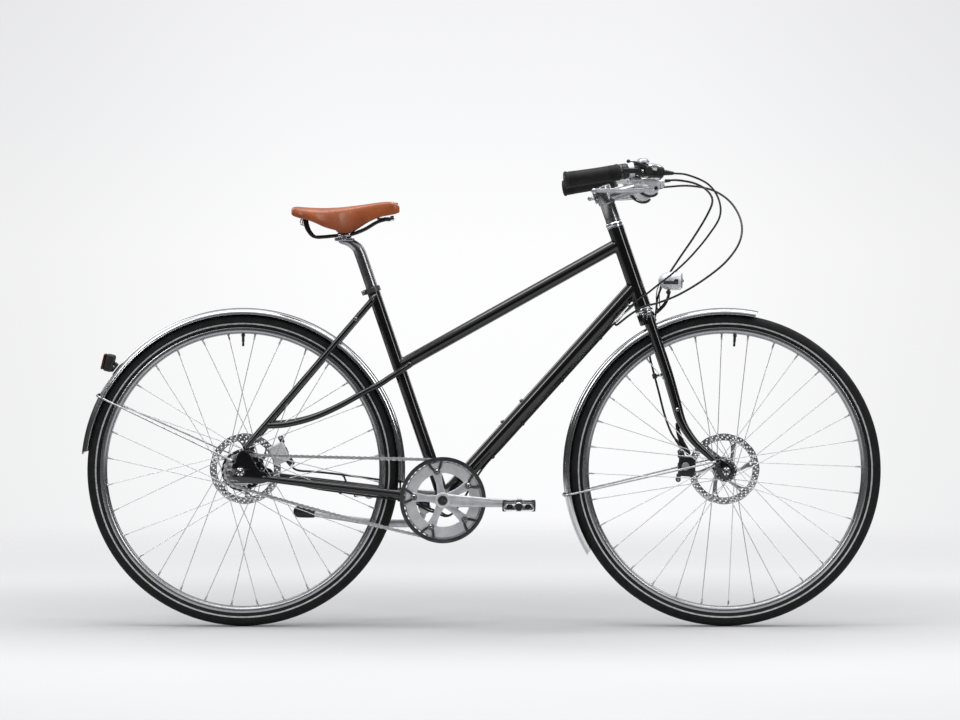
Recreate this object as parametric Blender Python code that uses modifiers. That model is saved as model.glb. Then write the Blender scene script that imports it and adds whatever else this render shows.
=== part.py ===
"""Commuter bike with low swept frame, hydraulic disc brakes, hub gear, mudguards and leather saddle.

Metres, +Z up, front of the bike along +X, right (chain) side along -Y.
The helpers take millimetres in the bike's own datum: X from the rear axle, Y from the centre plane, Z from the floor.
"""

import math

import bmesh
import bpy
from mathutils import Matrix, Vector

# ---------------------------------------------------------------- driving dimensions, mm
MM = 0.001
ORIGIN_X = 533.4            # X of the origin, from the rear axle: the middle of the overall length
WHEEL_R = 349.0             # 622 mm bead seat, 38 mm tyre
WHEELBASE = 1079.0
TYRE_HALF = 19.0
RIM_INNER_R = 306.0
WHEEL_STEPS = 40
BB = (449.0, 285.0)
HEAD_ANGLE = 71.0
HEAD_TOP = (833.8, 893.0)
HEAD_LEN = 191.0
HEAD_R, HEAD_BORE = 18.0, 16.0
SEAT_TOP = (288.0, 759.0)
SEAT_TUBE_R, SEAT_BORE = 14.3, 13.75
TOP_TUBE_R, DOWN_TUBE_R = 14.3, 17.45
BB_SHELL_R, BB_SHELL_HALF, BB_BORE = 20.0, 34.0, 17.4
REAR_HALF = 67.5            # half of the rear over-locknut width
FRONT_HALF = 50.0
CHAIN_Y = -52.0
CHAIN_PITCH = 12.7
RING_TEETH, COG_TEETH = 44, 18
CRANK_LEN = 170.0
CRANK_DROP = 2.7            # degrees the right crank points below the horizontal
ROTOR_R = 80.0
FRONT_ROTOR_Y, REAR_ROTOR_Y = 39.6, 52.0
GUARD_R = 363.5
GUARD_HALF = 23.0
GAP = 0.3
STEER_UP = (-math.cos(math.radians(HEAD_ANGLE)), math.sin(math.radians(HEAD_ANGLE)))
REAR_AXLE = (0.0, WHEEL_R)
FRONT_AXLE = (WHEELBASE, WHEEL_R)
RING_R = CHAIN_PITCH / (2 * math.sin(math.pi / RING_TEETH))
COG_R = CHAIN_PITCH / (2 * math.sin(math.pi / COG_TEETH))

# ---------------------------------------------------------------- a clean scene
for old in list(bpy.data.objects):
    bpy.data.objects.remove(old, do_unlink=True)
scene = bpy.context.scene
parts_coll = bpy.data.collections.new("commuter_bike")
cutters_coll = bpy.data.collections.new("cutters")
scene.collection.children.link(parts_coll)
scene.collection.children.link(cutters_coll)


# ---------------------------------------------------------------- helpers
def P(x, y, z):
    return Vector(((x - ORIGIN_X) * MM, y * MM, z * MM))


def unit(v):
    return Vector(v).normalized()


def axes_at(origin, z_axis, x_hint=None):
    """A matrix whose Z runs along z_axis, at a point in millimetres."""
    z = unit(z_axis)
    hint = Vector(x_hint) if x_hint else (Vector((1, 0, 0)) if abs(z.x) < 0.9 else Vector((0, 0, 1)))
    x = (hint - z * hint.dot(z)).normalized()
    y = z.cross(x)
    m = Matrix((x, y, z)).transposed().to_4x4()
    m.translation = P(*origin)
    return m


def new_object(name, data, matrix=None, helper=True):
    obj = bpy.data.objects.new(name, data)
    (cutters_coll if helper else parts_coll).objects.link(obj)
    if matrix is not None:
        obj.matrix_world = matrix
    if helper:
        obj.hide_render = True
        obj.display_type = "WIRE"
    return obj


def from_bmesh(name, bm, matrix):
    mesh = bpy.data.meshes.new(name)
    bmesh.ops.recalc_face_normals(bm, faces=bm.faces)
    bm.to_mesh(mesh)
    bm.free()
    return new_object(name, mesh, matrix)


def cyl(name, a, b, r, seg=16, r2=None, spin=0.0):
    """A cylinder or a cone from a to b."""
    a, b = Vector(a), Vector(b)
    bm = bmesh.new()
    bmesh.ops.create_cone(bm, cap_ends=True, segments=seg, radius1=r * MM,
                          radius2=(r if r2 is None else r2) * MM, depth=(b - a).length * MM)
    bmesh.ops.rotate(bm, verts=bm.verts, cent=(0, 0, 0), matrix=Matrix.Rotation(math.radians(spin), 3, "Z"))
    return from_bmesh(name, bm, axes_at((a + b) / 2, b - a))


def box(name, centre, size, z_axis=(0, 0, 1), x_hint=(1, 0, 0), bevel=0.0, segments=1):
    bm = bmesh.new()
    bmesh.ops.create_cube(bm, size=1.0)
    bmesh.ops.scale(bm, vec=Vector(size) * MM, verts=bm.verts)
    obj = from_bmesh(name, bm, axes_at(centre, z_axis, x_hint))
    if bevel:
        m = obj.modifiers.new("round", "BEVEL")
        m.width = bevel * MM
        m.segments = segments
        m.limit_method = "ANGLE"
    return obj


def ball(name, centre, r, u=10, v=6):
    bm = bmesh.new()
    bmesh.ops.create_uvsphere(bm, u_segments=u, v_segments=v, radius=r * MM)
    return from_bmesh(name, bm, axes_at(centre, (0, 0, 1)))


def turned(name, profile, centre, axis, steps=24, closed=True, spin=0.0, angle=360.0, x_hint=None):
    """A profile of (radius, height) turned round an axis. It runs down its outer side, top to bottom."""
    mesh = bpy.data.meshes.new(name)
    c, s = math.cos(math.radians(spin)), math.sin(math.radians(spin))
    verts = [(r * c * MM, r * s * MM, h * MM) for r, h in profile]
    n = len(verts)
    edges = [(i, i + 1) for i in range(n - 1)] + ([(n - 1, 0)] if closed else [])
    mesh.from_pydata(verts, edges, [])
    obj = new_object(name, mesh, axes_at(centre, axis, x_hint))
    m = obj.modifiers.new("turn", "SCREW")
    m.axis = "Z"
    m.angle = math.radians(angle)
    m.steps = m.render_steps = steps
    m.use_merge_vertices = angle == 360.0
    m.merge_threshold = 0.00001
    m.use_smooth_shade = True
    return obj


def ring_profile(r_out, r_in, h0, h1, chamfer=0.0):
    """A rectangular ring section, down the outside first."""
    if not chamfer:
        return [(r_out, h1), (r_out, h0), (r_in, h0), (r_in, h1)]
    return [(r_out - chamfer, h1), (r_out, h1 - chamfer), (r_out, h0 + chamfer), (r_out - chamfer, h0),
            (r_in, h0), (r_in, h1)]


def smooth(points, per=4):
    """Points along a Catmull-Rom curve through the given points."""
    pts = [Vector(p) for p in points]
    ext = [pts[0] * 2 - pts[1]] + pts + [pts[-1] * 2 - pts[-2]]
    out = []
    for i in range(1, len(ext) - 2):
        p0, p1, p2, p3 = ext[i - 1 : i + 3]
        for k in range(per):
            t = k / per
            out.append(0.5 * (2 * p1 + (p2 - p0) * t + (2 * p0 - 5 * p1 + 4 * p2 - p3) * t * t
                              + (3 * p1 - p0 - 3 * p2 + p3) * t ** 3))
    return out + [pts[-1]]


def tube(name, points, r, res=2, radii=None):
    """A round bar along points in millimetres, as a bevelled curve with filled caps."""
    curve = bpy.data.curves.new(name, "CURVE")
    curve.dimensions = "3D"
    curve.bevel_depth = r * MM
    curve.bevel_resolution = res
    curve.use_fill_caps = True
    line = curve.splines.new("POLY")
    line.points.add(len(points) - 1)
    for i, p in enumerate(points):
        line.points[i].co = (*P(*p), 1.0)
        line.points[i].radius = radii[i] if radii else 1.0
    return new_object(name, curve)


def outline(name, loops, half, y, bevel=0.0):
    """A flat plate in the XZ plane: the first loop is its edge and the others are its holes."""
    curve = bpy.data.curves.new(name, "CURVE")
    curve.dimensions = "2D"
    curve.fill_mode = "BOTH"
    curve.extrude = half * MM
    for loop in loops:
        line = curve.splines.new("POLY")
        line.points.add(len(loop) - 1)
        line.use_cyclic_u = True
        for i, (x, z) in enumerate(loop):
            line.points[i].co = (x * MM, z * MM, 0.0, 1.0)
    m = Matrix(((1, 0, 0), (0, 0, 1), (0, -1, 0))).transposed().to_4x4()
    m.translation = P(0, y, 0)
    return new_object(name, curve, m)


def to_mesh(obj):
    """The evaluated object as a mesh with its caps welded. The curve is removed."""
    bpy.context.view_layer.update()
    graph = bpy.context.evaluated_depsgraph_get()
    mesh = bpy.data.meshes.new_from_object(obj.evaluated_get(graph))
    bm = bmesh.new()
    bm.from_mesh(mesh)
    bmesh.ops.remove_doubles(bm, verts=bm.verts, dist=0.000002)
    bmesh.ops.recalc_face_normals(bm, faces=bm.faces)
    bm.to_mesh(mesh)
    bm.free()
    name, matrix = obj.name, obj.matrix_world.copy()
    bpy.data.objects.remove(obj, do_unlink=True)
    return new_object(name, mesh, matrix)


def boolean(target, other, operation):
    if other.type == "CURVE":
        other = to_mesh(other)
    m = target.modifiers.new(operation.lower(), "BOOLEAN")
    m.operation = operation
    m.solver = "EXACT"
    m.object = other
    return target


def joined(target, *others):
    if target.type == "CURVE":
        target = to_mesh(target)
    for other in others:
        boolean(target, other, "UNION")
    return target


def cut(target, *others):
    if target.type == "CURVE":
        target = to_mesh(target)
    for other in others:
        boolean(target, other, "DIFFERENCE")
    return target


materials = {}


def material(name, colour, roughness, metallic=0.0):
    mat = bpy.data.materials.new(name)
    mat.use_nodes = True
    shader = mat.node_tree.nodes["Principled BSDF"]
    shader.inputs["Base Color"].default_value = (*colour, 1.0)
    shader.inputs["Roughness"].default_value = roughness
    shader.inputs["Metallic"].default_value = metallic
    mat.diffuse_color = (*colour, 1.0)
    materials[name] = mat


material("gloss_black", (0.01, 0.01, 0.011), 0.12)
material("matt_black", (0.018, 0.018, 0.019), 0.5)
material("polished", (0.78, 0.78, 0.79), 0.18, 1.0)
material("satin_silver", (0.6, 0.6, 0.61), 0.35, 1.0)
material("chrome", (0.85, 0.85, 0.86), 0.06, 1.0)
material("tyre_rubber", (0.02, 0.02, 0.021), 0.75)
material("grip_rubber", (0.015, 0.015, 0.016), 0.6)
material("honey_leather", (0.45, 0.16, 0.05), 0.45)
material("steel", (0.5, 0.5, 0.51), 0.3, 1.0)
material("lens", (0.85, 0.88, 0.9), 0.05)
material("red_lens", (0.3, 0.01, 0.01), 0.15)
material("cable_black", (0.02, 0.02, 0.02), 0.4)

nodes = {}


def node(obj, name, mat, pivot=None):
    """Makes a helper into a piece of the bike, on its joint's empty if it has one."""
    if obj.type == "MESH" and not obj.modifiers:
        obj.data.shade_smooth()
        obj.data.set_sharp_from_angle(angle=math.radians(35))
    cutters_coll.objects.unlink(obj)
    parts_coll.objects.link(obj)
    obj.hide_render = False
    obj.display_type = "TEXTURED"
    obj.name = name
    obj.data.materials.clear()
    obj.data.materials.append(materials[mat])
    if pivot is not None:
        obj.parent = pivot
        obj.matrix_parent_inverse = pivot.matrix_world.inverted()
    nodes[name] = obj
    return obj


def pivot(name, at, parent=None):
    empty = bpy.data.objects.new(name, None)
    empty.empty_display_size = 0.02
    parts_coll.objects.link(empty)
    empty.matrix_world = Matrix.Translation(P(*at))
    bpy.context.view_layer.update()
    if parent is not None:
        empty.parent = parent
        empty.matrix_parent_inverse = parent.matrix_world.inverted()
        bpy.context.view_layer.update()
    return empty


def on_head(h, y=0.0, out=0.0):
    """A point h up the steering axis from the head tube's top, and out in front of it."""
    return (HEAD_TOP[0] + STEER_UP[0] * h + STEER_UP[1] * out, y, HEAD_TOP[1] + STEER_UP[1] * h - STEER_UP[0] * out)


def lerp(a, b, t):
    return tuple(p + (q - p) * t for p, q in zip(a, b))


STEER = (STEER_UP[0], 0.0, STEER_UP[1])
SEAT_UP = unit((SEAT_TOP[0] - BB[0], 0, SEAT_TOP[1] - BB[1]))
SIDE = (0, 1, 0)

# ---------------------------------------------------------------- pivots
steering = pivot("steering_pivot", on_head(-HEAD_LEN / 2))
front_wheel = pivot("front_wheel_pivot", (FRONT_AXLE[0], 0, FRONT_AXLE[1]), steering)
rear_wheel = pivot("rear_wheel_pivot", (0, 0, WHEEL_R))
cog_pivot = pivot("sprocket_pivot", (0, CHAIN_Y, WHEEL_R))
crank = pivot("crank_pivot", (BB[0], 0, BB[1]))
post_pivot = pivot("seatpost_pivot", (SEAT_TOP[0], 0, SEAT_TOP[1]))

# ---------------------------------------------------------------- frame: head tube with top tube
TOP_FRONT = (845.9, 0, 857.8)
TOP_REAR = (349.0, 0, 580.3)
head = cyl("head", on_head(-HEAD_LEN), on_head(0), HEAD_R, 20)
top_outer = cyl("top_outer", TOP_FRONT, TOP_REAR, TOP_TUBE_R, 16)
top_inner = cyl("top_inner", lerp(TOP_FRONT, TOP_REAR, 0.055), lerp(TOP_FRONT, TOP_REAR, 1.05), TOP_TUBE_R - 1.2, 12)
head_bore = cyl("head_bore", on_head(-HEAD_LEN - 10), on_head(10), HEAD_BORE, 20)
seat_cope = cyl("seat_cope", (BB[0], 0, BB[1]), (SEAT_TOP[0], 0, SEAT_TOP[1]), SEAT_TUBE_R + GAP + 0.2, 24)
joined(head, top_outer)
cut(head, head_bore, top_inner, seat_cope)
node(head, "head_and_top_tube", "gloss_black")

# ---------------------------------------------------------------- down tube with bottle bosses
DOWN_TOP = (879.3, 0, 761.0)
DOWN_END = (BB[0], 0, BB[1])
down_dir = unit((DOWN_END[0] - DOWN_TOP[0], 0, DOWN_END[2] - DOWN_TOP[2]))
down_norm = Vector((down_dir.z, 0, -down_dir.x))          # up and back from the tube
down = cyl("down", DOWN_TOP, DOWN_END, DOWN_TUBE_R, 16)
down_inner = cyl("down_inner", lerp(DOWN_TOP, DOWN_END, -0.05), lerp(DOWN_TOP, DOWN_END, 1.05), DOWN_TUBE_R - 1.3, 12)
head_cope = cyl("head_cope", on_head(-HEAD_LEN - 20), on_head(20), HEAD_R + GAP, 24)
bb_cope = cyl("bb_cope", (BB[0], -45, BB[1]), (BB[0], 45, BB[1]), BB_SHELL_R + GAP, 24)
BOSS_AT = [(624.0, 503.3), (582.6, 455.4)]
for i, (bx, bz) in enumerate(BOSS_AT):
    along = (Vector((bx, 0, bz)) - Vector(DOWN_TOP)).dot(down_dir)
    foot = Vector(DOWN_TOP) + down_dir * along
    boss = cyl(f"boss_{i}", foot + down_norm * (DOWN_TUBE_R - 1.1), foot + down_norm * (DOWN_TUBE_R + 2.2), 4.6, 8)
    joined(down, boss)
seat_cope_low = cyl("seat_cope_low", (BB[0], 0, BB[1]), lerp((BB[0], 0, BB[1]), (SEAT_TOP[0], 0, SEAT_TOP[1]), 0.4), SEAT_TUBE_R + GAP, 24)
cut(down, down_inner, head_cope, bb_cope, seat_cope_low)
node(down, "down_tube", "gloss_black")

# ---------------------------------------------------------------- seat tube with bottom bracket shell
seat = cyl("seat", (BB[0], 0, BB[1]), (SEAT_TOP[0], 0, SEAT_TOP[1]), SEAT_TUBE_R, 20)
shell = cyl("shell", (BB[0], -BB_SHELL_HALF, BB[1]), (BB[0], BB_SHELL_HALF, BB[1]), BB_SHELL_R, 20)
seat_low = Vector((BB[0], 0, BB[1])) + SEAT_UP * 24
seat_high = Vector((SEAT_TOP[0], 0, SEAT_TOP[1])) + SEAT_UP * 10
seat_hole = cyl("seat_hole", seat_low, seat_high, SEAT_BORE, 20)
bb_hole = cyl("bb_hole", (BB[0], -45, BB[1]), (BB[0], 45, BB[1]), BB_BORE, 20)
joined(shell, seat)
cut(shell, bb_hole, seat_hole)
node(shell, "seat_tube", "gloss_black")

# ---------------------------------------------------------------- seat stays with bridge and rack bosses
STAY_TOP = (287.4, 22.0, 726.2)
STAY_END = (11.5, 70.0, 402.4)
STAY_R = 7.0


def on_seat_stay(t, side):
    p = lerp(STAY_TOP, STAY_END, t)
    return (p[0], side * p[1], p[2])


def distance_to_axle(p):
    return math.hypot(p[0] - REAR_AXLE[0], p[2] - REAR_AXLE[1])


bridge_t = next(t / 500 for t in range(500) if distance_to_axle(on_seat_stay(t / 500, 1)) < GUARD_R + 8.5)
stay_right = cyl("stay_right", on_seat_stay(0, -1), on_seat_stay(1, -1), STAY_R, 10)
stay_left = cyl("stay_left", on_seat_stay(0, 1), on_seat_stay(1, 1), STAY_R, 10)
bridge = cyl("bridge", on_seat_stay(bridge_t, -1), on_seat_stay(bridge_t, 1), 5.5, 8)
joined(stay_right, bridge, stay_left)
RACK_T = (726.2 - 687.0) / (726.2 - 402.4)
for side, label in ((-1, "right"), (1, "left")):
    p = on_seat_stay(RACK_T, side)
    joined(stay_right, cyl("rack_" + label, (p[0], p[1], p[2]), (p[0], p[1] + side * 9.5, p[2]), 4.6, 8))
    q = on_seat_stay(0, side)
    plug = ball("stay_cap_" + label, q, STAY_R * 1.0, 10, 5)
    joined(stay_right, plug)
stay_cope = cyl("stay_cope", (BB[0], 0, BB[1]), Vector((SEAT_TOP[0], 0, SEAT_TOP[1])) + SEAT_UP * 30, SEAT_TUBE_R + GAP, 24)
cut(stay_right, stay_cope)
node(stay_right, "seat_stays", "gloss_black")

# ---------------------------------------------------------------- side stays (the curved lower pair)
SIDE_PATH = [(374, 21.8, 585), (349, 21.8, 568.5), (331, 25.0, 557.5), (306.4, 33.0, 541.4), (275, 39.5, 525.5),
             (219, 49.5, 494.4), (160.8, 57.0, 468.6), (104.8, 61.2, 454), (58, 62.6, 450.2)]
side_bars = []
for side, label in ((-1, "right"), (1, "left")):
    path = smooth([(x, side * y, z) for x, y, z in SIDE_PATH], 1)
    side_bars.append(to_mesh(tube("side_" + label, path, 6.8, 2)))
side_bridge = cyl("side_bridge", (331, -25, 557.5), (331, 25, 557.5), 4.8, 8)
side_stays = joined(side_bars[0], side_bridge, side_bars[1])
for side, label in ((-1, "right"), (1, "left")):
    cut(side_stays, cyl("side_cope_" + label, on_seat_stay(0.4, side), on_seat_stay(1.0, side), STAY_R + GAP, 16))
cut(side_stays, cyl("side_seat_cope", (BB[0], 0, BB[1]), (SEAT_TOP[0], 0, SEAT_TOP[1]), SEAT_TUBE_R + GAP, 24))
node(side_stays, "side_stays", "gloss_black")

# ---------------------------------------------------------------- chain stays with dropouts
CHAIN_STAY = [(446, 23.0, 285.4), (420, 26.5, 288.6), (372, 33.5, 294.4), (320, 38.5, 300.7), (200, 52.0, 315.3),
              (92, 63.5, 328.8), (52, 69.0, 334.2)]
DROP_HALF = 3.0
DROP_Y = REAR_HALF + GAP + DROP_HALF
DROP_EDGE = [(62, 322), (62, 346), (40, 352), (30, 372), (20, 388), (13, 397.5), (-1, 396), (-9, 380), (-17, 366),
             (-20, 352), (-18, 336), (-6, 328), (20, 323)]
AXLE_SLOT = [(5.2, 354.2), (-40, 351.2), (-40, 340.6), (5.2, 343.8)]
stays = []
for side, label in ((-1, "right"), (1, "left")):
    path = smooth([(x, side * y, z) for x, y, z in CHAIN_STAY], 1)
    radii = [1.0, 1.0, 0.98, 0.96, 0.88, 0.78, 0.7]
    stays.append(to_mesh(tube("chain_stay_" + label, path, 10.0, 2, radii)))
chain_stays = joined(stays[0], cyl("stay_bridge", (388, -30, 292.4), (388, 30, 292.4), 5.5, 10), stays[1])
for side, label in ((-1, "right"), (1, "left")):
    plate = to_mesh(outline("dropout_" + label, [DROP_EDGE], DROP_HALF, side * DROP_Y))
    eye = cyl("guard_eye_" + label, (-14, side * (DROP_Y - 1), 372), (-14, side * (DROP_Y + 4.5), 372), 5.0, 8)
    slot = to_mesh(outline("slot_" + label, [AXLE_SLOT], DROP_HALF + 4, side * DROP_Y))
    joined(chain_stays, plate, eye)
    cut(chain_stays, slot)
STAND_AT = (404.0, 47.0, 262.0)
STAND_AXIS = unit((-0.272, 1.0, 0.2))
stand_lug = box("stand_lug", (404, 27.0, 277.5), (26, 11, 30))
joined(chain_stays, stand_lug)
cut(chain_stays, bb_cope)
node(chain_stays, "chain_stays", "gloss_black")

# ---------------------------------------------------------------- headset, seat clamp, bottom bracket
upper = turned("upper", [(17.6, 11.6), (19.2, 9.5), (18.4, GAP), (15.7, GAP), (15.7, -6), (15.0, -6), (15.0, 11.6)],
               on_head(0), STEER, 16)
node(upper, "headset_upper_cup", "polished")
lower = turned("lower", [(15.7, 6), (15.7, -GAP), (18.4, -GAP), (20.0, -8.0), (18.5, -10.0), (15.0, -10.0), (15.0, 6)],
               on_head(-HEAD_LEN), STEER, 16)
node(lower, "headset_lower_cup", "polished")

clamp_top = Vector((SEAT_TOP[0], 0, SEAT_TOP[1]))
collar = turned("collar", ring_profile(17.6, SEAT_TUBE_R + 0.5, -13, -1), clamp_top, SEAT_UP, 20)
back = Vector((-SEAT_UP.z, 0, SEAT_UP.x))                  # behind the seat tube
ear = box("clamp_ear", clamp_top - SEAT_UP * 7 + back * 20.5, (10, 15, 11), SEAT_UP, back, 0)
bolt = cyl("clamp_bolt", clamp_top - SEAT_UP * 7 + back * 21.5 + Vector((0, -11, 0)),
           clamp_top - SEAT_UP * 7 + back * 21.5 + Vector((0, 11, 0)), 4.0, 8)
joined(collar, ear, bolt)
node(collar, "seat_clamp", "satin_silver")

cups = turned("cups", [(16.9, 34.2), (16.9, -34.2), (19.2, -34.4), (19.2, -37.2), (12.6, -37.2), (12.6, 37.2), (19.2, 37.2), (19.2, 34.4)],
              (BB[0], 0, BB[1]), SIDE, 16)
node(cups, "bottom_bracket", "satin_silver")

# ---------------------------------------------------------------- rear axle with nuts
axle = cyl("axle", (0, -84, WHEEL_R), (0, 84, WHEEL_R), 4.75, 8)
for side, label in ((-1, "right"), (1, "left")):
    y0 = side * (DROP_Y + DROP_HALF + GAP)
    nut = cyl("nut_" + label, (0, y0, WHEEL_R), (0, y0 + side * 7, WHEEL_R), 8.6, 6)
    lock = cyl("lock_" + label, (0, side * (REAR_HALF - 0.2), WHEEL_R), (0, side * (REAR_HALF - 6), WHEEL_R), 8.4, 8)
    joined(axle, nut, lock)
node(axle, "rear_axle", "satin_silver")

# ---------------------------------------------------------------- wheels
TYRE_IN = [(-9.8, 314.4), (-10.1, 320.5), (-18.8, 330.5), (-15.6, 342.8), (-7.0, WHEEL_R)]
TYRE_OUT = [(-7.4, 314.4), (-7.5, 322.0), (-15.2, 333.5)]


def wheel_ring(name, section, axle_xz):
    """A section of (y, radius) turned round the axle, with a flat facet at the bottom."""
    profile = [(r, y) for y, r in section]
    return turned(name, profile, (axle_xz[0], 0, axle_xz[1]), SIDE, WHEEL_STEPS, spin=180.0 / WHEEL_STEPS, x_hint=(1, 0, 0))


def corner(r):
    """The corner radius of a ring whose facets stand at r."""
    return r / math.cos(math.pi / WHEEL_STEPS)


def spokes(name, axle_xz, flange_r, flange_y, rim_y, first):
    """Sixteen crossed spokes of one side, as three-sided bars that meet at their crossings."""
    sets = []
    rim_r = RIM_INNER_R - 1.9
    for lead, thick in ((1, 1.45), (-1, 1.3)):
        bm = bmesh.new()
        for k in range(8):
            at_rim = math.radians(first + 45.0 * k + (22.5 if lead < 0 else 0.0))
            at_hub = at_rim - lead * math.radians(67.5)
            a = Vector((flange_r * math.cos(at_hub), flange_y, flange_r * math.sin(at_hub)))
            b = Vector((rim_r * math.cos(at_rim), rim_y, rim_r * math.sin(at_rim)))
            made = bmesh.ops.create_cone(bm, cap_ends=True, segments=3, radius1=thick * MM, radius2=thick * MM,
                                         depth=(b - a).length * MM)["verts"]
            m = axes_at((0, 0, 0), b - a, (0, lead, 0))
            m.translation = (a + b) / 2 * MM
            bmesh.ops.transform(bm, matrix=m, verts=made)
        m = Matrix.Translation(P(axle_xz[0], 0, axle_xz[1]))
        sets.append(from_bmesh(f"{name}_{lead}", bm, m))
    return joined(sets[0], sets[1])


def wheel(prefix, axle_xz, holder, flange_r, flange_y, first):
    outer = [(y, corner(r) if r > 340 else r) for y, r in TYRE_IN]
    section = outer + [(-y, r) for y, r in reversed(outer)]
    inner = TYRE_OUT + [(-y, r) for y, r in reversed(TYRE_OUT)]
    node(wheel_ring(prefix + "t", section[::-1] + inner, axle_xz), prefix + "_tyre", "tyre_rubber", holder)
    lip = 12.4
    rim = [(-8.0, RIM_INNER_R), (8.0, RIM_INNER_R), (lip, 311.0), (lip, 319.0), (10.4, 313.6),
           (-10.4, 313.6), (-lip, 319.0), (-lip, 311.0)]
    node(wheel_ring(prefix + "r", rim, axle_xz), prefix + "_rim", "polished", holder)
    for side, label, turn in ((-1, "right", 0.0), (1, "left", 11.25)):
        made = spokes(f"{prefix}_s_{label}", axle_xz, flange_r, side * flange_y, side * 3.0, first + turn)
        node(made, f"{prefix}_spokes_{label}", "steel", holder)


wheel("front", FRONT_AXLE, front_wheel, 21.5, 30.3, 3.375)
wheel("rear", REAR_AXLE, rear_wheel, 43.5, 32.3, 6.1875)

front_hub = turned("fh", [(17.0, 38.3), (17.0, 28.4), (25.0, 28.4), (25.0, 25.4), (21.0, 22.0), (21.0, -22.0), (25.0, -25.4),
                          (25.0, -28.4), (13.0, -28.4), (13.0, -43.5), (5.4, -43.5), (5.4, 38.3)],
                   (FRONT_AXLE[0], 0, FRONT_AXLE[1]), SIDE, 16)
node(front_hub, "front_hub", "satin_silver", front_wheel)
rear_hub = turned("rh", [(20.0, 50.7), (20.0, 38.0), (36.0, 30.4), (46.0, 30.4), (46.0, 27.0), (40.5, 23.0), (40.5, -22.0),
                         (46.0, -27.0), (46.0, -30.4), (36.5, -30.4), (35.0, -38.0), (20.0, -44.5), (5.4, -44.5), (5.4, 50.7)],
                  (0, 0, WHEEL_R), SIDE, 16)
node(rear_hub, "rear_hub", "matt_black", rear_wheel)


def circle(r, n, cx=0.0, cz=0.0, start=0.0):
    return [(cx + r * math.cos(start + 2 * math.pi * k / n), cz + r * math.sin(start + 2 * math.pi * k / n)) for k in range(n)]


def sector(r0, r1, a0, a1, cx, cz, n=3):
    """A window between two radii and two angles in degrees."""
    up = [a0 + (a1 - a0) * k / n for k in range(n + 1)]
    pts = [(r1, a) for a in up] + [(r0, a) for a in reversed(up)]
    return [(cx + r * math.cos(math.radians(a)), cz + r * math.sin(math.radians(a))) for r, a in pts]


def rotor(name, axle_xz, y, holder, turn):
    cx, cz = axle_xz
    edge = []
    for k in range(36):
        a = 2 * math.pi * k / 36
        edge.append((cx + (ROTOR_R - 1.2 * (k % 2)) * math.cos(a), cz + (ROTOR_R - 1.2 * (k % 2)) * math.sin(a)))
    loops = [edge, circle(8.5, 12, cx, cz)]
    for k in range(6):
        a = turn + 60 * k
        loops.append([(cx + r * math.cos(math.radians(a + d)), cz + r * math.sin(math.radians(a + d)))
                      for r, d in ((64.5, 10), (66, 32), (64.5, 54), (25, 30), (25, -10))])
    node(outline(name, loops, 0.9, y), name, "steel", holder)


rotor("front_rotor", FRONT_AXLE, FRONT_ROTOR_Y, front_wheel, 10)
rotor("rear_rotor", REAR_AXLE, REAR_ROTOR_Y, rear_wheel, 35)


# ---------------------------------------------------------------- sprocket, chainring, chain
def toothed(cx, cz, pitch_r, teeth, turn):
    """A tooth outline: a root and a tip for each pitch."""
    pts = []
    for k in range(teeth):
        base = turn + 2 * math.pi * k / teeth
        for frac, r in ((0.0, pitch_r - 4.4), (0.5, pitch_r + 2.4)):
            a = base + frac * 2 * math.pi / teeth
            pts.append((cx + r * math.cos(a), cz + r * math.sin(a)))
    return pts


COG_TURN = math.radians(90)
cog = outline("cog", [toothed(0, WHEEL_R, COG_R, COG_TEETH, COG_TURN), circle(9.0, 10, 0, WHEEL_R)], 1.0, CHAIN_Y)
cog = joined(cog, turned("cog_boss", ring_profile(19.0, 9.0, 0.6, 5.6), (0, CHAIN_Y, WHEEL_R), SIDE, 10))
node(cog, "sprocket", "steel", cog_pivot)

ring_loops = [toothed(BB[0], BB[1], RING_R, RING_TEETH, math.radians(90)), circle(73.0, 24, BB[0], BB[1])]
ring = outline("ring", ring_loops, 1.0, CHAIN_Y)
node(ring, "chainring", "satin_silver", crank)


def chain_loop(grow):
    """The chain's closed path round both toothed wheels, moved out by grow."""
    d = math.hypot(BB[0], BB[1] - WHEEL_R)
    tilt = math.atan2(BB[1] - WHEEL_R, BB[0])
    lean = math.asin((RING_R - COG_R) / d)
    up, down_a = tilt + math.pi / 2 + lean, tilt - math.pi / 2 - lean
    pts = []
    n = 12
    for k in range(n + 1):
        a = down_a + (up - down_a) * k / n
        pts.append((BB[0] + (RING_R + grow) * math.cos(a), BB[1] + (RING_R + grow) * math.sin(a)))
    n = 7
    for k in range(n + 1):
        a = up + (2 * math.pi + down_a - up) * k / n
        pts.append(((COG_R + grow) * math.cos(a), WHEEL_R + (COG_R + grow) * math.sin(a)))
    return pts


chain = outline("chain_band", [chain_loop(4.6), chain_loop(-3.9)], 4.2, CHAIN_Y)
groove = outline("chain_groove", [chain_loop(3.3), chain_loop(-8.0)], 1.5, CHAIN_Y)
chain = cut(chain, groove)
node(chain, "chain", "satin_silver")

# ---------------------------------------------------------------- cranks
drop = math.radians(-CRANK_DROP)
fwd = Vector((math.cos(drop), 0, math.sin(drop)))
RING_GUARD_Y = -58.3
bb_v = Vector((BB[0], 0, BB[1]))
eye_right = bb_v + fwd * CRANK_LEN
eye_left = bb_v - fwd * CRANK_LEN


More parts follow.
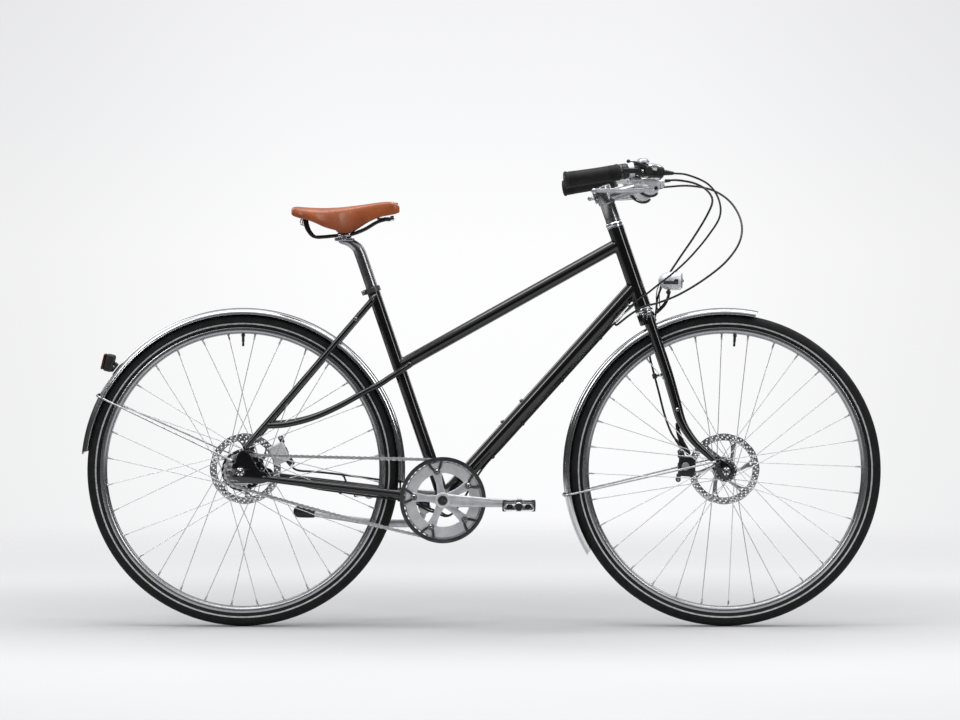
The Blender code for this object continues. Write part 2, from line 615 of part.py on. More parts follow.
def arm(name, tip_dir, y_root, y_tip, side):
    """A crank arm: a tapered bar of eight-sided section from the spindle to the pedal eye."""
    bm = bmesh.new()
    rows = []
    n = 5
    up_dir = Vector((-tip_dir.z, 0, tip_dir.x))
    for k in range(n + 1):
        t = k / n
        mid = bb_v + tip_dir * (CRANK_LEN * t) + Vector((0, y_root + (y_tip - y_root) * t, 0))
        h, w = 16.0 - 6.5 * min(1, t * 1.4), 7.0 - 1.6 * t
        rows.append([bm.verts.new(P(*(mid + up_dir * (h * sz) + Vector((0, w * sy, 0)))))
                     for sz, sy in ((1, 0.55), (0.62, 1), (-0.62, 1), (-1, 0.55), (-1, -0.55), (-0.62, -1), (0.62, -1), (1, -0.55))])
    for a, b in zip(rows, rows[1:]):
        for i in range(8):
            bm.faces.new((a[i], a[(i + 1) % 8], b[(i + 1) % 8], b[i]))
    bm.faces.new(rows[0])
    bm.faces.new(rows[-1][::-1])
    return from_bmesh(name, bm, Matrix.Identity(4))


right_arm = arm("right_arm", fwd, -66.0, -69.5, -1)
boss_r = cyl("boss_r", (BB[0], -40.0, BB[1]), (BB[0], -74, BB[1]), 18.0, 16)
pedal_eye_r = cyl("pedal_eye_r", eye_right + Vector((0, -62.5, 0)), eye_right + Vector((0, -76, 0)), 13.0, 12)
spindle = cyl("spindle", (BB[0], -45, BB[1]), (BB[0], 60.0, BB[1]), 11.9, 12)
pin_r = cyl("pin_r", eye_right + Vector((0, -70, 0)), eye_right + Vector((0, -170, 0)), 4.5, 8)
PETALS = 5
petal_first = 102.0
guard_edge = circle(96.0, 36, BB[0], BB[1])
guard_loops = [guard_edge]
for k in range(PETALS):
    mid_a = petal_first + 36 + 72 * k
    petal = []
    for j in range(8):
        a = 2 * math.pi * j / 8
        r = 55.5 + 27.5 * math.cos(a)
        w = 0.50 * math.sin(a) * (0.72 + 0.28 * math.cos(a))
        petal.append((BB[0] + r * math.cos(math.radians(mid_a) + w), BB[1] + r * math.sin(math.radians(mid_a) + w)))
    guard_loops.append(petal)
guard = outline("guard", guard_loops, 1.6, RING_GUARD_Y)
guard_m = to_mesh(guard)
right = joined(boss_r, spindle, right_arm, pedal_eye_r, pin_r, guard_m)
for k in range(PETALS):
    a = math.radians(petal_first + 72 * k)
    p = (BB[0] + 78.5 * math.cos(a), BB[1] + 78.5 * math.sin(a))
    joined(right, cyl(f"ring_bolt_{k}", (p[0], RING_GUARD_Y, p[1]), (p[0], CHAIN_Y - 1.0 - GAP, p[1]), 5.0, 6))
node(right, "crank_right", "polished", crank)

left_arm = arm("left_arm", -fwd, 68.2, 70.5, 1)
boss_l = cyl("boss_l", (BB[0], 60.9, BB[1]), (BB[0], 75, BB[1]), 17.0, 16)
pedal_eye_l = cyl("pedal_eye_l", eye_left + Vector((0, 63.5, 0)), eye_left + Vector((0, 77, 0)), 13.0, 12)
pin_l = cyl("pin_l", eye_left + Vector((0, 70, 0)), eye_left + Vector((0, 171, 0)), 4.5, 8)
left = joined(boss_l, left_arm, pedal_eye_l, pin_l)
node(left, "crank_left", "polished", crank)


def pedal(side, eye, holder):
    y_in, y_out = (77.5, 172.5) if side < 0 else (78.5, 173.5)
    mid = side * (y_in + y_out) / 2
    barrel = cyl("barrel", (eye.x, side * y_in, eye.z), (eye.x, side * y_out, eye.z), 11.0, 10)
    bars = []
    for dx in (-1, 1):
        bars.append(box("cage_bar", (eye.x + dx * 34, mid, eye.z), (6, 86, 20)))
    for y in (y_in + 9, y_out - 9):
        bars.append(box("cage_end", (eye.x, side * y, eye.z), (66, 10, 15)))
    joined(barrel, *bars)
    bore = cyl("pedal_bore", (eye.x, side * (y_in - 5), eye.z), (eye.x, side * (y_out - 1.0), eye.z), 4.9, 8)
    return cut(barrel, bore)


pedal_r_pivot = pivot("pedal_right_pivot", (eye_right.x, -120, eye_right.z), crank)
pedal_l_pivot = pivot("pedal_left_pivot", (eye_left.x, 120, eye_left.z), crank)
node(pedal(-1, eye_right, None), "pedal_right", "polished", pedal_r_pivot)
node(pedal(1, eye_left, None), "pedal_left", "polished", pedal_l_pivot)


# ---------------------------------------------------------------- mudguards
def mudguard(name, axle_xz, a0, a1, half, steps):
    """A curved strip over the tyre from angle a0 to a1, degrees from +X towards +Z."""
    section = [(-half, 350.0), (-half * 0.72, 359.6), (0.0, GUARD_R - 0.6), (half * 0.72, 359.6), (half, 350.0)]
    profile = [(r, y) for y, r in section]
    obj = turned(name, profile, (axle_xz[0], 0, axle_xz[1]), SIDE, steps, closed=False, spin=-a1, angle=a1 - a0, x_hint=(1, 0, 0))
    m = obj.modifiers.new("sheet", "SOLIDIFY")
    m.thickness = 1.3 * MM
    m.offset = 0.0
    return obj


rear_guard = mudguard("rg", REAR_AXLE, -3.5, 173.5, GUARD_HALF, 25)
node(rear_guard, "rear_mudguard", "polished")
front_guard = mudguard("fg", FRONT_AXLE, 78.5, 211.0, GUARD_HALF - 0.5, 19)
node(front_guard, "front_mudguard", "polished", steering)


def guard_stay(name, axle_xz, angle, ends):
    """A wire from one side of the axle, over the mudguard and down to the other side."""
    c, s = math.cos(math.radians(angle)), math.sin(math.radians(angle))
    cx, cz = axle_xz
    ex, ez, ey = ends
    side_pts = [(ex, ey, ez), (cx + c * 345, 28.5, cz + s * 345), (cx + c * 359, 26.5, cz + s * 359),
                (cx + c * 366.6, 20, cz + s * 366.6), (cx + c * 367.6, 0, cz + s * 367.6)]
    pts = [(x, -y, z) for x, y, z in side_pts] + [(x, y, z) for x, y, z in reversed(side_pts[:-1])]
    return tube(name, pts, 2.2, 1)


rear_stay = guard_stay("rs", REAR_AXLE, 152.7, (-14, 372, DROP_Y + 8.0))
node(to_mesh(rear_stay), "rear_mudguard_stay", "polished")

# ---------------------------------------------------------------- rear light, rear caliper
light_a = math.radians(141.5)
lu = Vector((math.cos(light_a), 0, math.sin(light_a)))
light_c = Vector((0, 0, WHEEL_R)) + lu * 383.0
rear_light = box("rear_light", light_c + Vector((-2, 0, 2)), (26, 34, 40), (0.25, 0, 1), (1, 0, -0.25), 4.0)
light_foot = box("light_foot", Vector((0, 0, WHEEL_R)) + lu * 370.5, (24, 16, 11), lu, (0, 0, 1), 0)
node(joined(rear_light, light_foot), "rear_light", "gloss_black")


def caliper(name, axle_xz, y, angle, r_mid, slot_half=1.9):
    """A caliper body round the rotor's edge, with a slot for the rotor and two bolt ears."""
    cx, cz = axle_xz
    u = Vector((math.cos(math.radians(angle)), 0, math.sin(math.radians(angle))))
    t = Vector((-u.z, 0, u.x))
    centre = Vector((cx, y, cz)) + u * r_mid
    body = box(name + "_body", centre + Vector((0, 1.0, 0)), (38, 24, 46), t, u, 4.0)
    ears = box(name + "_ears", centre + u * 17 + Vector((0, 5.0, 0)), (11, 12, 74), t, u, 2.0)
    port = cyl(name + "_port", centre + u * 10 - t * 20, centre + u * 14 - t * 36, 5.0, 10)
    slot = box(name + "_slot", Vector((cx, y, cz)) + u * (r_mid - 14), (38, 2 * slot_half, 120), t, u)
    made = joined(body, ears, port)
    return cut(made, slot), centre, u, t


rear_cal, rear_cal_c, rear_cal_u, rear_cal_t = caliper("rc", REAR_AXLE, REAR_ROTOR_Y, 24.0, 84.0)
node(rear_cal, "rear_brake_caliper", "matt_black")

# ---------------------------------------------------------------- kickstand, folded along the left chain stay
stand_pivot = pivot("kickstand_pivot", STAND_AT)
leg_pts = smooth([(404, 47.5, 258), (396, 47.8, 238), (376, 48.6, 227), (330, 50.5, 226), (283, 52.5, 228.5), (200, 62, 240), (136, 69, 248)], 2)
leg = to_mesh(tube("leg", leg_pts, 6.0, 1))
hub_k = cyl("stand_hub", Vector(STAND_AT) - STAND_AXIS * 10.0, Vector(STAND_AT) + STAND_AXIS * 7.5, 13.5, 14)
shoe = cyl("stand_shoe", (146, 68, 246.8), (117, 71, 251.5), 8.0, 10, r2=10.0)
leg = joined(leg, hub_k, shoe)
node(leg, "kickstand_leg", "polished", stand_pivot)

# ---------------------------------------------------------------- fork
CROWN_TOP = -HEAD_LEN - 13.0
CROWN_DEEP = 24.0
BLADE = [(908.0, 38.0, 689), (913.5, 38.0, 672), (928, 38.4, 630), (950.2, 40.0, 563.8), (967.9, 42.6, 503), (982.0, 46.0, 456),
         (1006.5, 49.5, 417), (1036.0, 52.8, 388), (1061.0, 54.0, 365)]
blade_radii = [12.0, 12.0, 11.8, 11.2, 10.4, 9.6, 8.8, 7.6, 6.6]
race = turned("race", [(18.0, -11.2), (19.6, -13.2), (14.0, -13.2), (14.0, -11.2)], on_head(-HEAD_LEN), STEER, 14)
steerer = cyl("steerer", on_head(CROWN_TOP - 10), on_head(91), 14.3, 14)
crown = cyl("crown", on_head(CROWN_TOP), on_head(CROWN_TOP - CROWN_DEEP), 19.5, 14)
crown_bar = box("crown_bar", on_head(CROWN_TOP - CROWN_DEEP / 2, 0, 0), (30, 86, CROWN_DEEP), STEER, (1, 0, 0.35))
fork = joined(steerer, crown, crown_bar)
FORK_DROP_Y = FRONT_HALF + GAP + 3.0
for side, label in ((-1, "right"), (1, "left")):
    path = smooth([(x, side * y, z) for x, y, z in BLADE], 1)
    blade = to_mesh(tube("blade_" + label, path, 1.0, 2, blade_radii))
    end = to_mesh(outline("fork_end_" + label, [[(1052, 378), (1058, 384), (1072, 372), (1084, 366), (1092, 356), (1093, 344),
                                                 (1086, 335), (1074, 335), (1064, 344), (1056, 358), (1050, 368)]], 3.0, side * FORK_DROP_Y))
    slot = to_mesh(outline("fork_slot_" + label, [[(1073.8, 354), (1073.6, 320), (1084.4, 320), (1084.2, 354)]], 6.0, side * FORK_DROP_Y))
    boss = cyl("low_boss_" + label, (970.0, side * 40, 486), (970.0, side * 55.4, 486), 4.6, 8)
    eyelet = cyl("guard_eye_f_" + label, (1060, side * (FORK_DROP_Y - 2), 372), (1060, side * (FORK_DROP_Y + 8.4), 372), 4.8, 8)
    joined(fork, blade, end, boss, eyelet)
    cut(fork, slot)
steer_bore = cyl("steer_bore", on_head(CROWN_TOP + 6), on_head(100), 12.2, 10)
joined(fork, race)
cut(fork, steer_bore)
node(fork, "fork", "gloss_black", steering)

front_axle = cyl("fa", (FRONT_AXLE[0], -64, WHEEL_R), (FRONT_AXLE[0], 64, WHEEL_R), 4.6, 8)
for side, label in ((-1, "right"), (1, "left")):
    y0 = side * (FORK_DROP_Y + 3.0 + GAP)
    joined(front_axle, cyl("f_nut_" + label, (FRONT_AXLE[0], y0, WHEEL_R), (FRONT_AXLE[0], y0 + side * 7, WHEEL_R), 8.4, 6),
           cyl("f_lock_" + label, (FRONT_AXLE[0], side * (FRONT_HALF - 0.2), WHEEL_R), (FRONT_AXLE[0], side * (FRONT_HALF - 5), WHEEL_R), 8.0, 8))
node(front_axle, "front_axle", "satin_silver", steering)
front_stay = guard_stay("fs", FRONT_AXLE, 188.7, (1060, 372, FORK_DROP_Y + 11.4))
node(to_mesh(front_stay), "front_mudguard_stay", "polished", steering)
front_cal, front_cal_c, front_cal_u, front_cal_t = caliper("fc", FRONT_AXLE, FRONT_ROTOR_Y, 176.0, 84.0)
node(front_cal, "front_brake_caliper", "matt_black", steering)

# ---------------------------------------------------------------- stem with its spacer column
BAR_AT = (900.0, 0.0, 985.0)
BAR_R = 11.1
stem = turned("stem_column", [(19.0, 97.0), (19.0, 55.0), (16.8, 55.0), (16.8, 13.0), (14.75, 13.0), (14.75, 97.0)],
              on_head(0), STEER, 16)
ext_from = on_head(70, 0, 16.0)
extension = cyl("extension", ext_from, lerp(ext_from, BAR_AT, 0.96), 13.5, 12, r2=11.5)
bar_clamp = cyl("bar_clamp", (BAR_AT[0], -22, BAR_AT[2]), (BAR_AT[0], 22, BAR_AT[2]), 17.0, 16)
face = box("clamp_face", (BAR_AT[0] + 9, 0, BAR_AT[2] + 2), (20, 40, 38), (0.2, 0, 1), (1, 0, -0.2), 0)
pinch = box("pinch", on_head(76, 0, -19), (12, 16, 26), STEER, (1, 0, 0.35), 0)
stem = joined(stem, extension, bar_clamp, face, pinch)
bar_hole = cyl("bar_hole", (BAR_AT[0], -40, BAR_AT[2]), (BAR_AT[0], 40, BAR_AT[2]), 13.1, 12)
stem_bore = cyl("stem_bore", on_head(5), on_head(110), 14.75, 16)
node(cut(stem, bar_hole, stem_bore), "stem", "polished", steering)

# ---------------------------------------------------------------- handlebar
GRIP_BACK = (721.0, 290.0, 989.0)
GRIP_FRONT = (840.6, 266.0, 1007.5)
grip_dir = unit(Vector(GRIP_BACK) - Vector(GRIP_FRONT))
BAR_BENDS = [(900.0, 24.0, 985.0), (903.0, 60.0, 986.5), (914.0, 115.0, 996.0), (925.0, 170.0, 1005.5), (925.0, 212.0, 1011.5),
             (911.0, 242.0, 1014.8)]
STRAIGHT_FROM = Vector(GRIP_FRONT) - grip_dir * 46.0


def bar_side(side):
    bends = [Vector(p) for p in BAR_BENDS] + [STRAIGHT_FROM]
    pts = smooth(bends, 2) + [Vector(GRIP_BACK) - grip_dir * 3.0]
    return [Vector((p.x, side * p.y, p.z)) for p in pts]


left_side, right_side = bar_side(1), bar_side(-1)
bar_pts = right_side[::-1] + left_side
bar = tube("bar", bar_pts, BAR_R, 2)
sleeve = turned("bulge", ring_profile(12.7, 8.5, -38, 38), BAR_AT, SIDE, 12)
node(joined(bar, sleeve), "handlebar", "polished", steering)


def mirrored(v, side):
    return Vector((v[0], side * v[1], v[2]))


def grip(name, side):
    """A closed sleeve on the straight end of the bar, with a flange at each end."""
    d = mirrored(-grip_dir, side)
    inner = BAR_R + 0.5
    profile = [(inner, 118), (17.4, 118), (16.4, 70), (17.2, 5), (18.8, 1), (17.5, -2.5), (0.0, -2.5), (0.0, 2.0), (inner, 2.0)]
    obj = turned(name, profile, mirrored(Vector(GRIP_BACK), side), d, 14)
    return obj


node(grip("gr", -1), "grip_right", "grip_rubber", steering)
node(grip("gl", 1), "grip_left", "grip_rubber", steering)

# ---------------------------------------------------------------- brake levers and their bodies
LEVER_AT = (907.0, 262.0, 970.0)
LEVER_TIP = (781.0, 306.0, 967.5)
lever_dir = unit(Vector(LEVER_TIP) - Vector(LEVER_AT))
grip_mid = Vector(lerp(GRIP_FRONT, GRIP_BACK, 0.6))
towards = grip_mid - Vector(lerp(LEVER_AT, LEVER_TIP, 0.7))
towards = (towards - lever_dir * towards.dot(lever_dir)).normalized()
LEVER_AXIS = lever_dir.cross(towards)                      # turning about it takes the lever to the left grip


def lever_body(name, side):
    """A clamp round the bar and the master cylinder that hangs from it."""
    d = mirrored(grip_dir, side)
    at = mirrored(STRAIGHT_FROM + grip_dir * 25, side)
    ring_obj = turned(name + "_clamp", ring_profile(16.5, BAR_R + 0.9, -6, 6), at, d, 14)
    body = box(name + "_body", mirrored((899, 257, 978), side), (48, 20, 26), mirrored(towards, side), mirrored(-lever_dir, side), 3.0)
    neck = box(name + "_neck", mirrored((870, 260, 989), side), (24, 14, 17.5), mirrored((0, 0.05, 1), side), (1, 0, 0), 0)
    port = cyl(name + "_port", mirrored((918, 254, 984), side), mirrored((936, 249, 988), side), 4.6, 8)
    made = joined(ring_obj, neck, body, port)
    slot_mid = Vector(LEVER_AT) + lever_dir * 26 - towards * 9.5
    slot = box(name + "_slot", mirrored(slot_mid, side), (72, 40, 12.6), mirrored(LEVER_AXIS, side), mirrored(lever_dir, side))
    bar_room = cyl(name + "_room", mirrored(STRAIGHT_FROM - grip_dir * 2, side), mirrored(STRAIGHT_FROM + grip_dir * 60, side), BAR_R + 0.9, 12)
    return made, slot, bar_room


def lever_blade(name, side):
    at, tip = Vector(LEVER_AT), Vector(LEVER_TIP)
    mid = (at + tip) / 2 - Vector(towards) * 4.0
    path = smooth([mirrored(at, side), mirrored(at.lerp(mid, 0.5) - Vector(towards) * 2, side), mirrored(mid, side),
                   mirrored(mid.lerp(tip, 0.55), side), mirrored(tip, side)], 2)
    blade = to_mesh(tube(name + "_bar", path, 4.2, 2, [1.1, 1.1, 1.1, 1.05, 1.0, 0.95, 0.9, 0.85, 0.8]))
    knob = ball(name + "_knob", mirrored(tip, side), 6.2, 8, 5)
    eye = cyl(name + "_eye", mirrored(at - Vector(LEVER_AXIS) * 5.0, side), mirrored(at + Vector(LEVER_AXIS) * 5.0, side), 8.0, 12)
    return joined(blade, knob, eye)


for side, label in ((-1, "right"), (1, "left")):
    made, slot, bar_room = lever_body("lb_" + label, side)
    eye_room = cyl("eye_room_" + label, mirrored(Vector(LEVER_AT) - Vector(LEVER_AXIS) * 5.6, side),
                   mirrored(Vector(LEVER_AT) + Vector(LEVER_AXIS) * 5.6, side), 8.6, 16)
    cut(made, bar_room, slot, eye_room)
    node(made, "brake_lever_body_" + label, "polished", steering)
    holder = pivot(f"brake_lever_{label}_pivot", mirrored(LEVER_AT, side), steering)
    node(lever_blade("bl_" + label, side), "brake_lever_" + label, "polished", holder)

# ---------------------------------------------------------------- shifter, bell
shift_clamp = turned("shift_clamp", ring_profile(17.0, BAR_R + 0.9, -5.2, 5.2), mirrored(STRAIGHT_FROM + grip_dir * 39, -1), mirrored(grip_dir, -1), 14)
shift_box = box("shift_box", (904, -277.0, 1008), (60, 20, 26), (0.1, 0, 1), (1, 0.12, 0), 4.0)
shift_arm = box("shift_arm", (862, -283.4, 1009), (38, 7.4, 12), (0.15, 0, 1), (1, 0, -0.15))
shift_nose = cyl("shift_nose", (925, -270, 1006), (951, -262, 1004.5), 8.0, 12, r2=4.0)
shift = joined(shift_clamp, shift_arm, shift_box, shift_nose)
shift_room = to_mesh(tube("shift_room", bar_side(-1), BAR_R + 0.9, 2))
node(cut(shift, shift_room), "shifter_body", "matt_black", steering)
SHIFT_AT = (900.0, -287.0, 1010.0)
shift_pivot = pivot("shifter_pivot", SHIFT_AT, steering)
paddle = cyl("paddle_hub", (900, -289.6, 1010), (900, -295.0, 1010), 8.0, 12)
paddle_arm = box("paddle_arm", (886, -292.8, 1020), (34, 4.2, 9), (0.6, 0, 1), (1, 0, -0.6), 1.0)
node(joined(paddle, paddle_arm), "shifter_lever", "matt_black", shift_pivot)

BELL_AT = (888.0, -255.0)
bell_dome = turned("bell_dome", [(0.0, 1042.5), (6.0, 1041.5), (11.0, 1038.5), (14.0, 1033.0), (14.6, 1029.5), (0.0, 1029.5)],
                   (*BELL_AT, 0), (0, 0, 1), 16)
bell_post = cyl("bell_post", (*BELL_AT, 1026.2), (*BELL_AT, 1032), 8.0, 10)
bell_strap = turned("bell_strap", ring_profile(13.5, BAR_R + 1.3, -3.5, 3.5), (*BELL_AT, 1014.4), (-0.87, -0.5, -0.02), 14)
node(joined(bell_dome, bell_post, bell_strap), "bell", "satin_silver", steering)
STRIKE_AT = (869.5, -255.0, 1031.0)
strike_pivot = pivot("bell_striker_pivot", STRIKE_AT, steering)
striker = cyl("striker_pin", (869.5, -255, 1028.2), (869.5, -255, 1034), 2.4, 10)
striker_arm = box("striker_arm", (862.5, -255, 1032.5), (14, 4.5, 2.6), bevel=0.6)
striker_ball = ball("striker_ball", (856.5, -255, 1034), 4.2, 8, 6)
node(joined(striker, striker_arm, striker_ball), "bell_striker", "matt_black", strike_pivot)

# ---------------------------------------------------------------- headlight
lamp = turned("lamp", [(0.0, -1.0), (8.0, 0.5), (14.5, 6.0), (19.0, 15.0), (20.8, 27.0), (20.8, 50.0), (18.6, 50.0), (18.6, 44.0), (0.0, 44.0)][::-1],
              (931, 0, 772.5), (1, 0, 0), 20)
bracket_pts = [(950, 754), (957, 752), (956, 738), (948, 718), (934, 704), (926, 697), (921, 703), (929, 709), (943, 724), (951, 741)]
bracket = to_mesh(outline("bracket", [bracket_pts], 6.0, 0.0))
node(joined(lamp, bracket), "headlight", "chrome", steering)
lens = turned("lens_t", [(0.0, 54.0), (10.0, 53.0), (17.0, 49.5), (18.2, 48.5), (18.2, 44.4), (0.0, 44.4)], (931, 0, 772.5), (1, 0, 0), 20)
node(lens, "headlight_lens", "lens", steering)

# ---------------------------------------------------------------- seatpost, saddle
neck_from = Vector((SEAT_TOP[0], 0, SEAT_TOP[1])) + SEAT_UP * 76
post = cyl("post", Vector((SEAT_TOP[0], 0, SEAT_TOP[1])) - SEAT_UP * 170, neck_from, 13.3, 16)
neck = to_mesh(tube("neck", smooth([tuple(neck_from - SEAT_UP * 6), tuple(neck_from + SEAT_UP * 6), (252.0, 0, 849.5), (238, 0, 858.5), (222, 0, 862.5)], 2), 1.0, 3,
                    [13.2, 13.2, 13.0, 12.0, 10.5, 9.5, 9.0, 8.5, 8.0]))
cradle = box("cradle", (227, 0, 865.0), (42, 54, 7.0), (-0.03, 0, 1), (1, 0, 0.03))
riser = box("riser", (227, 0, 875.0), (26, 30, 22), (-0.03, 0, 1), (1, 0, 0.03))
yoke_top = box("yoke_top", (227, 0, 884.6), (34, 54, 6.5), (-0.03, 0, 1), (1, 0, 0.03))
node(joined(post, neck, cradle, riser, yoke_top), "seatpost", "polished", post_pivot)

RAIL_R = 3.5
RAIL = [(140.1, 37, 909), (141.5, 36.5, 899), (147.2, 34, 884.4), (159.7, 30, 871.5), (179.4, 25, 871.0), (208, 22.6, 873.6), (227, 22.4, 875.0), (245.5, 21.5, 877.6),
        (272.3, 16, 888), (299.1, 10.0, 903.5), (318, 6.5, 909.5)]
rails = []
for side, label in ((-1, "right"), (1, "left")):
    rails.append(to_mesh(tube("rail_" + label, smooth([(x, side * y, z) for x, y, z in RAIL], 1), RAIL_R, 1)))
cantle = box("cantle", (137.5, 0, 911.0), (7, 96, 9), (0.15, 0, 1), (1, 0, -0.15), 1.0)
nose_block = box("nose_block", (322, 0, 910.5), (16, 20, 9), (-0.2, 0, 1), (1, 0, 0.2), 2.0)
node(joined(cantle, rails[0], nose_block, rails[1]), "saddle_rails", "matt_black", post_pivot)

SADDLE = [  # x, half width, top z, skirt z
    (112.0, 56.0, 933.6, 921.5), (118.0, 69.0, 934.6, 916.5), (133.0, 78.0, 933.4, 911.5), (150.0, 80.0, 932.2, 907.5),
    (168.0, 76.0, 931.4, 900.5), (188.0, 66.0, 931.4, 891.5), (208.0, 52.5, 932.6, 886.2), (222.0, 44.0, 934.0, 880.5),
    (240.0, 36.0, 936.4, 881.0), (256.0, 30.5, 938.8, 890.5), (280.0, 25.0, 942.6, 905.5), (306.0, 21.0, 946.4, 916.5),
    (326.0, 19.0, 947.6, 920.5), (341.0, 16.0, 945.0, 923.5), (350.0, 9.5, 939.0, 927.0)]


def saddle_shell():
    """Sections across the saddle lofted into one curved sheet, thickened afterwards."""
    bm = bmesh.new()
    rows = []
    for x, half, top, skirt in SADDLE:
        row = []
        crown_rise = 4.0 if x < 200 else 2.0
        shape = [(-1.0, 0.0), (-1.0, 0.45), (-0.93, 0.8), (-0.68, 0.97), (0.0, 1.0), (0.68, 0.97), (0.93, 0.8), (1.0, 0.45), (1.0, 0.0)]
        for s, t in shape:
            z = skirt + (top - skirt) * t + (crown_rise if s == 0 and x > 120 else 0.0) * (0.0 if x > 330 else 1.0)
            row.append(bm.verts.new(P(x, s * half, z)))
        rows.append(row)
    for a, b in zip(rows, rows[1:]):
        for i in range(len(a) - 1):
            bm.faces.new((a[i], a[i + 1], b[i + 1], b[i]))
    mesh = bpy.data.meshes.new("saddle")
    bmesh.ops.recalc_face_normals(bm, faces=bm.faces)
    bm.to_mesh(mesh)
    bm.free()
    obj = new_object("saddle", mesh, Matrix.Identity(4))
    m = obj.modifiers.new("hide", "SOLIDIFY")
    m.thickness = 4.5 * MM
    m.offset = -1.0
    return obj


node(saddle_shell(), "saddle_leather", "honey_leather", post_pivot)

# ---------------------------------------------------------------- hoses and cable
HOSE_R = 2.4
FRONT_HOSE = [(938, -249.0, 988.5), (962, -244, 990), (1000, -205, 985), (1030, -150, 972), (1046, -100, 950), (1036, -60, 918),
              (1008, -30, 870), (975, 2, 820), (944, 33, 770), (930, 42, 735), (926, 54, 700), (917, 57.5, 655), (912, 57.5, 610),
              (919, 57.5, 575), (932, 57.5, 525), (946, 57.5, 470), (960, 55.5, 432), (972, 49, 413), (980.2, 42.4, 401.5), (983.3, 39.9, 393.9)]
REAR_HOSE = [(938, 249.0, 988.5), (964, 246, 991), (1010, 215, 992), (1060, 160, 980), (1098, 95, 950), (1118, 40, 905), (1112, 2, 860),
             (1080, -20, 815), (1030, -30, 775), (975, -32, 742), (930, -29, 724), (900, -28.5, 716), (880, -27, 706), (862, -21, 694),
             (846, -12, 681), (836, -2, 673.5)]
SHIFT = [(953.0, -261.4, 1004.4), (985, -252, 1001), (1030, -215, 983), (1056, -165, 952), (1062, -110, 915), (1040, -70, 875), (1004, -44, 830),
         (968, -33, 795), (930, -29.5, 765), (905, -27, 745), (884, -26, 730), (866, -24.5, 714), (850, -20, 697), (838, -11, 683)]


def under_down_tube(x_from, x_to, y, off, n):
    """Points along the underside of the down tube, from one X to another."""
    out = []
    for k in range(n + 1):
        x = x_from + (x_to - x_from) * k / n
        t = (x - DOWN_TOP[0]) / (DOWN_END[0] - DOWN_TOP[0])
        base = Vector(lerp(DOWN_TOP, DOWN_END, t))
        p = base - down_norm * off
        out.append((p.x, y, p.z))
    return out


rear_tail = under_down_tube(812, 520, 4.5, DOWN_TUBE_R + HOSE_R + 1.6, 2) + [
    (470, 5, 252), (430, 11, 253), (404, 14.5, 262), (386, 16, 274.0), (376, 17, 287.0), (374, 20, 302.0),
    (369, 27.5, 315), (354, 34.5, 321), (320, 38.5, 323), (275, 43, 328.5), (228, 48.5, 334.5), (184, 52.5, 339.5), (150, 53.8, 342.5), (126, 53.2, 344.0), (112.5, 52.4, 347.6),
    (105.7, 52.0, 353.9)]
rear_path = smooth(REAR_HOSE, 2) + [Vector(p) for p in rear_tail]
node(to_mesh(tube("rear_hose", rear_path, HOSE_R, 1)), "rear_brake_hose", "cable_black")

shift_tail = under_down_tube(812, 520, -4.5, DOWN_TUBE_R + HOSE_R + 1.6, 2) + [
    (472, -4, 254.5), (440, -12, 256), (410, -17.0, 268), (385, -19, 281.0), (350, -24.0, 284.5), (300, -29.0, 290.0), (230, -34.5, 300.0), (170, -41.5, 309),
    (110, -47.5, 322), (70, -50.0, 330.0), (46, -47.2, 336)]
node(to_mesh(tube("shift_line", smooth(SHIFT, 2) + [Vector(p) for p in shift_tail], 2.2, 1)), "shift_cable", "cable_black")

front_path = smooth(FRONT_HOSE[:10], 2) + [Vector(p) for p in FRONT_HOSE[10:]]
node(to_mesh(tube("front_hose", front_path, HOSE_R, 1)), "front_brake_hose", "cable_black", steering)
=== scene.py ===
import math

import bmesh
import bpy
import numpy as np
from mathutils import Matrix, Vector


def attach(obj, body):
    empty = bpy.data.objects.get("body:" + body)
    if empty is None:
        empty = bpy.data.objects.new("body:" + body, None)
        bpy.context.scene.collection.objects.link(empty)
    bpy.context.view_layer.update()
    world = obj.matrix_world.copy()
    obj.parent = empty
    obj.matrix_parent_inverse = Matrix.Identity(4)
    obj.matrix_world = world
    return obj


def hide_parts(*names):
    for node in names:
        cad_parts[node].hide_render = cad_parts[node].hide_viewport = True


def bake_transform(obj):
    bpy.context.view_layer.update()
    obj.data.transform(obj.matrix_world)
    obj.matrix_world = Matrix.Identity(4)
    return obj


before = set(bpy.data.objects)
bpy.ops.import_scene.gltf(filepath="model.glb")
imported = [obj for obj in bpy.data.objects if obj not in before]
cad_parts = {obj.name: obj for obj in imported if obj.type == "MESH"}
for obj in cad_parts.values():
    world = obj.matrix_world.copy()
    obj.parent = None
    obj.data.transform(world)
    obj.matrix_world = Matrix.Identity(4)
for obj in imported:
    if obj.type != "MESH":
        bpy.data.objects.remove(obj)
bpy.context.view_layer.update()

# ------------------------------------------------------------------ geometry helpers, in bike millimetres
# X from the rear axle forward, -Y the drive side, Z up from the floor.
ORIGIN_X = 533.4
HEAD_ANGLE = math.radians(71)
STEER_UP = np.array([-math.cos(HEAD_ANGLE), 0, math.sin(HEAD_ANGLE)])
STEER_OUT = np.array([math.sin(HEAD_ANGLE), 0, math.cos(HEAD_ANGLE)])
REAR = np.array([0.0, 0, 349])
FRONT = np.array([1079.0, 0, 349])
BB = np.array([449.0, 0, 285])
SEAT_UP = np.array([-161.0, 0, 474]) / math.hypot(161, 474)
SEAT_TOP = np.array([288.0, 0, 759])
X_AXIS, Y_AXIS, Z_AXIS = np.eye(3)


def vec(p):
    return np.array(p, float)


def unit(v):
    v = vec(v)
    return v / np.linalg.norm(v)


def on_head(h, y=0.0, out=0.0):
    return np.array([833.8, y, 893]) + STEER_UP * h + STEER_OUT * out


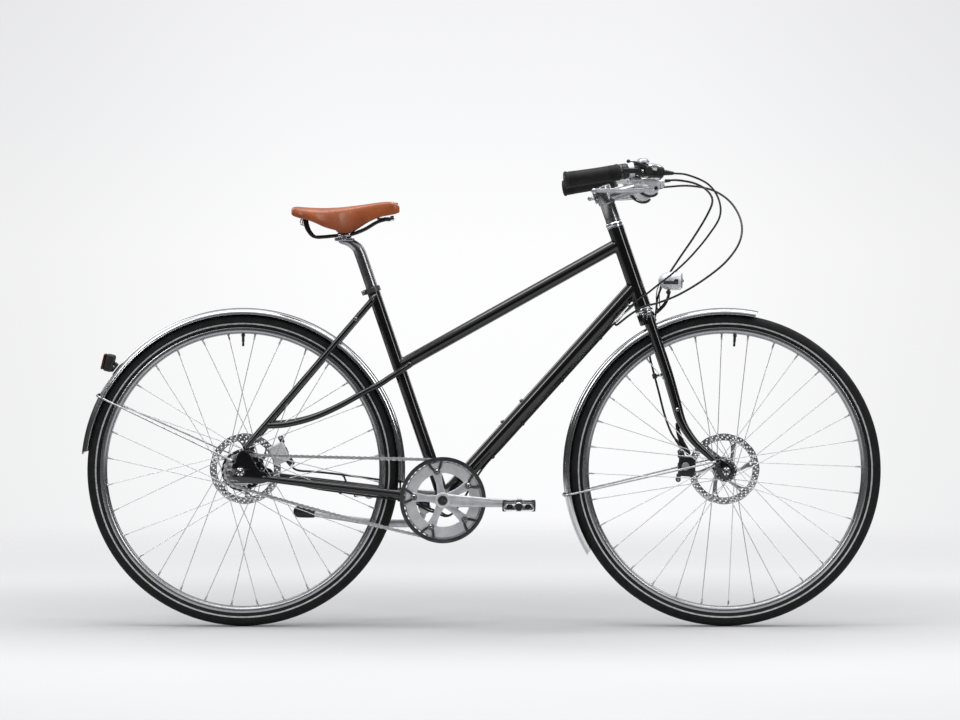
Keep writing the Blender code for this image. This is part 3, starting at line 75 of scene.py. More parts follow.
def basis(z, hint=(0, 1, 0)):
    """Two unit vectors square to z, the first as near to hint as it can be."""
    z = unit(z)
    x = vec(hint) - z * float(np.dot(hint, z))
    if np.linalg.norm(x) < 1e-6:
        x = np.cross(z, (0.3, 0.9, 0.1))
    x = unit(x)
    return x, np.cross(z, x)


def smooth(points, per=8, closed=False):
    """Catmull-Rom through the points."""
    pts = [vec(p) for p in points]
    n = len(pts)
    out = []
    for i in range(n if closed else n - 1):
        if closed:
            a, b, c, d = (pts[(i + k) % n] for k in (-1, 0, 1, 2))
        else:
            b, c = pts[i], pts[i + 1]
            a = pts[i - 1] if i else 2 * b - c
            d = pts[i + 2] if i + 2 < n else 2 * c - b
        for k in range(per):
            t = k / per
            out.append(0.5 * (2 * b + (c - a) * t + (2 * a - 5 * b + 4 * c - d) * t * t + (3 * b - a - 3 * c + d) * t ** 3))
    if not closed:
        out.append(pts[-1])
    return out


def lerp_path(a, b, n):
    return [vec(a) + (vec(b) - vec(a)) * i / n for i in range(n + 1)]


class Shape:
    def __init__(self):
        self.v, self.f = [], []

    def add(self, verts, faces):
        base = len(self.v)
        self.v += [tuple(float(c) for c in p) for p in verts]
        self.f += [tuple(i + base for i in f) for f in faces]
        return self

    def rings(self, rings, loop=False, caps=True, wrap=True):
        n, m = len(rings[0]), len(rings)
        faces = []
        for i in range(m if loop else m - 1):
            a, b = i * n, ((i + 1) % m) * n
            for j in range(n if wrap else n - 1):
                k = (j + 1) % n
                faces.append((a + j, a + k, b + k, b + j))
        if caps and not loop:
            faces.append(tuple(range(n))[::-1])
            faces.append(tuple((m - 1) * n + j for j in range(n)))
        return self.add([p for r in rings for p in r], faces)

    def tube(self, path, radius, sides=16, ends="bevel", edge=None, squash=None, hint=(0, 1, 0), loop=False):
        """A round tube along the path. squash gives two factors per point, along hint and across it."""
        pts = [vec(p) for p in path]
        n = len(pts)
        rad = list(radius) if hasattr(radius, "__len__") else [radius] * n
        if len(rad) != n:
            rad = list(np.interp(np.linspace(0, 1, n), np.linspace(0, 1, len(rad)), rad))
        tang = []
        for i in range(n):
            a, b = (pts[(i - 1) % n], pts[(i + 1) % n]) if loop else (pts[max(i - 1, 0)], pts[min(i + 1, n - 1)])
            tang.append(unit(b - a))
        u, _ = basis(tang[0], hint)
        frames = []
        for t in tang:
            u = unit(u - t * np.dot(u, t))
            frames.append((u, np.cross(t, u)))
        stations = [(pts[i], rad[i], i) for i in range(n)]
        if not loop and ends == "round":
            k = 5
            head = [(pts[0] - tang[0] * rad[0] * math.cos(a), rad[0] * math.sin(a), 0) for a in np.linspace(0.12, math.pi / 2, k)[:-1]]
            tail = [(pts[-1] + tang[-1] * rad[-1] * math.cos(a), rad[-1] * math.sin(a), n - 1) for a in np.linspace(0.12, math.pi / 2, k)[:-1]][::-1]
            stations = head + stations + tail
        elif not loop and ends == "bevel":
            e0 = edge if edge is not None else min(0.8, rad[0] * 0.25)
            e1 = edge if edge is not None else min(0.8, rad[-1] * 0.25)
            stations = ([(pts[0], rad[0] - e0, 0), (pts[0] + tang[0] * e0, rad[0], 0)] + stations[1:-1]
                        + [(pts[-1] - tang[-1] * e1, rad[-1], n - 1), (pts[-1], rad[-1] - e1, n - 1)])
        rings = []
        for p, r, i in stations:
            a_, b_ = frames[i]
            sa, sb = squash[i] if squash is not None else (1, 1)
            rings.append([p + a_ * (r * sa * math.cos(w)) + b_ * (r * sb * math.sin(w)) for w in np.linspace(0, 2 * math.pi, sides, endpoint=False)])
        return self.rings(rings, loop=loop, caps=ends != "open")

    def lathe(self, profile, origin=(0, 0, 0), axis=(0, 1, 0), steps=48, a0=0.0, a1=360.0, hint=(1, 0, 0), hexa=0.0, turn=0.0, closed=False):
        """profile of (radius, height along axis), turned about the axis. hexa > 0 makes six flats where radius is above it."""
        o, z = vec(origin), unit(axis)
        u, v = basis(z, hint)
        whole = abs(a1 - a0) >= 360
        prof = list(profile) + ([profile[0]] if closed else [])
        angles = np.radians(np.linspace(a0, a1, steps + (0 if whole else 1), endpoint=not whole) + turn)
        rows = []
        for a in angles:
            row = []
            for r, h in prof:
                rr = r
                if hexa and r >= hexa:
                    w = (math.degrees(a) % 60) - 30
                    rr = r * math.cos(math.radians(30)) / math.cos(math.radians(w))
                    rr = min(rr, r * 0.985)
                row.append(o + z * h + (u * math.cos(a) + v * math.sin(a)) * rr)
            rows.append(row)
        n, m = len(prof), len(rows)
        faces = [(i * n + j, ((i + 1) % m) * n + j, ((i + 1) % m) * n + j + 1, i * n + j + 1) for i in range(m if whole else m - 1) for j in range(n - 1)]
        if not whole and closed:
            faces += [tuple(range(n - 1)), tuple((m - 1) * n + j for j in range(n - 1))[::-1]]
        return self.add([p for r in rows for p in r], faces)

    def cyl(self, a, b, r, edge=0.5, sides=32, hexa=False, r2=None):
        a, b = vec(a), vec(b)
        length = float(np.linalg.norm(b - a))
        r2 = r if r2 is None else r2
        e = min(edge, length * 0.4, r * 0.5)
        prof = [(0, 0), (r - e, 0), (r, e), (r2, length - e), (r2 - e, length), (0, length)]
        if hexa:
            k = r / math.cos(math.radians(30))
            prof = [(0, 0), (r * 0.93, 0), (k, e), (k, length - e), (r * 0.93, length), (0, length)]
            return self.lathe(prof, a, b - a, steps=48, hexa=r * 0.95)
        return self.lathe(prof, a, b - a, steps=sides)

    def ball(self, c, r, scale=(1, 1, 1), rings=16, steps=24, axis=(0, 0, 1)):
        prof = [(r * math.sin(a), -r * math.cos(a)) for a in np.linspace(0, math.pi, rings)]
        tmp = Shape().lathe(prof, (0, 0, 0), axis, steps)
        return self.add([vec(c) + vec(p) * vec(scale) for p in tmp.v], tmp.f)

    def box(self, centre, size, z=(0, 0, 1), x=(1, 0, 0), edge=1.0, seg=3, taper=None):
        bm = bmesh.new()
        bmesh.ops.create_cube(bm, size=1.0)
        for w in bm.verts:
            w.co = Vector((w.co.x * size[0], w.co.y * size[1], w.co.z * size[2]))
            if taper and w.co.z > 0:
                w.co.x *= taper[0]
                w.co.y *= taper[1]
        if edge:
            bmesh.ops.bevel(bm, geom=list(bm.edges), offset=edge, segments=seg, profile=0.5, affect="EDGES")
        bm.verts.index_update()
        zz = unit(z)
        xx, yy = basis(zz, x)
        c = vec(centre)
        self.add([c + xx * w.co.x + yy * w.co.y + zz * w.co.z for w in bm.verts], [tuple(w.index for w in f.verts) for f in bm.faces])
        bm.free()
        return self

    def plate(self, loops, half, y=0.0, edge=0.25, place=None):
        """A flat plate from outlines (outer first, then holes), in X and Z, at y. place maps (a, b, depth) to a point instead."""
        curve = bpy.data.curves.new("plate_tmp", "CURVE")
        curve.dimensions, curve.fill_mode = "2D", "BOTH"
        curve.extrude, curve.bevel_depth, curve.bevel_resolution, curve.offset = max(half - edge, 0.01), edge, 1, -edge
        for loop in loops:
            sp = curve.splines.new("POLY")
            sp.points.add(len(loop) - 1)
            for pt, (a, b) in zip(sp.points, loop):
                pt.co = (a, b, 0, 1)
            sp.use_cyclic_u = True
        obj = bpy.data.objects.new("plate_tmp", curve)
        bpy.context.scene.collection.objects.link(obj)
        dg = bpy.context.evaluated_depsgraph_get()
        mesh = bpy.data.meshes.new_from_object(obj.evaluated_get(dg))
        co = np.zeros(len(mesh.vertices) * 3)
        mesh.vertices.foreach_get("co", co)
        co = co.reshape(-1, 3)
        if place is None:
            pts = [(a, y + d, b) for a, b, d in co]
        else:
            pts = [place(a, b, d) for a, b, d in co]
        self.add(pts, [tuple(p.vertices) for p in mesh.polygons])
        bpy.data.objects.remove(obj)
        bpy.data.curves.remove(curve)
        bpy.data.meshes.remove(mesh)
        return self

    def join(self, other, move=None):
        return self.add([move(vec(p)) for p in other.v] if move else other.v, other.f)

    def mirror_y(self):
        return self.join(Shape().add(self.v, self.f), lambda p: p * np.array([1, -1, 1]))


def turned(points, origin, axis, degrees):
    """Points turned about an axis."""
    o, k = vec(origin), unit(axis)
    a = math.radians(degrees)
    out = []
    for p in points:
        d = vec(p) - o
        out.append(o + d * math.cos(a) + np.cross(k, d) * math.sin(a) + k * np.dot(k, d) * (1 - math.cos(a)))
    return out


def circle(c, r, n=32, phase=0.0):
    return [(c[0] + r * math.cos(a + phase), c[1] + r * math.sin(a + phase)) for a in np.linspace(0, 2 * math.pi, n, endpoint=False)]


MADE = []


def piece(name, shape, mat, body=None, nodes=(), angle=38, weld=1e-6):
    mesh = bpy.data.meshes.new(name)
    pts = (np.array(shape.v) - np.array([ORIGIN_X, 0, 0])) / 1000
    bm = bmesh.new()
    verts = [bm.verts.new(p) for p in pts]
    for f in shape.f:
        ids = [i for k, i in enumerate(f) if i not in f[:k]]
        if len(ids) > 2:
            try:
                bm.faces.new([verts[i] for i in ids])
            except ValueError:
                pass
    bmesh.ops.remove_doubles(bm, verts=bm.verts, dist=weld)
    bmesh.ops.dissolve_degenerate(bm, edges=bm.edges, dist=weld)
    loose = [w for w in bm.verts if not w.link_faces]
    bmesh.ops.delete(bm, geom=loose, context="VERTS")
    bmesh.ops.recalc_face_normals(bm, faces=bm.faces)
    bm.to_mesh(mesh)
    bm.free()
    mesh.shade_smooth()
    mesh.set_sharp_from_angle(angle=math.radians(angle))
    mesh.materials.append(mat)
    obj = bpy.data.objects.new(name, mesh)
    bpy.context.scene.collection.objects.link(obj)
    if body:
        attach(obj, body)
    if nodes:
        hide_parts(*nodes)
    MADE.append(obj)
    return obj


# ------------------------------------------------------------------ materials
def material(name, base, tint, rough, metal=0.0, scale=45.0, contrast=(0.35, 0.65), rough_var=0.06, fine=700.0, bump=0.02,
             bump_mm=0.1, stretch=(1, 1, 1), coat=0.0, coat_rough=0.03, spec=0.5, wear=None, wear_at=(0.53, 0.58), grain="noise", sheen=0.0,
             speck=0.0, transmission=0.0, ior=1.45, alpha=1.0):
    """Colour wanders between base and tint; fine noise moves roughness and bump; wear brightens convex edges."""
    m = bpy.data.materials.new(name)
    m.use_nodes = True
    nt = m.node_tree
    n, l = nt.nodes, nt.links
    for node in list(n):
        n.remove(node)
    out = n.new("ShaderNodeOutputMaterial")
    sh = n.new("ShaderNodeBsdfPrincipled")
    l.new(sh.outputs[0], out.inputs[0])
    coord = n.new("ShaderNodeTexCoord")
    mapping = n.new("ShaderNodeMapping")
    mapping.inputs["Scale"].default_value = stretch
    l.new(coord.outputs["Object"], mapping.inputs[0])
    broad = n.new("ShaderNodeTexNoise")
    broad.inputs["Scale"].default_value, broad.inputs["Detail"].default_value = scale, 6
    l.new(mapping.outputs[0], broad.inputs["Vector"])
    ramp = n.new("ShaderNodeValToRGB")
    ramp.color_ramp.elements[0].position, ramp.color_ramp.elements[1].position = contrast
    ramp.color_ramp.elements[0].color, ramp.color_ramp.elements[1].color = (*base, 1), (*tint, 1)
    l.new(broad.outputs["Fac"], ramp.inputs[0])
    colour = ramp.outputs[0]
    small = n.new("ShaderNodeTexNoise")
    small.inputs["Scale"].default_value, small.inputs["Detail"].default_value = fine, 4
    l.new(mapping.outputs[0], small.inputs["Vector"])
    if wear:
        geo = n.new("ShaderNodeNewGeometry")
        mr = n.new("ShaderNodeMapRange")
        mr.inputs["From Min"].default_value, mr.inputs["From Max"].default_value = wear_at
        l.new(geo.outputs["Pointiness"], mr.inputs["Value"])
        mul = n.new("ShaderNodeMath")
        mul.operation = "MULTIPLY"
        l.new(mr.outputs[0], mul.inputs[0])
        l.new(small.outputs["Fac"], mul.inputs[1])
        mix = n.new("ShaderNodeMix")
        mix.data_type = "RGBA"
        l.new(mul.outputs[0], mix.inputs[0])
        l.new(colour, mix.inputs[6])
        mix.inputs[7].default_value = (*wear, 1)
        colour = mix.outputs[2]
    l.new(colour, sh.inputs["Base Color"])
    rr = n.new("ShaderNodeMapRange")
    rr.inputs["From Min"].default_value, rr.inputs["From Max"].default_value = 0.25, 0.75
    rr.inputs["To Min"].default_value, rr.inputs["To Max"].default_value = max(rough - rough_var, 0.02), min(rough + rough_var, 1)
    l.new(small.outputs["Fac"], rr.inputs["Value"])
    l.new(rr.outputs[0], sh.inputs["Roughness"])
    height = small.outputs["Fac"]
    if grain == "leather":
        vor = n.new("ShaderNodeTexVoronoi")
        vor.feature = "SMOOTH_F1"
        vor.inputs["Scale"].default_value = fine
        l.new(mapping.outputs[0], vor.inputs["Vector"])
        add = n.new("ShaderNodeMath")
        add.operation = "ADD"
        l.new(vor.outputs["Distance"], add.inputs[0])
        l.new(broad.outputs["Fac"], add.inputs[1])
        height = add.outputs[0]
    bp = n.new("ShaderNodeBump")
    bp.inputs["Strength"].default_value = bump
    bp.inputs["Distance"].default_value = bump_mm / 1000
    l.new(height, bp.inputs["Height"])
    l.new(bp.outputs[0], sh.inputs["Normal"])
    sh.inputs["Metallic"].default_value = metal
    sh.inputs["Coat Weight"].default_value = coat
    sh.inputs["Coat Roughness"].default_value = coat_rough
    sh.inputs["Specular IOR Level"].default_value = spec
    sh.inputs["IOR"].default_value = ior
    sh.inputs["Sheen Weight"].default_value = sheen
    sh.inputs["Transmission Weight"].default_value = transmission
    sh.inputs["Alpha"].default_value = alpha
    m.diffuse_color = (*base, 1)
    return m


M = {
    "paint": material("frame_paint", (0.0035, 0.0035, 0.004), (0.006, 0.006, 0.0068), 0.17, scale=20, rough_var=0.03, fine=420, bump=0.02,
                      bump_mm=0.05, coat=1.0, coat_rough=0.02, spec=0.2, wear=(0.02, 0.02, 0.02)),
    "polished": material("polished_aluminium", (0.70, 0.71, 0.73), (0.84, 0.85, 0.87), 0.17, 1.0, scale=70, rough_var=0.07, fine=900, bump=0.06,
                         stretch=(1, 1, 3), bump_mm=0.05, wear=(0.95, 0.95, 0.96)),
    "cast_silver": material("cast_silver", (0.66, 0.67, 0.69), (0.80, 0.81, 0.83), 0.44, 0.45, scale=60, rough_var=0.07, fine=1300, bump=0.15,
                            bump_mm=0.05, wear=(0.92, 0.92, 0.93)),
    "pale_satin": material("pale_satin", (0.50, 0.51, 0.53), (0.64, 0.65, 0.67), 0.40, 0.6, scale=60, rough_var=0.07, fine=1200, bump=0.12,
                           bump_mm=0.05, wear=(0.85, 0.85, 0.86)),
    "satin": material("satin_aluminium", (0.40, 0.41, 0.43), (0.52, 0.53, 0.55), 0.36, 1.0, scale=60, rough_var=0.07, fine=1200, bump=0.12,
                      bump_mm=0.06, wear=(0.75, 0.75, 0.77)),
    "chrome": material("chrome_plate", (0.80, 0.81, 0.83), (0.90, 0.91, 0.92), 0.07, 1.0, scale=40, rough_var=0.03, fine=500, bump=0.03,
                       bump_mm=0.03, wear=(0.97, 0.97, 0.98)),
    "steel": material("brushed_steel", (0.42, 0.42, 0.43), (0.60, 0.60, 0.61), 0.27, 1.0, scale=130, rough_var=0.09, fine=1500, bump=0.15,
                      bump_mm=0.05, wear=(0.8, 0.8, 0.8)),
    "spoke": material("spoke_steel", (0.66, 0.67, 0.68), (0.84, 0.85, 0.86), 0.28, 0.65, scale=200, rough_var=0.06, fine=1500, bump=0.05,
                      bump_mm=0.03),
    "gunmetal": material("gunmetal_anodised", (0.045, 0.046, 0.05), (0.07, 0.071, 0.076), 0.34, 0.75, scale=80, rough_var=0.07, fine=1300,
                         bump=0.12, bump_mm=0.05, wear=(0.3, 0.3, 0.31)),
    "black_metal": material("black_anodised", (0.008, 0.008, 0.009), (0.016, 0.016, 0.017), 0.34, 0.35, scale=90, rough_var=0.08, fine=1200,
                            bump=0.15, bump_mm=0.06, wear=(0.16, 0.16, 0.165)),
    "black_plastic": material("moulded_black_plastic", (0.009, 0.009, 0.0095), (0.016, 0.016, 0.017), 0.46, scale=120, rough_var=0.08,
                              fine=1700, bump=0.35, bump_mm=0.08, wear=(0.05, 0.05, 0.05)),
    "grey_plastic": material("moulded_grey_plastic", (0.045, 0.046, 0.05), (0.07, 0.071, 0.075), 0.42, scale=110, rough_var=0.08,
                             fine=1600, bump=0.3, bump_mm=0.07, wear=(0.15, 0.15, 0.15)),
    "hose": material("cable_jacket", (0.007, 0.007, 0.0075), (0.013, 0.013, 0.014), 0.36, scale=200, rough_var=0.08, fine=1500, bump=0.2,
                     bump_mm=0.05),
    "tyre": material("tyre_rubber", (0.0055, 0.0055, 0.0058), (0.012, 0.0118, 0.0115), 0.74, scale=55, rough_var=0.1, fine=1300, bump=0.5,
                     bump_mm=0.15, spec=0.28, wear=(0.03, 0.0295, 0.029)),
    "stripe": material("reflective_stripe", (0.33, 0.34, 0.35), (0.50, 0.51, 0.53), 0.4, scale=150, rough_var=0.1, fine=2200, bump=0.4,
                       bump_mm=0.05),
    "grip": material("grip_rubber", (0.006, 0.006, 0.0063), (0.012, 0.012, 0.012), 0.6, scale=90, rough_var=0.1, fine=1500, bump=0.5,
                     bump_mm=0.12, spec=0.35, wear=(0.03, 0.03, 0.03)),
    "rim": material("rim_aluminium", (0.40, 0.405, 0.415), (0.46, 0.465, 0.475), 0.25, 1.0, scale=12, rough_var=0.04, fine=1300, bump=0.1,
                    bump_mm=0.05, wear=(0.7, 0.7, 0.72)),
    "guard": material("mudguard_paint", (0.006, 0.006, 0.0065), (0.012, 0.012, 0.0125), 0.2, 0.0, scale=30, rough_var=0.05, fine=500,
                      bump=0.08, bump_mm=0.05, coat=0.9, coat_rough=0.04, wear=(0.05, 0.05, 0.05)),
    "post": material("post_anodised", (0.26, 0.26, 0.27), (0.36, 0.36, 0.37), 0.24, 1.0, scale=60, rough_var=0.06, fine=1200, bump=0.1,
                     bump_mm=0.05, stretch=(1, 1, 0.3), wear=(0.6, 0.6, 0.62)),
    "guard_silver": material("mudguard_silver", (0.64, 0.65, 0.66), (0.72, 0.73, 0.74), 0.16, 1.0, scale=20, rough_var=0.06, fine=900,
                             bump=0.08, bump_mm=0.05, wear=(0.9, 0.9, 0.9)),
    "chain": material("chain_steel", (0.46, 0.46, 0.465), (0.70, 0.70, 0.71), 0.32, 0.85, scale=350, rough_var=0.1, fine=2000, bump=0.2,
                      bump_mm=0.05, wear=(0.7, 0.7, 0.7)),
    "glass": material("lamp_glass", (0.75, 0.78, 0.80), (0.85, 0.87, 0.88), 0.12, 0.0, scale=60, rough_var=0.05, fine=300, bump=0.3,
                      bump_mm=0.3, transmission=0.75, ior=1.5),
    "red_lens": material("rear_lens", (0.05, 0.004, 0.004), (0.09, 0.008, 0.008), 0.16, 0.0, scale=80, rough_var=0.05, fine=400, bump=0.3,
                         bump_mm=0.2, coat=0.8, coat_rough=0.05),
    "pale_mark": material("indicator_window", (0.62, 0.64, 0.66), (0.75, 0.76, 0.78), 0.3, 0.0, scale=300, rough_var=0.08, fine=1600,
                          bump=0.1, bump_mm=0.04),
}


def leather_material():
    """Vegetable-tanned hide: honey brown on top, darker and redder towards the bottom of the flap and under the nose,
    with fine pores.
    """
    m = material("honey_leather", (0.29, 0.066, 0.020), (0.44, 0.120, 0.036), 0.36, scale=26, contrast=(0.3, 0.72), rough_var=0.1, fine=620,
                 bump=0.3, bump_mm=0.35, coat=0.25, coat_rough=0.22, spec=0.45, grain="leather", sheen=0.05)
    nt = m.node_tree
    n, l = nt.nodes, nt.links
    sh = next(k for k in n if k.type == "BSDF_PRINCIPLED")
    colour = sh.inputs["Base Color"].links[0].from_socket
    vor = n.new("ShaderNodeTexVoronoi")
    vor.inputs["Scale"].default_value = 900
    coord = next(k for k in n if k.type == "TEX_COORD")
    l.new(coord.outputs["Object"], vor.inputs["Vector"])
    mr = n.new("ShaderNodeMapRange")
    mr.inputs["From Min"].default_value, mr.inputs["From Max"].default_value = 0.0, 0.35
    mr.inputs["To Min"].default_value, mr.inputs["To Max"].default_value = 0.72, 1.0
    l.new(vor.outputs["Distance"], mr.inputs["Value"])
    sep = n.new("ShaderNodeSeparateXYZ")
    l.new(coord.outputs["Object"], sep.inputs[0])
    # darker towards the lower rim of the flap and the nose's underside
    low = n.new("ShaderNodeMapRange")
    low.inputs["From Min"].default_value, low.inputs["From Max"].default_value = 0.884, 0.925
    low.inputs["To Min"].default_value, low.inputs["To Max"].default_value = 0.55, 1.0
    l.new(sep.outputs["Z"], low.inputs["Value"])
    mul = n.new("ShaderNodeMath")
    mul.operation = "MULTIPLY"
    l.new(mr.outputs[0], mul.inputs[0])
    l.new(low.outputs[0], mul.inputs[1])
    mix = n.new("ShaderNodeMix")
    mix.data_type = "RGBA"
    l.new(mul.outputs[0], mix.inputs[0])
    mix.inputs[6].default_value = (0.12, 0.022, 0.008, 1)
    l.new(colour, mix.inputs[7])
    l.new(mix.outputs[2], sh.inputs["Base Color"])
    return m


M["leather"] = leather_material()


def chaikin(points, rounds=2):
    pts = [vec(p) for p in points]
    for _ in range(rounds):
        new = []
        for i, a in enumerate(pts):
            b = pts[(i + 1) % len(pts)]
            new += [a * 0.75 + b * 0.25, a * 0.25 + b * 0.75]
        pts = new
    return pts


def fillet(shape, a_at, a_dir, ra, b_at, b_dir, rb, w=5.0, sides=56, steps=6):
    """A smooth brazed joint where tube B leaves tube A."""
    a_at, a_dir, b_at, b_dir = vec(a_at), unit(a_dir), vec(b_at), unit(b_dir)
    u, v = basis(b_dir, a_dir)
    rings = []
    for t in np.linspace(0, 2 * math.pi, sides, endpoint=False):
        n = u * math.cos(t) + v * math.sin(t)
        p0 = b_at + n * rb
        d = p0 - a_at
        d = d - a_dir * np.dot(d, a_dir)
        b = b_dir - a_dir * np.dot(b_dir, a_dir)
        qa, qb, qc = np.dot(b, b), 2 * np.dot(d, b), np.dot(d, d) - ra * ra
        disc = qb * qb - 4 * qa * qc
        s = (-qb + math.sqrt(disc)) / (2 * qa) if disc > 0 else -qb / (2 * qa)
        hit = p0 + b_dir * s
        pb = hit + b_dir * w - n * 0.15
        rad = hit - a_at
        rad = unit(rad - a_dir * np.dot(rad, a_dir))
        m = n - rad * np.dot(n, rad)
        m = unit(m) if np.linalg.norm(m) > 1e-3 else b_dir * 0
        pa = hit + m * w
        rp = pa - a_at
        along = a_dir * np.dot(rp, a_dir)
        pa = a_at + along + unit(rp - along) * (ra - 0.15)
        row = [pa * (1 - k) ** 2 + hit * 2 * k * (1 - k) + pb * k * k for k in np.linspace(0, 1, steps)]
        row.append(hit - n * 1.2 - rad * 1.2)
        rings.append(row)
    return shape.rings(rings, loop=True, caps=False)


def bolt(shape, at, direction, r=3.0, high=3.0, socket=True):
    """A cap screw: rounded head with a hexagon socket."""
    k = r * 0.52
    prof = [(0, 0), (r, 0), (r, high - 0.5), (r - 0.5, high)]
    if socket:
        prof += [(k + 0.2, high), (k, high - 0.3), (k, high * 0.35), (0, high * 0.35)]
    else:
        prof += [(r * 0.5, high + 0.25), (0, high + 0.35)]
    return shape.lathe(prof, at, direction, steps=24)


# ------------------------------------------------------------------ the frame
TOP_FRONT, TOP_REAR = vec((845.9, 0, 857.8)), vec((349, 0, 580.3))
DOWN_TOP = vec((879.3, 0, 761))
STAY_TOP, STAY_END = vec((287.4, 22, 726.2)), vec((11.5, 70, 402.4))
SIDE_PATH = [(374, 21.8, 585), (349, 21.8, 568.5), (331, 25, 557.5), (306.4, 33, 541.4), (275, 39.5, 525.5), (219, 49.5, 494.4),
             (160.8, 57, 468.6), (104.8, 61.2, 454), (58, 62.6, 450.2)]
CHAIN_STAY = [(446, 23, 285.4), (420, 26.5, 288.6), (372, 33.5, 294.4), (320, 38.5, 300.7), (200, 52, 315.3), (92, 63.5, 328.8),
              (52, 69, 334.2)]
head, seat, down = Shape(), Shape(), Shape()
head.tube(lerp_path(on_head(-191), on_head(0), 6), [18.6, 18, 18, 18, 18, 18, 18.6], 72, edge=0.8)
TOP_DIR = unit(TOP_FRONT - TOP_REAR)
mouth = [TOP_REAR + TOP_DIR * d for d in (1.5, 1.7, 1.9, 2.1, 2.3, 2.5, 2.8)]
head.tube(mouth + lerp_path(TOP_REAR + TOP_DIR * 20, TOP_FRONT, 6), [0.6, 3.5, 6.5, 9.5, 11.8, 13.4] + [14.3] * 8, 64, ends="flat")
fillet(head, on_head(0), STEER_UP, 18, TOP_FRONT, TOP_REAR - TOP_FRONT, 14.3)
fillet(head, SEAT_TOP, SEAT_UP, 14.3, TOP_REAR, TOP_FRONT - TOP_REAR, 14.25, w=4)
# the rear mouth follows the seat tube's wall, so that the post slides past it
ahead = unit(TOP_DIR - SEAT_UP * np.dot(TOP_DIR, SEAT_UP))
for i, p in enumerate(head.v):
    if p[0] < 420 and abs(p[1]) < 13.75:
        reach = math.sqrt(13.75 ** 2 - p[1] ** 2) - float(np.dot(vec(p) - SEAT_TOP, ahead))
        if reach > 0:
            head.v[i] = tuple(vec(p) + TOP_DIR * (reach / float(np.dot(TOP_DIR, ahead))))
piece("head_tube", head, M["paint"], "frame", ["head_and_top_tube"])
down.tube(lerp_path(BB, DOWN_TOP, 8), 17.45, 72, ends="flat")
down.lathe([(0, -34), (19.2, -34), (20, -33.2), (20, 33.2), (19.2, 34), (0, 34)], BB, Y_AXIS, 72)
fillet(down, on_head(0), STEER_UP, 18, DOWN_TOP, BB - DOWN_TOP, 17.45)
fillet(down, BB, Y_AXIS, 20, BB, DOWN_TOP - BB, 17.45, w=5)
DOWN_DIR = unit(DOWN_TOP - BB)
DOWN_NORM = vec((DOWN_DIR[2], 0, -DOWN_DIR[0])) * -1
for bx, bz in ((624, 503.3), (582.6, 455.4)):
    foot = vec((bx, 0, bz))
    foot = BB + DOWN_DIR * np.dot(foot - BB, DOWN_DIR)
    top = foot + DOWN_NORM * 19.65
    down.cyl(foot + DOWN_NORM * 15, top, 4.6, 0.4, 24)
piece("down_tube_smooth", down, M["paint"], "frame", ["down_tube"])
screws = Shape()
for bx, bz in ((624, 503.3), (582.6, 455.4)):
    foot = BB + DOWN_DIR * np.dot(vec((bx, 0, bz)) - BB, DOWN_DIR)
    bolt(screws, foot + DOWN_NORM * 19.5, DOWN_NORM, 4.0, 2.2)
seat.tube(lerp_path(BB, SEAT_TOP, 8), 14.3, 64, ends="flat")
fillet(seat, BB, Y_AXIS, 20, BB, SEAT_TOP - BB, 14.3, w=5)
piece("seat_tube_smooth", seat, M["paint"], "frame", ["seat_tube"])

stays = Shape()
stay_dir = unit(STAY_END - STAY_TOP)
path = lerp_path(STAY_END, STAY_TOP - stay_dir * -14, 12)
path += smooth([STAY_TOP + stay_dir * 6, STAY_TOP, (292.5, 17.5, 735), (296, 9, 741)], 5)[1:]
one = Shape().tube(path, [6.2] + [7.0] * (len(path) - 4) + [7.0, 6.6, 6.0], 32, ends="round")
boss_t = (726.2 - 687) / (726.2 - 402.4)
boss = STAY_TOP + (STAY_END - STAY_TOP) * boss_t
one.cyl(boss + Y_AXIS * 3, boss + Y_AXIS * 8.6, 4.6, 0.5, 24)
stays.join(one).join(one, lambda p: p * np.array([1, -1, 1]))
k = 0.0
while np.linalg.norm((STAY_TOP + (STAY_END - STAY_TOP) * k - REAR) * np.array([1, 0, 1])) > 372:
    k += 0.002
bridge = STAY_TOP + (STAY_END - STAY_TOP) * k
stays.tube(lerp_path(bridge * np.array([1, -1, 1]), bridge, 6), 5.5, 28, ends="flat")
piece("seat_stays_smooth", stays, M["paint"], "frame", ["seat_stays"])
bolt(screws, boss + Y_AXIS * 8.2, Y_AXIS, 3.6, 2.4)
bolt(screws, boss * np.array([1, -1, 1]) - Y_AXIS * 8.2, -Y_AXIS, 3.6, 2.4)

side = Shape()
line = smooth(SIDE_PATH, 8)
side.tube(line, 6.8, 28, ends="round").mirror_y()
side.tube([(331, -24, 557.5), (331, 0, 557.5), (331, 24, 557.5)], 4.8, 24, ends="flat")
piece("side_stays_smooth", side, M["paint"], "frame", ["side_stays"])

low = Shape()
line = smooth(CHAIN_STAY, 8)
one = Shape().tube(line, [10, 10, 9.8, 9.6, 8.8, 7.8, 7.0], 36, ends="round")
outline = chaikin([(62, 322), (62, 346), (40, 352), (30, 372), (20, 388), (13, 397.5), (-1, 396), (-9, 380), (-17, 366), (-19.8, 352.6),
                   (4, 354.4), (6.2, 352), (6.2, 346), (4, 343.6), (-18.8, 342.2), (-18, 336), (-6, 328), (20, 323)], 2)
one.plate([outline], 3.0, 70.8, 0.6)
one.lathe([(0, -2.6), (4.6, -2.6), (5, -2.2), (5, 4.0), (4.4, 4.5), (0, 4.5)], (-14, 71.3, 372), Y_AXIS, 24)
one.ball((14, 70.6, 399), 7.2, (1, 0.9, 1.2), 12, 20)
low.join(one).join(one, lambda p: p * np.array([1, -1, 1]))
low.tube([(388, -30, 292.4), (388, 0, 292.4), (388, 30, 292.4)], 5.5, 24, ends="flat")
low.box((404, 27, 277.5), (26, 11, 30), edge=2.5)
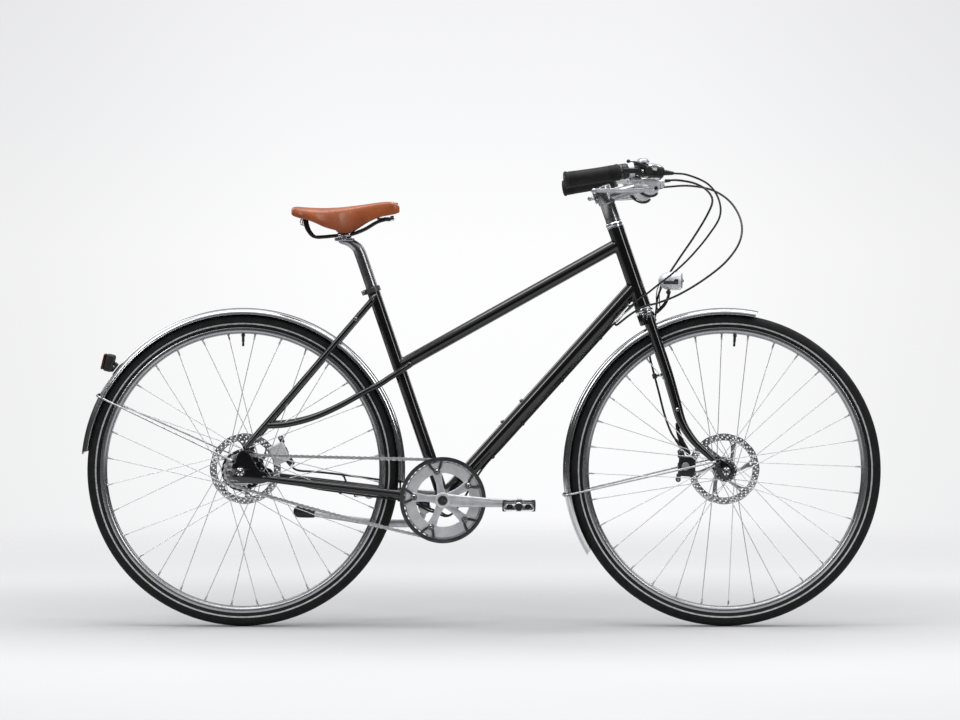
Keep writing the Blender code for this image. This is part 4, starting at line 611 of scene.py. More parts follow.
piece("chain_stays_smooth", low, M["paint"], "frame", ["chain_stays"])

# seat clamp: a collar with an ear at the back and a cross bolt
clamp = Shape()
clamp.lathe([(14.6, -13), (17.0, -13), (17.6, -12.4), (17.6, -2.4), (16.4, -1), (14.6, -1)], SEAT_TOP, SEAT_UP, 56, closed=True)
back = -unit(np.cross(Y_AXIS, SEAT_UP)) if np.cross(Y_AXIS, SEAT_UP)[0] > 0 else unit(np.cross(Y_AXIS, SEAT_UP))
ear = SEAT_TOP + SEAT_UP * -7 + back * 20.5
for s in (-1, 1):
    clamp.box(ear + Y_AXIS * 4.6 * s, (10, 6.4, 11), SEAT_UP, X_AXIS, 1.4)
piece("seat_clamp_ring", clamp, M["black_metal"], "frame", ["seat_clamp"])
bolt(screws, ear + Y_AXIS * 7.6 + back * 1, Y_AXIS, 3.6, 3.2)
screws.cyl(ear - Y_AXIS * 10.4 + back * 1, ear + Y_AXIS * 7.4 + back * 1, 2.3, 0.3, 20)
screws.cyl(ear - Y_AXIS * 10.9 + back * 1, ear - Y_AXIS * 7.6 + back * 1, 4.0, 0.5, 24, hexa=True)
piece("frame_screws", screws, M["steel"], "frame", [])

# headset: turned cups, each with a bright band over a dark seal line
ups = Shape()
ups.lathe([(15.3, -0.2), (18.2, -0.2), (18.7, 0.4), (18.7, 2.6), (18.2, 3.1), (18.2, 3.8), (18.9, 4.2), (19.2, 5.2), (19.2, 9.1), (18.6, 10.2),
           (17.4, 11.4), (15.3, 11.6)], on_head(0), STEER_UP, 64, closed=True)
piece("headset_top", ups, M["polished"], "frame", ["headset_upper_cup"])
lows = Shape()
lows.lathe([(15.3, 0.2), (18.2, 0.2), (18.6, -0.6), (19.3, -3.2), (19.9, -5.6), (20, -7.8), (19.2, -9.2), (18.2, -9.9), (15.3, -9.9)],
           on_head(-191), STEER_UP, 64, closed=True)
piece("headset_bottom", lows, M["polished"], "frame", ["headset_lower_cup"])

# bottom bracket cups with tool notches
cups = Shape()
for s in (-1, 1):
    ring = [(12.7, 33.6), (19.0, 33.6), (19.2, 34.2), (19.2, 36.6), (18.6, 37.2), (12.9, 37.2)]
    cups.lathe([(r, h * s) for r, h in ring], BB, Y_AXIS, 64, closed=True)
    for a in range(0, 360, 45):
        c = (449 + 17.6 * math.cos(math.radians(a)), 36.8 * s, 285 + 17.6 * math.sin(math.radians(a)))
        cups.box(c, (3.2, 1.0, 3.4), z=(math.cos(math.radians(a)), 0, math.sin(math.radians(a))), x=Y_AXIS, edge=0.3)
cups.lathe([(0, -33), (11.6, -33), (11.6, 33), (0, 33)], BB, Y_AXIS, 32)
piece("bottom_bracket_cups", cups, M["black_metal"], "frame", ["bottom_bracket"])

# ------------------------------------------------------------------ fork and steering column
BLADE = [(908, 38, 689), (913.5, 38, 672), (928, 38.4, 630), (950.2, 40, 563.8), (967.9, 42.6, 503), (982, 46, 456), (1006.5, 49.5, 417),
         (1036, 52.8, 388), (1061, 54, 365)]
BLADE_R = [12, 12, 11.8, 11.2, 10.4, 9.6, 8.8, 7.6, 6.6]
fork = Shape()
line = smooth(BLADE, 8)
radii = list(np.interp(np.linspace(0, 8, len(line)), range(9), BLADE_R))
one = Shape().tube(line, radii, 40, ends="round", squash=[(0.9 + 0.1 * t, 1) for t in np.linspace(0, 1, len(line))])
outline = chaikin([(1052, 378), (1058, 384), (1072, 372), (1084, 366), (1092, 356), (1093, 344), (1086, 335), (1084.6, 329), (1084.2, 348),
                   (1082.4, 353.6), (1075.8, 353.6), (1074, 348), (1073.6, 334), (1064, 344), (1056, 358), (1050, 368)], 2)
one.plate([outline], 3.0, 53.3, 0.6)
one.ball((1057.5, 53.6, 369.5), 7.6, (1.1, 0.85, 1.1), 12, 20)
low_boss = vec((970, 42.8, 486))
one.cyl(low_boss + Y_AXIS * 5, low_boss + Y_AXIS * 11.8, 4.6, 0.5, 24)
one.cyl((1060, 50, 372), (1060, 61.5, 372), 4.8, 0.5, 24)
fork.join(one).join(one, lambda p: p * np.array([1, -1, 1]))
arch = smooth([(909.5, 38, 676), (907.5, 36.6, 688), (905.2, 25, 691.5), (904, 10, 691.5), (904, 0, 691.5)], 7)
arch = arch + [p * np.array([1, -1, 1]) for p in arch[:-1]][::-1]
half = len(arch) // 2
fork.tube(arch, [12 - 0.8 * math.sin(math.pi * i / (len(arch) - 1)) for i in range(len(arch))], 40, ends="flat",
          hint=X_AXIS, squash=[(1.12, 0.94)] * len(arch))
fork.lathe([(0, -229), (17.6, -229), (19.2, -227.5), (19.5, -225), (19.5, -205.2), (18.6, -204), (14.4, -203.6), (0, -203.6)], on_head(0), STEER_UP, 56)
fork.lathe([(0, -203), (14.3, -203), (14.3, 91), (0, 91)], on_head(0), STEER_UP, 40)
piece("fork_smooth", fork, M["paint"], "steering", ["fork"])
race = Shape()
race.lathe([(14.4, -202.0), (17.4, -202.0), (18.2, -202.6), (19.4, -203.8), (19.6, -205.4), (18.6, -206.2), (14.4, -206.2)], on_head(0),
           STEER_UP, 56, closed=True)
for s in (-1, 1):
    bolt(race, low_boss * np.array([1, s, 1]) + Y_AXIS * 11.4 * s, Y_AXIS * s, 3.6, 2.4)
piece("fork_crown_race", race, M["polished"], "steering", [])

BAR_AT = vec((900, 0, 985))
column = Shape()
column.lathe([(14.9, 13), (16.4, 13), (16.8, 13.4), (16.8, 20.4), (16.2, 20.8), (16.2, 21.3), (16.8, 21.7), (16.8, 53.5), (17.6, 55.2), (18.8, 56),
              (19, 56.6), (19, 93.5), (18.4, 95.2), (17.2, 96), (14.9, 96)], on_head(0), STEER_UP, 64, closed=True)
column.box(on_head(76, 0, -18.5), (12, 14, 27), STEER_UP, X_AXIS, 2.6)
reach = on_head(70, 0, 13)
ext = smooth([reach, reach + (BAR_AT - reach) * 0.5 + STEER_UP * 0.6, reach + (BAR_AT - reach) * 0.97], 6)
column.tube(ext, [14.6, 13.2, 12.3, 12.0, 12.4], 44, ends="flat", squash=[(1.02, 0.96)] * len(ext))
column.lathe([(12.9, -22), (16.2, -22), (17, -21.2), (17, 21.2), (16.2, 22), (12.9, 22)], BAR_AT, Y_AXIS, 56, closed=True)
face = vec((909, 0, 987))
column.box(face, (20, 38, 38), (0.2, 0, 1), X_AXIS, 4.5, 4)
piece("stem_smooth", column, M["post"], "steering", ["stem"])
stem_bits = Shape()
for dy in (-12, 12):
    for dz in (-13, 13):
        fx = unit((1, 0, -0.2))
        bolt(stem_bits, face + fx * 9.4 + vec((0, dy, 0)) + unit((0.2, 0, 1)) * dz, fx, 3.6, 2.2)
for dh in (-7, 7):
    p = on_head(76 + dh, 0, -19.5)
    bolt(stem_bits, p - Y_AXIS * 6.6, -Y_AXIS, 3.4, 2.6)
    stem_bits.cyl(p + Y_AXIS * 6.6, p + Y_AXIS * 8.4, 3.2, 0.3, 20, hexa=True)
piece("stem_bolts", stem_bits, M["steel"], "steering", [])
cap = Shape()
cap.lathe([(0, 95.8), (17.4, 95.8), (18.6, 96.0), (18.8, 96.6), (18.6, 97.0), (8, 97.2), (0, 97.2)], on_head(0), STEER_UP, 56)
cap.lathe([(15.5, 11.7), (17.4, 11.7), (17.6, 12.1), (17.4, 12.8), (15.5, 12.8)], on_head(0), STEER_UP, 56, closed=True)
piece("column_seals", cap, M["black_metal"], "steering", [])


# ------------------------------------------------------------------ wheels
def tyre(name, centre, body, node):
    half = [(9.6, 314.8), (10.2, 317.5), (11.4, 320.4), (14.4, 323.8), (17.2, 327.4), (18.6, 331.4), (18.3, 335.6), (16.9, 339.4)]
    tread = [(15.6, 341.6), (15.3, 342.6), (14.0, 343.8), (12.2, 345.1), (10.0, 346.4), (8.0, 347.3), (6.2, 348.0), (4.6, 348.45), (4.2, 347.7),
             (3.4, 347.7), (3.0, 348.75), (1.6, 348.95), (0.5, 349.0)]
    outer = [p[:2] for p in smooth([(y, r, 0) for y, r in half], 3)] + tread
    inner = [p[:2] for p in smooth([(0, 345.6, 0), (7, 344.6, 0), (12.4, 341, 0), (15.3, 335, 0), (15.0, 329.6, 0), (11.5, 324.6, 0), (7.9, 320.4, 0),
                                    (7.3, 316, 0), (7.6, 314.4, 0)], 2)]
    left = [(-y, r) for y, r in outer]
    sect = np.array(left + outer[::-1] + [(y, r) for y, r in inner][::-1] + [(-y, r) for y, r in inner][1:], float)
    n_out = 2 * len(outer)
    steps = 720
    ang = np.linspace(0, 2 * math.pi, steps, endpoint=False)
    y = np.tile(sect[:, 0], (steps, 1))
    r = np.tile(sect[:, 1], (steps, 1))
    on_out = np.zeros(len(sect), bool)
    on_out[:n_out] = True
    zone = (np.abs(y) > 5.5) & (np.abs(y) < 15.4) & (r > 342) & on_out
    phase = (np.arange(steps)[:, None] + np.abs(y) * 0.55 + np.where(y > 0, 3, 0)) % 6
    cut = zone & (phase < 1.1)
    r = r - np.where(cut, 0.75, 0)
    pts = np.stack([centre[0] + r * np.cos(ang)[:, None], y, centre[2] + r * np.sin(ang)[:, None]], -1)
    shape = Shape().rings([list(row) for row in pts], loop=True)
    piece(name, shape, M["tyre"], body, [node], angle=50)
    line = Shape()
    for s in (-1, 1):
        band = [(17.25, 326.6), (17.9, 328.2), (18.35, 329.6), (18.75, 329.5), (18.3, 328.0), (17.6, 326.4)]
        line.lathe([(rr, yy * s) for yy, rr in band], centre, Y_AXIS, 220, closed=True)
    piece(name + "_stripe", line, M["stripe"], body, [], angle=60)


def rim(name, centre, body, node, valve_at):
    half = [(0, 304.9), (5, 305.2), (8, 306.2), (10.4, 308.6), (12.0, 310.7), (12.5, 311.8), (12.5, 318.0), (12.1, 319.2), (11.3, 319.5), (10.8, 318.8),
            (10.7, 315.2), (9.6, 313.8), (5, 312.2), (0, 311.8)]
    prof = half + [(-y, r) for y, r in half[1:-1]][::-1]
    shape = Shape().lathe([(r, y) for y, r in prof], centre, Y_AXIS, 240, closed=True)
    for k in range(32):
        a = math.radians(k * 11.25 + (1.375 if body == "front_wheel" else 6.1875))
        c, s = math.cos(a), math.sin(a)
        yy = 3 if k % 2 else -3
        shape.lathe([(2.2, 303.9), (3.4, 304.6), (3.4, 305.6), (2.2, 305.9)], vec(centre) + vec((0, yy, 0)), (c, 0, s), 16, closed=True)
    piece(name, shape, M["rim"], body, [node], angle=30)
    valve = Shape()
    a = math.radians(valve_at)
    d = vec((math.cos(a), 0, math.sin(a)))
    valve.lathe([(0, 277), (2.2, 277.2), (2.7, 278), (2.7, 284), (2.2, 284.6), (2.2, 286.6), (3.1, 287.1), (3.1, 299), (4.4, 299.6), (4.4, 303),
                 (3.2, 304.8), (0, 305)], centre, d, 20)
    piece(name + "_valve", valve, M["black_plastic"], body, [])


def spokes(name, centre, body, node, side, first, flange_r, flange_y):
    wires, nipples = Shape(), Shape()
    c0 = vec(centre)
    for kind, off, sweep in (("lead", 0.0, -67.5), ("trail", 22.5, 67.5)):
        for k in range(8):
            at_rim = math.radians(first + off + 45 * k)
            at_hub = at_rim + math.radians(sweep)
            outside = kind == "lead"
            fy = flange_y + (1.6 if outside else -4.6)
            p_rim = c0 + vec((304.1 * math.cos(at_rim), 3 * side, 304.1 * math.sin(at_rim)))
            p_hub = c0 + vec((flange_r * math.cos(at_hub), fy * side, flange_r * math.sin(at_hub)))
            d = unit(p_rim - p_hub)
            inward = Y_AXIS * side * (-1 if outside else 1)
            bend = [p_hub + inward * 5.8, p_hub + inward * 2.0, p_hub + inward * 0.5 + d * 0.4, p_hub + d * 2.2]
            wires.tube(bend + lerp_path(p_hub + d * 30, p_rim - d * 8, 2), 1.0, 10, ends="flat")
            wires.ball(p_hub + inward * 6.0, 1.9, (1, 0.7, 1), 7, 12)
            nipples.lathe([(0, -12.5), (1.5, -12.5), (1.9, -12), (1.9, -1.6), (2.9, -0.9), (2.9, 2.6), (0, 2.8)], p_rim, d, 12)
    piece(name, wires, M["spoke"], body, [node], angle=60)
    piece(name + "_nipples", nipples, M["steel"], body, [])


def rotor(name, centre, y, body, node, turn):
    cx, cz = centre[0], centre[2]

    def at(r, deg):
        a = math.radians(deg)
        return (cx + r * math.cos(a), cz + r * math.sin(a))

    outer = [at(80 - 0.9 * (0.5 - 0.5 * math.cos(math.radians(12 * t))) ** 2, t) for t in np.arange(0, 360, 1.5)]
    loops = [outer, circle((cx, cz), 12, 40)]
    for k in range(6):
        a = turn + 60 * k
        arc_out = [at(64.3, a + t) for t in np.linspace(9.5, 54.5, 10)]
        arc_in = [at(27.5, a + t) for t in np.linspace(32, -10, 7)]
        loops.append([(p[0], p[1]) for p in chaikin([(*q, 0) for q in arc_out + [at(55, a + 53.6), at(40, a + 45.5)] + arc_in + [at(40, a - 3.5), at(55, a + 4)]], 1)])
        loops.append([(p[0], p[1]) for p in chaikin([(*q, 0) for q in (at(63.4, a - 2.4), at(63.4, a + 6.2), at(57.6, a + 0.6))], 2)])
    for k in range(36):
        a = turn + 10 * k
        loops.append(circle(at(76.2, a), 1.5, 12))
        loops.append(circle(at(71.7, a + 3.3), 1.8, 12))
        loops.append(circle(at(67.3, a + 6.6), 1.3, 10))
    for k in range(6):
        loops.append(circle(at(20.5, turn + 60 * k + 12), 2.6, 16))
    shape = Shape().plate(loops, 0.9, y, 0.2)
    piece(name, shape, M["steel"], body, [node], angle=30)
    bolts = Shape()
    out = -1 if y < 0 else 1
    for k in range(6):
        p = at(20.5, turn + 60 * k + 12)
        bolt(bolts, (p[0], y + 0.6 * out, p[1]), Y_AXIS * out, 3.9, 1.7)
    bolts.lathe([(9, y + 0.95 * out), (15, y + 0.95 * out), (15.6, y + 1.4 * out), (15.6, y + 2.2 * out), (9, y + 2.2 * out)], (cx, 0, cz), Y_AXIS, 48, closed=True)
    piece(name + "_bolts", bolts, M["black_metal"], body, [])


tyre("front_tyre_round", FRONT, "front_wheel", "front_tyre")
tyre("rear_tyre_round", REAR, "rear_wheel", "rear_tyre")
rim("front_rim_rolled", FRONT, "front_wheel", "front_rim", 85.75)
rim("rear_rim_rolled", REAR, "rear_wheel", "rear_rim", 90)
spokes("front_spokes_near", FRONT, "front_wheel", "front_spokes_right", -1, 23.875, 21.5, 28.4)
spokes("front_spokes_far", FRONT, "front_wheel", "front_spokes_left", 1, 23.875 + 11.25, 21.5, 28.4)
spokes("rear_spokes_near", REAR, "rear_wheel", "rear_spokes_right", -1, 6.1875, 43.5, 30.4)
spokes("rear_spokes_far", REAR, "rear_wheel", "rear_spokes_left", 1, 6.1875 + 11.25, 43.5, 30.4)
rotor("front_rotor_drilled", FRONT, 39.6, "front_wheel", "front_rotor", 10)
rotor("rear_rotor_drilled", REAR, 52, "rear_wheel", "rear_rotor", 35)

hub = Shape().lathe([(5.6, -43.3), (8, -43.3), (8.6, -42.4), (12.4, -41.6), (12.9, -40.8), (12.9, -29.4), (15, -28.7), (24.2, -28.4), (25, -27.8), (25, -26.2),
                     (24.4, -25.4), (22.6, -23.6), (18.6, -21), (16, -17), (14.8, -10), (14.4, 0), (14.8, 10), (16, 17), (18.6, 21), (22.6, 23.6),
                     (24.4, 25.4), (25, 26.2), (25, 27.8), (24.2, 28.4), (18.4, 28.8), (16.8, 30), (16.8, 38), (16, 38.4), (5.6, 38.4)], FRONT, Y_AXIS, 96, closed=True)
for s in (-1, 1):
    hub.lathe([(14.6, 4 * s), (15.4, 4.4 * s), (15.4, 5.6 * s), (14.6, 6 * s)], FRONT, Y_AXIS, 64, closed=True)
piece("front_hub_turned", hub, M["gunmetal"], "front_wheel", ["front_hub"])
seal = Shape().lathe([(6, -44.6), (9.4, -44.6), (10.8, -44.0), (10.8, -42.2), (6, -42.2)], FRONT, Y_AXIS, 48, closed=True)
piece("front_hub_seal", seal, M["black_metal"], "front_wheel", [])
hub = Shape().lathe([(5.6, -44.4), (16, -44.4), (19.4, -43.8), (20.2, -43), (22, -40.6), (33, -38.6), (34.8, -37.8), (35.4, -36.6), (36, -31.6), (37, -30.6),
                     (45, -30.4), (46, -29.8), (46, -27.8), (45.4, -27), (43, -24.8), (40.9, -22), (40.5, -19), (40.3, 0), (40.5, 19), (40.9, 22), (43, 24.8),
                     (45.4, 27), (46, 27.8), (46, 29.8), (45, 30.4), (37, 30.6), (34, 31.6), (24, 36.6), (20.4, 38), (19.8, 39.4), (19.8, 50), (19.2, 50.7), (5.6, 50.7)],
                    REAR, Y_AXIS, 112, closed=True)
for yy in (-12, -4, 4, 12):
    hub.lathe([(40.0, yy - 0.9), (41.0, yy - 0.6), (41.0, yy + 0.6), (40.0, yy + 0.9)], REAR, Y_AXIS, 96, closed=True)
piece("rear_hub_turned", hub, M["black_metal"], "rear_wheel", ["rear_hub"])


def toothed(centre, teeth, pitch_r, first, phase=0.0):
    """Outline of a chainwheel: a round seat for each roller between rounded teeth."""
    pts = []
    step = 360 / teeth
    for k in range(teeth):
        valley = math.radians(first + step * (k + 0.5))
        c = vec((math.cos(valley), math.sin(valley))) * pitch_r
        inward = math.atan2(-c[1], -c[0])
        for b in np.radians([-78, -52, -26, 0, 26, 52, 78]):
            pts.append((centre[0] + c[0] + 4.1 * math.cos(inward + b), centre[2] + c[1] + 4.1 * math.sin(inward + b)))
        tip = math.radians(first + step * (k + 1))
        for d in (-0.9, 0.9):
            a = tip + d / pitch_r
            pts.append((centre[0] + (pitch_r + 2.3) * math.cos(a), centre[2] + (pitch_r + 2.3) * math.sin(a)))
    # the seats run against the sense of turning, so put each seat's points in order of angle
    out = []
    for i in range(teeth):
        seat_pts, tip_pts = pts[i * 9:i * 9 + 7], pts[i * 9 + 7:i * 9 + 9]
        out += seat_pts[::-1] + tip_pts
    a0 = [math.atan2(p[1] - centre[2], p[0] - centre[0]) for p in out[:2]]
    if (a0[1] - a0[0]) % (2 * math.pi) > math.pi:
        out = []
        for i in range(teeth):
            out += pts[i * 9:i * 9 + 7] + pts[i * 9 + 7:i * 9 + 9]
    return out


COG_R = 12.7 / 2 / math.sin(math.pi / 18)
RING_R = 12.7 / 2 / math.sin(math.pi / 44)
cog = Shape().plate([toothed(REAR, 18, COG_R, 90), circle((0, 349), 19.5, 48)] + [circle((26 * math.cos(a), 349 + 26 * math.sin(a)), 2.0, 12)
                    for a in np.radians(range(0, 360, 60))], 1.0, -52, 0.3)
cog.lathe([(9.3, -52.7), (19.8, -52.7), (19.8, -51.3), (19.2, -46.6), (9.3, -46.6)], REAR, Y_AXIS, 48, closed=True)
piece("sprocket_cut", cog, M["steel"], "sprocket", ["sprocket"], angle=30)

# axles and their nuts
ax = Shape()
ax.lathe([(0, -84), (4.2, -84), (4.75, -83.4), (4.75, 83.4), (4.2, 84), (0, 84)], REAR, Y_AXIS, 32)
for s in (-1, 1):
    ax.cyl(REAR + Y_AXIS * 75.4 * s, REAR + Y_AXIS * 81.4 * s, 8.0, 0.8, hexa=True)
    ax.lathe([(4.8, 74 * s), (10.8, 74 * s), (11, 74.4 * s), (10.6, 75.4 * s), (4.8, 75.6 * s)], REAR, Y_AXIS, 48, closed=True)
    ax.cyl(REAR + Y_AXIS * 61.6 * s, REAR + Y_AXIS * 67.2 * s, 8.0, 0.6, hexa=True)
piece("rear_axle_nuts", ax, M["chrome"], "frame", ["rear_axle"])
ax = Shape()
ax.lathe([(0, -64), (4.1, -64), (4.6, -63.4), (4.6, 63.4), (4.1, 64), (0, 64)], FRONT, Y_AXIS, 32)
for s in (-1, 1):
    ax.cyl(FRONT + Y_AXIS * 57.6 * s, FRONT + Y_AXIS * 63.2 * s, 7.7, 0.8, hexa=True)
    ax.lathe([(4.7, 56.5 * s), (10.2, 56.5 * s), (10.4, 56.9 * s), (10, 57.7 * s), (4.7, 57.8 * s)], FRONT, Y_AXIS, 48, closed=True)
    ax.cyl(FRONT + Y_AXIS * 45.2 * s, FRONT + Y_AXIS * 49.6 * s, 7.6, 0.6, hexa=True)
piece("front_axle_nuts", ax, M["chrome"], "steering", ["front_axle"])


# ------------------------------------------------------------------ mudguards
def mudguard(name, centre, half, a0, a1, tongue0, tongue1, body, node, mat):
    n = 27
    phis = np.linspace(-math.pi / 2, math.pi / 2, n)
    outer = [(half * math.copysign(abs(math.sin(p)) ** 0.9, math.sin(p)), 350.2 + 12.7 * abs(math.cos(p)) ** 0.82) for p in phis]
    inner = [(y * (half - 1.5) / half, 350.2 + (r - 350.2) * (11.5 / 12.7)) for y, r in outer]
    rows = []
    edge_l = [(-half - 0.2, 349.5), (-half + 0.4, 348.9), (-half + 1.5, 349.2)]
    edge_r = [(half - 1.5, 349.2), (half - 0.4, 348.9), (half + 0.2, 349.5)]
    sect = outer + edge_r[::-1] + inner[::-1] + edge_l[::-1]
    steps = 150
    for i in range(steps + 1):
        t = i / steps
        row = []
        for y, r in sect:
            crest = max(0.0, 1 - (y / half) ** 2)
            s0, s1 = a0 - tongue0 * crest, a1 + tongue1 * crest
            a = math.radians(s0 + (s1 - s0) * t)
            row.append((centre[0] + r * math.cos(a), y, centre[2] + r * math.sin(a)))
        rows.append(row)
    shape = Shape().rings(rows)
    return piece(name, shape, mat, body, [node], angle=50)


mudguard("rear_mudguard_rolled", REAR, 22.8, -3.5, 173.0, 0.6, 1.5, "frame", "rear_mudguard", M["guard_silver"])
mudguard("front_mudguard_rolled", FRONT, 22.3, 79.0, 210.6, 0.9, 1.2, "steering", "front_mudguard", M["guard_silver"])


def guard_stay(name, centre, end, angle, body, node):
    c = vec((math.cos(math.radians(angle)), 0, math.sin(math.radians(angle))))
    pts = [end, centre + c * 345 + Y_AXIS * 28.5, centre + c * 359 + Y_AXIS * 26.5, centre + c * 365.6 + Y_AXIS * 20, centre + c * 366.2]
    pts = [vec(p) for p in pts]
    near = lerp_path(pts[0], pts[1], 6)
    rest = smooth([pts[1], pts[2], pts[3], centre + c * 366.2 + Y_AXIS * 9, pts[4]], 6)[1:]
    line = near + rest
    line = line + [p * np.array([1, -1, 1]) for p in line[:-1]][::-1]
    shape = Shape().tube(line, 2.1, 16, ends="round")
    for s in (-1, 1):
        e = vec(end) * np.array([1, s, 1])
        d = unit(pts[1] * np.array([1, s, 1]) - e)
        shape.lathe([(2.6, -1.6), (5.0, -1.6), (5.2, -1.2), (5.2, 1.2), (5.0, 1.6), (2.6, 1.6)], e, Y_AXIS, 28, closed=True)
        shape.tube([e + d * 4, e + d * 12], [2.6, 2.1], 14)
    piece(name, shape, M["steel"], body, [node])
    bits = Shape()
    for s in (-1, 1):
        e = vec(end) * np.array([1, s, 1])
        bolt(bits, e + Y_AXIS * 1.4 * s, Y_AXIS * s, 4.0, 2.6)
        m = (centre + c * 352) + Y_AXIS * 25.4 * s
        bits.box(m, (8, 5, 13), z=c, x=np.cross(c, Y_AXIS), edge=1.0)
        bolt(bits, m + Y_AXIS * 2.2 * s, Y_AXIS * s, 2.6, 2.0)
    bits.box(centre + c * 364.6, (9, 26, 2.6), z=c, x=np.cross(Y_AXIS, c), edge=0.8)
    piece(name + "_clips", bits, M["black_metal"], body, [])


guard_stay("rear_guard_wire", REAR, (-14, 78.8, 372), 152.7, "frame", "rear_mudguard_stay")
guard_stay("front_guard_wire", FRONT, (1060, 64.7, 372), 188.7, "steering", "front_mudguard_stay")


# ------------------------------------------------------------------ drivetrain
def polar(c, r, deg):
    a = math.radians(deg)
    return (c[0] + r * math.cos(a), c[2] + r * math.sin(a))


ring = Shape()
ring.plate([toothed(BB, 44, RING_R, 90), circle((449, 285), 60, 96)], 1.0, -52, 0.3)
ring.lathe([(60.5, -53.0), (82.6, -53.0), (83.4, -53.4), (83.6, -55.6), (82.8, -56.2), (61.4, -56.2), (60.5, -55.4)], BB, Y_AXIS, 128, closed=True)
for k in range(5):
    a = 102 + 72 * k
    tab = [polar(BB, 75.5, a - 13), polar(BB, 75.5, a + 13), polar(BB, 68, a + 8), polar(BB, 59.5, a + 5), polar(BB, 57.5, a), polar(BB, 59.5, a - 5),
           polar(BB, 68, a - 8)]
    ring.plate([[(p[0], p[1]) for p in chaikin([(*q, 0) for q in tab], 2)], circle(polar(BB, 65, a), 2.6, 16)], 1.0, -52, 0.25)
piece("chainwheel", ring, M["pale_satin"], "crank", [], angle=30)

guard = Shape()
loops = [circle((449, 285), 96, 128), circle((449, 285), 87.2, 128)]
guard.plate(loops, 1.6, -58.3, 0.7)
for k in range(5):
    a = 102 + 72 * k
    for s in (-1, 1):
        strut = [polar(BB, 89, a + s * 8.0), polar(BB, 89, a + s * 12.2), polar(BB, 76, a + s * 10.0), polar(BB, 62, a + s * 3.8), polar(BB, 59.2, a - s * 1.5),
                 polar(BB, 64.5, a - s * 2.4), polar(BB, 75, a + s * 5.4)]
        guard.plate([[(p[0], p[1]) for p in chaikin([(*q, 0) for q in strut], 2)]], 1.5, -58.3, 0.5)
    c = polar(BB, 65, a)
    guard.lathe([(2.6, -60.2), (6.8, -60.2), (7.4, -59.6), (7.4, -57.0), (2.6, -57.0)], (c[0], 0, c[1]), Y_AXIS, 32, closed=True)
piece("chain_guard_ring", guard, M["gunmetal"], "crank", ["chainring"], angle=35)
ringbolts = Shape()
for k in range(5):
    c = polar(BB, 65, 102 + 72 * k)
    bolt(ringbolts, (c[0], -60.0, c[1]), -Y_AXIS, 4.4, 1.4)
    ringbolts.cyl((c[0], -57.6, c[1]), (c[0], -49.8, c[1]), 3.6, 0.4, 20)
piece("chainring_bolts", ringbolts, M["chrome"], "crank", [])


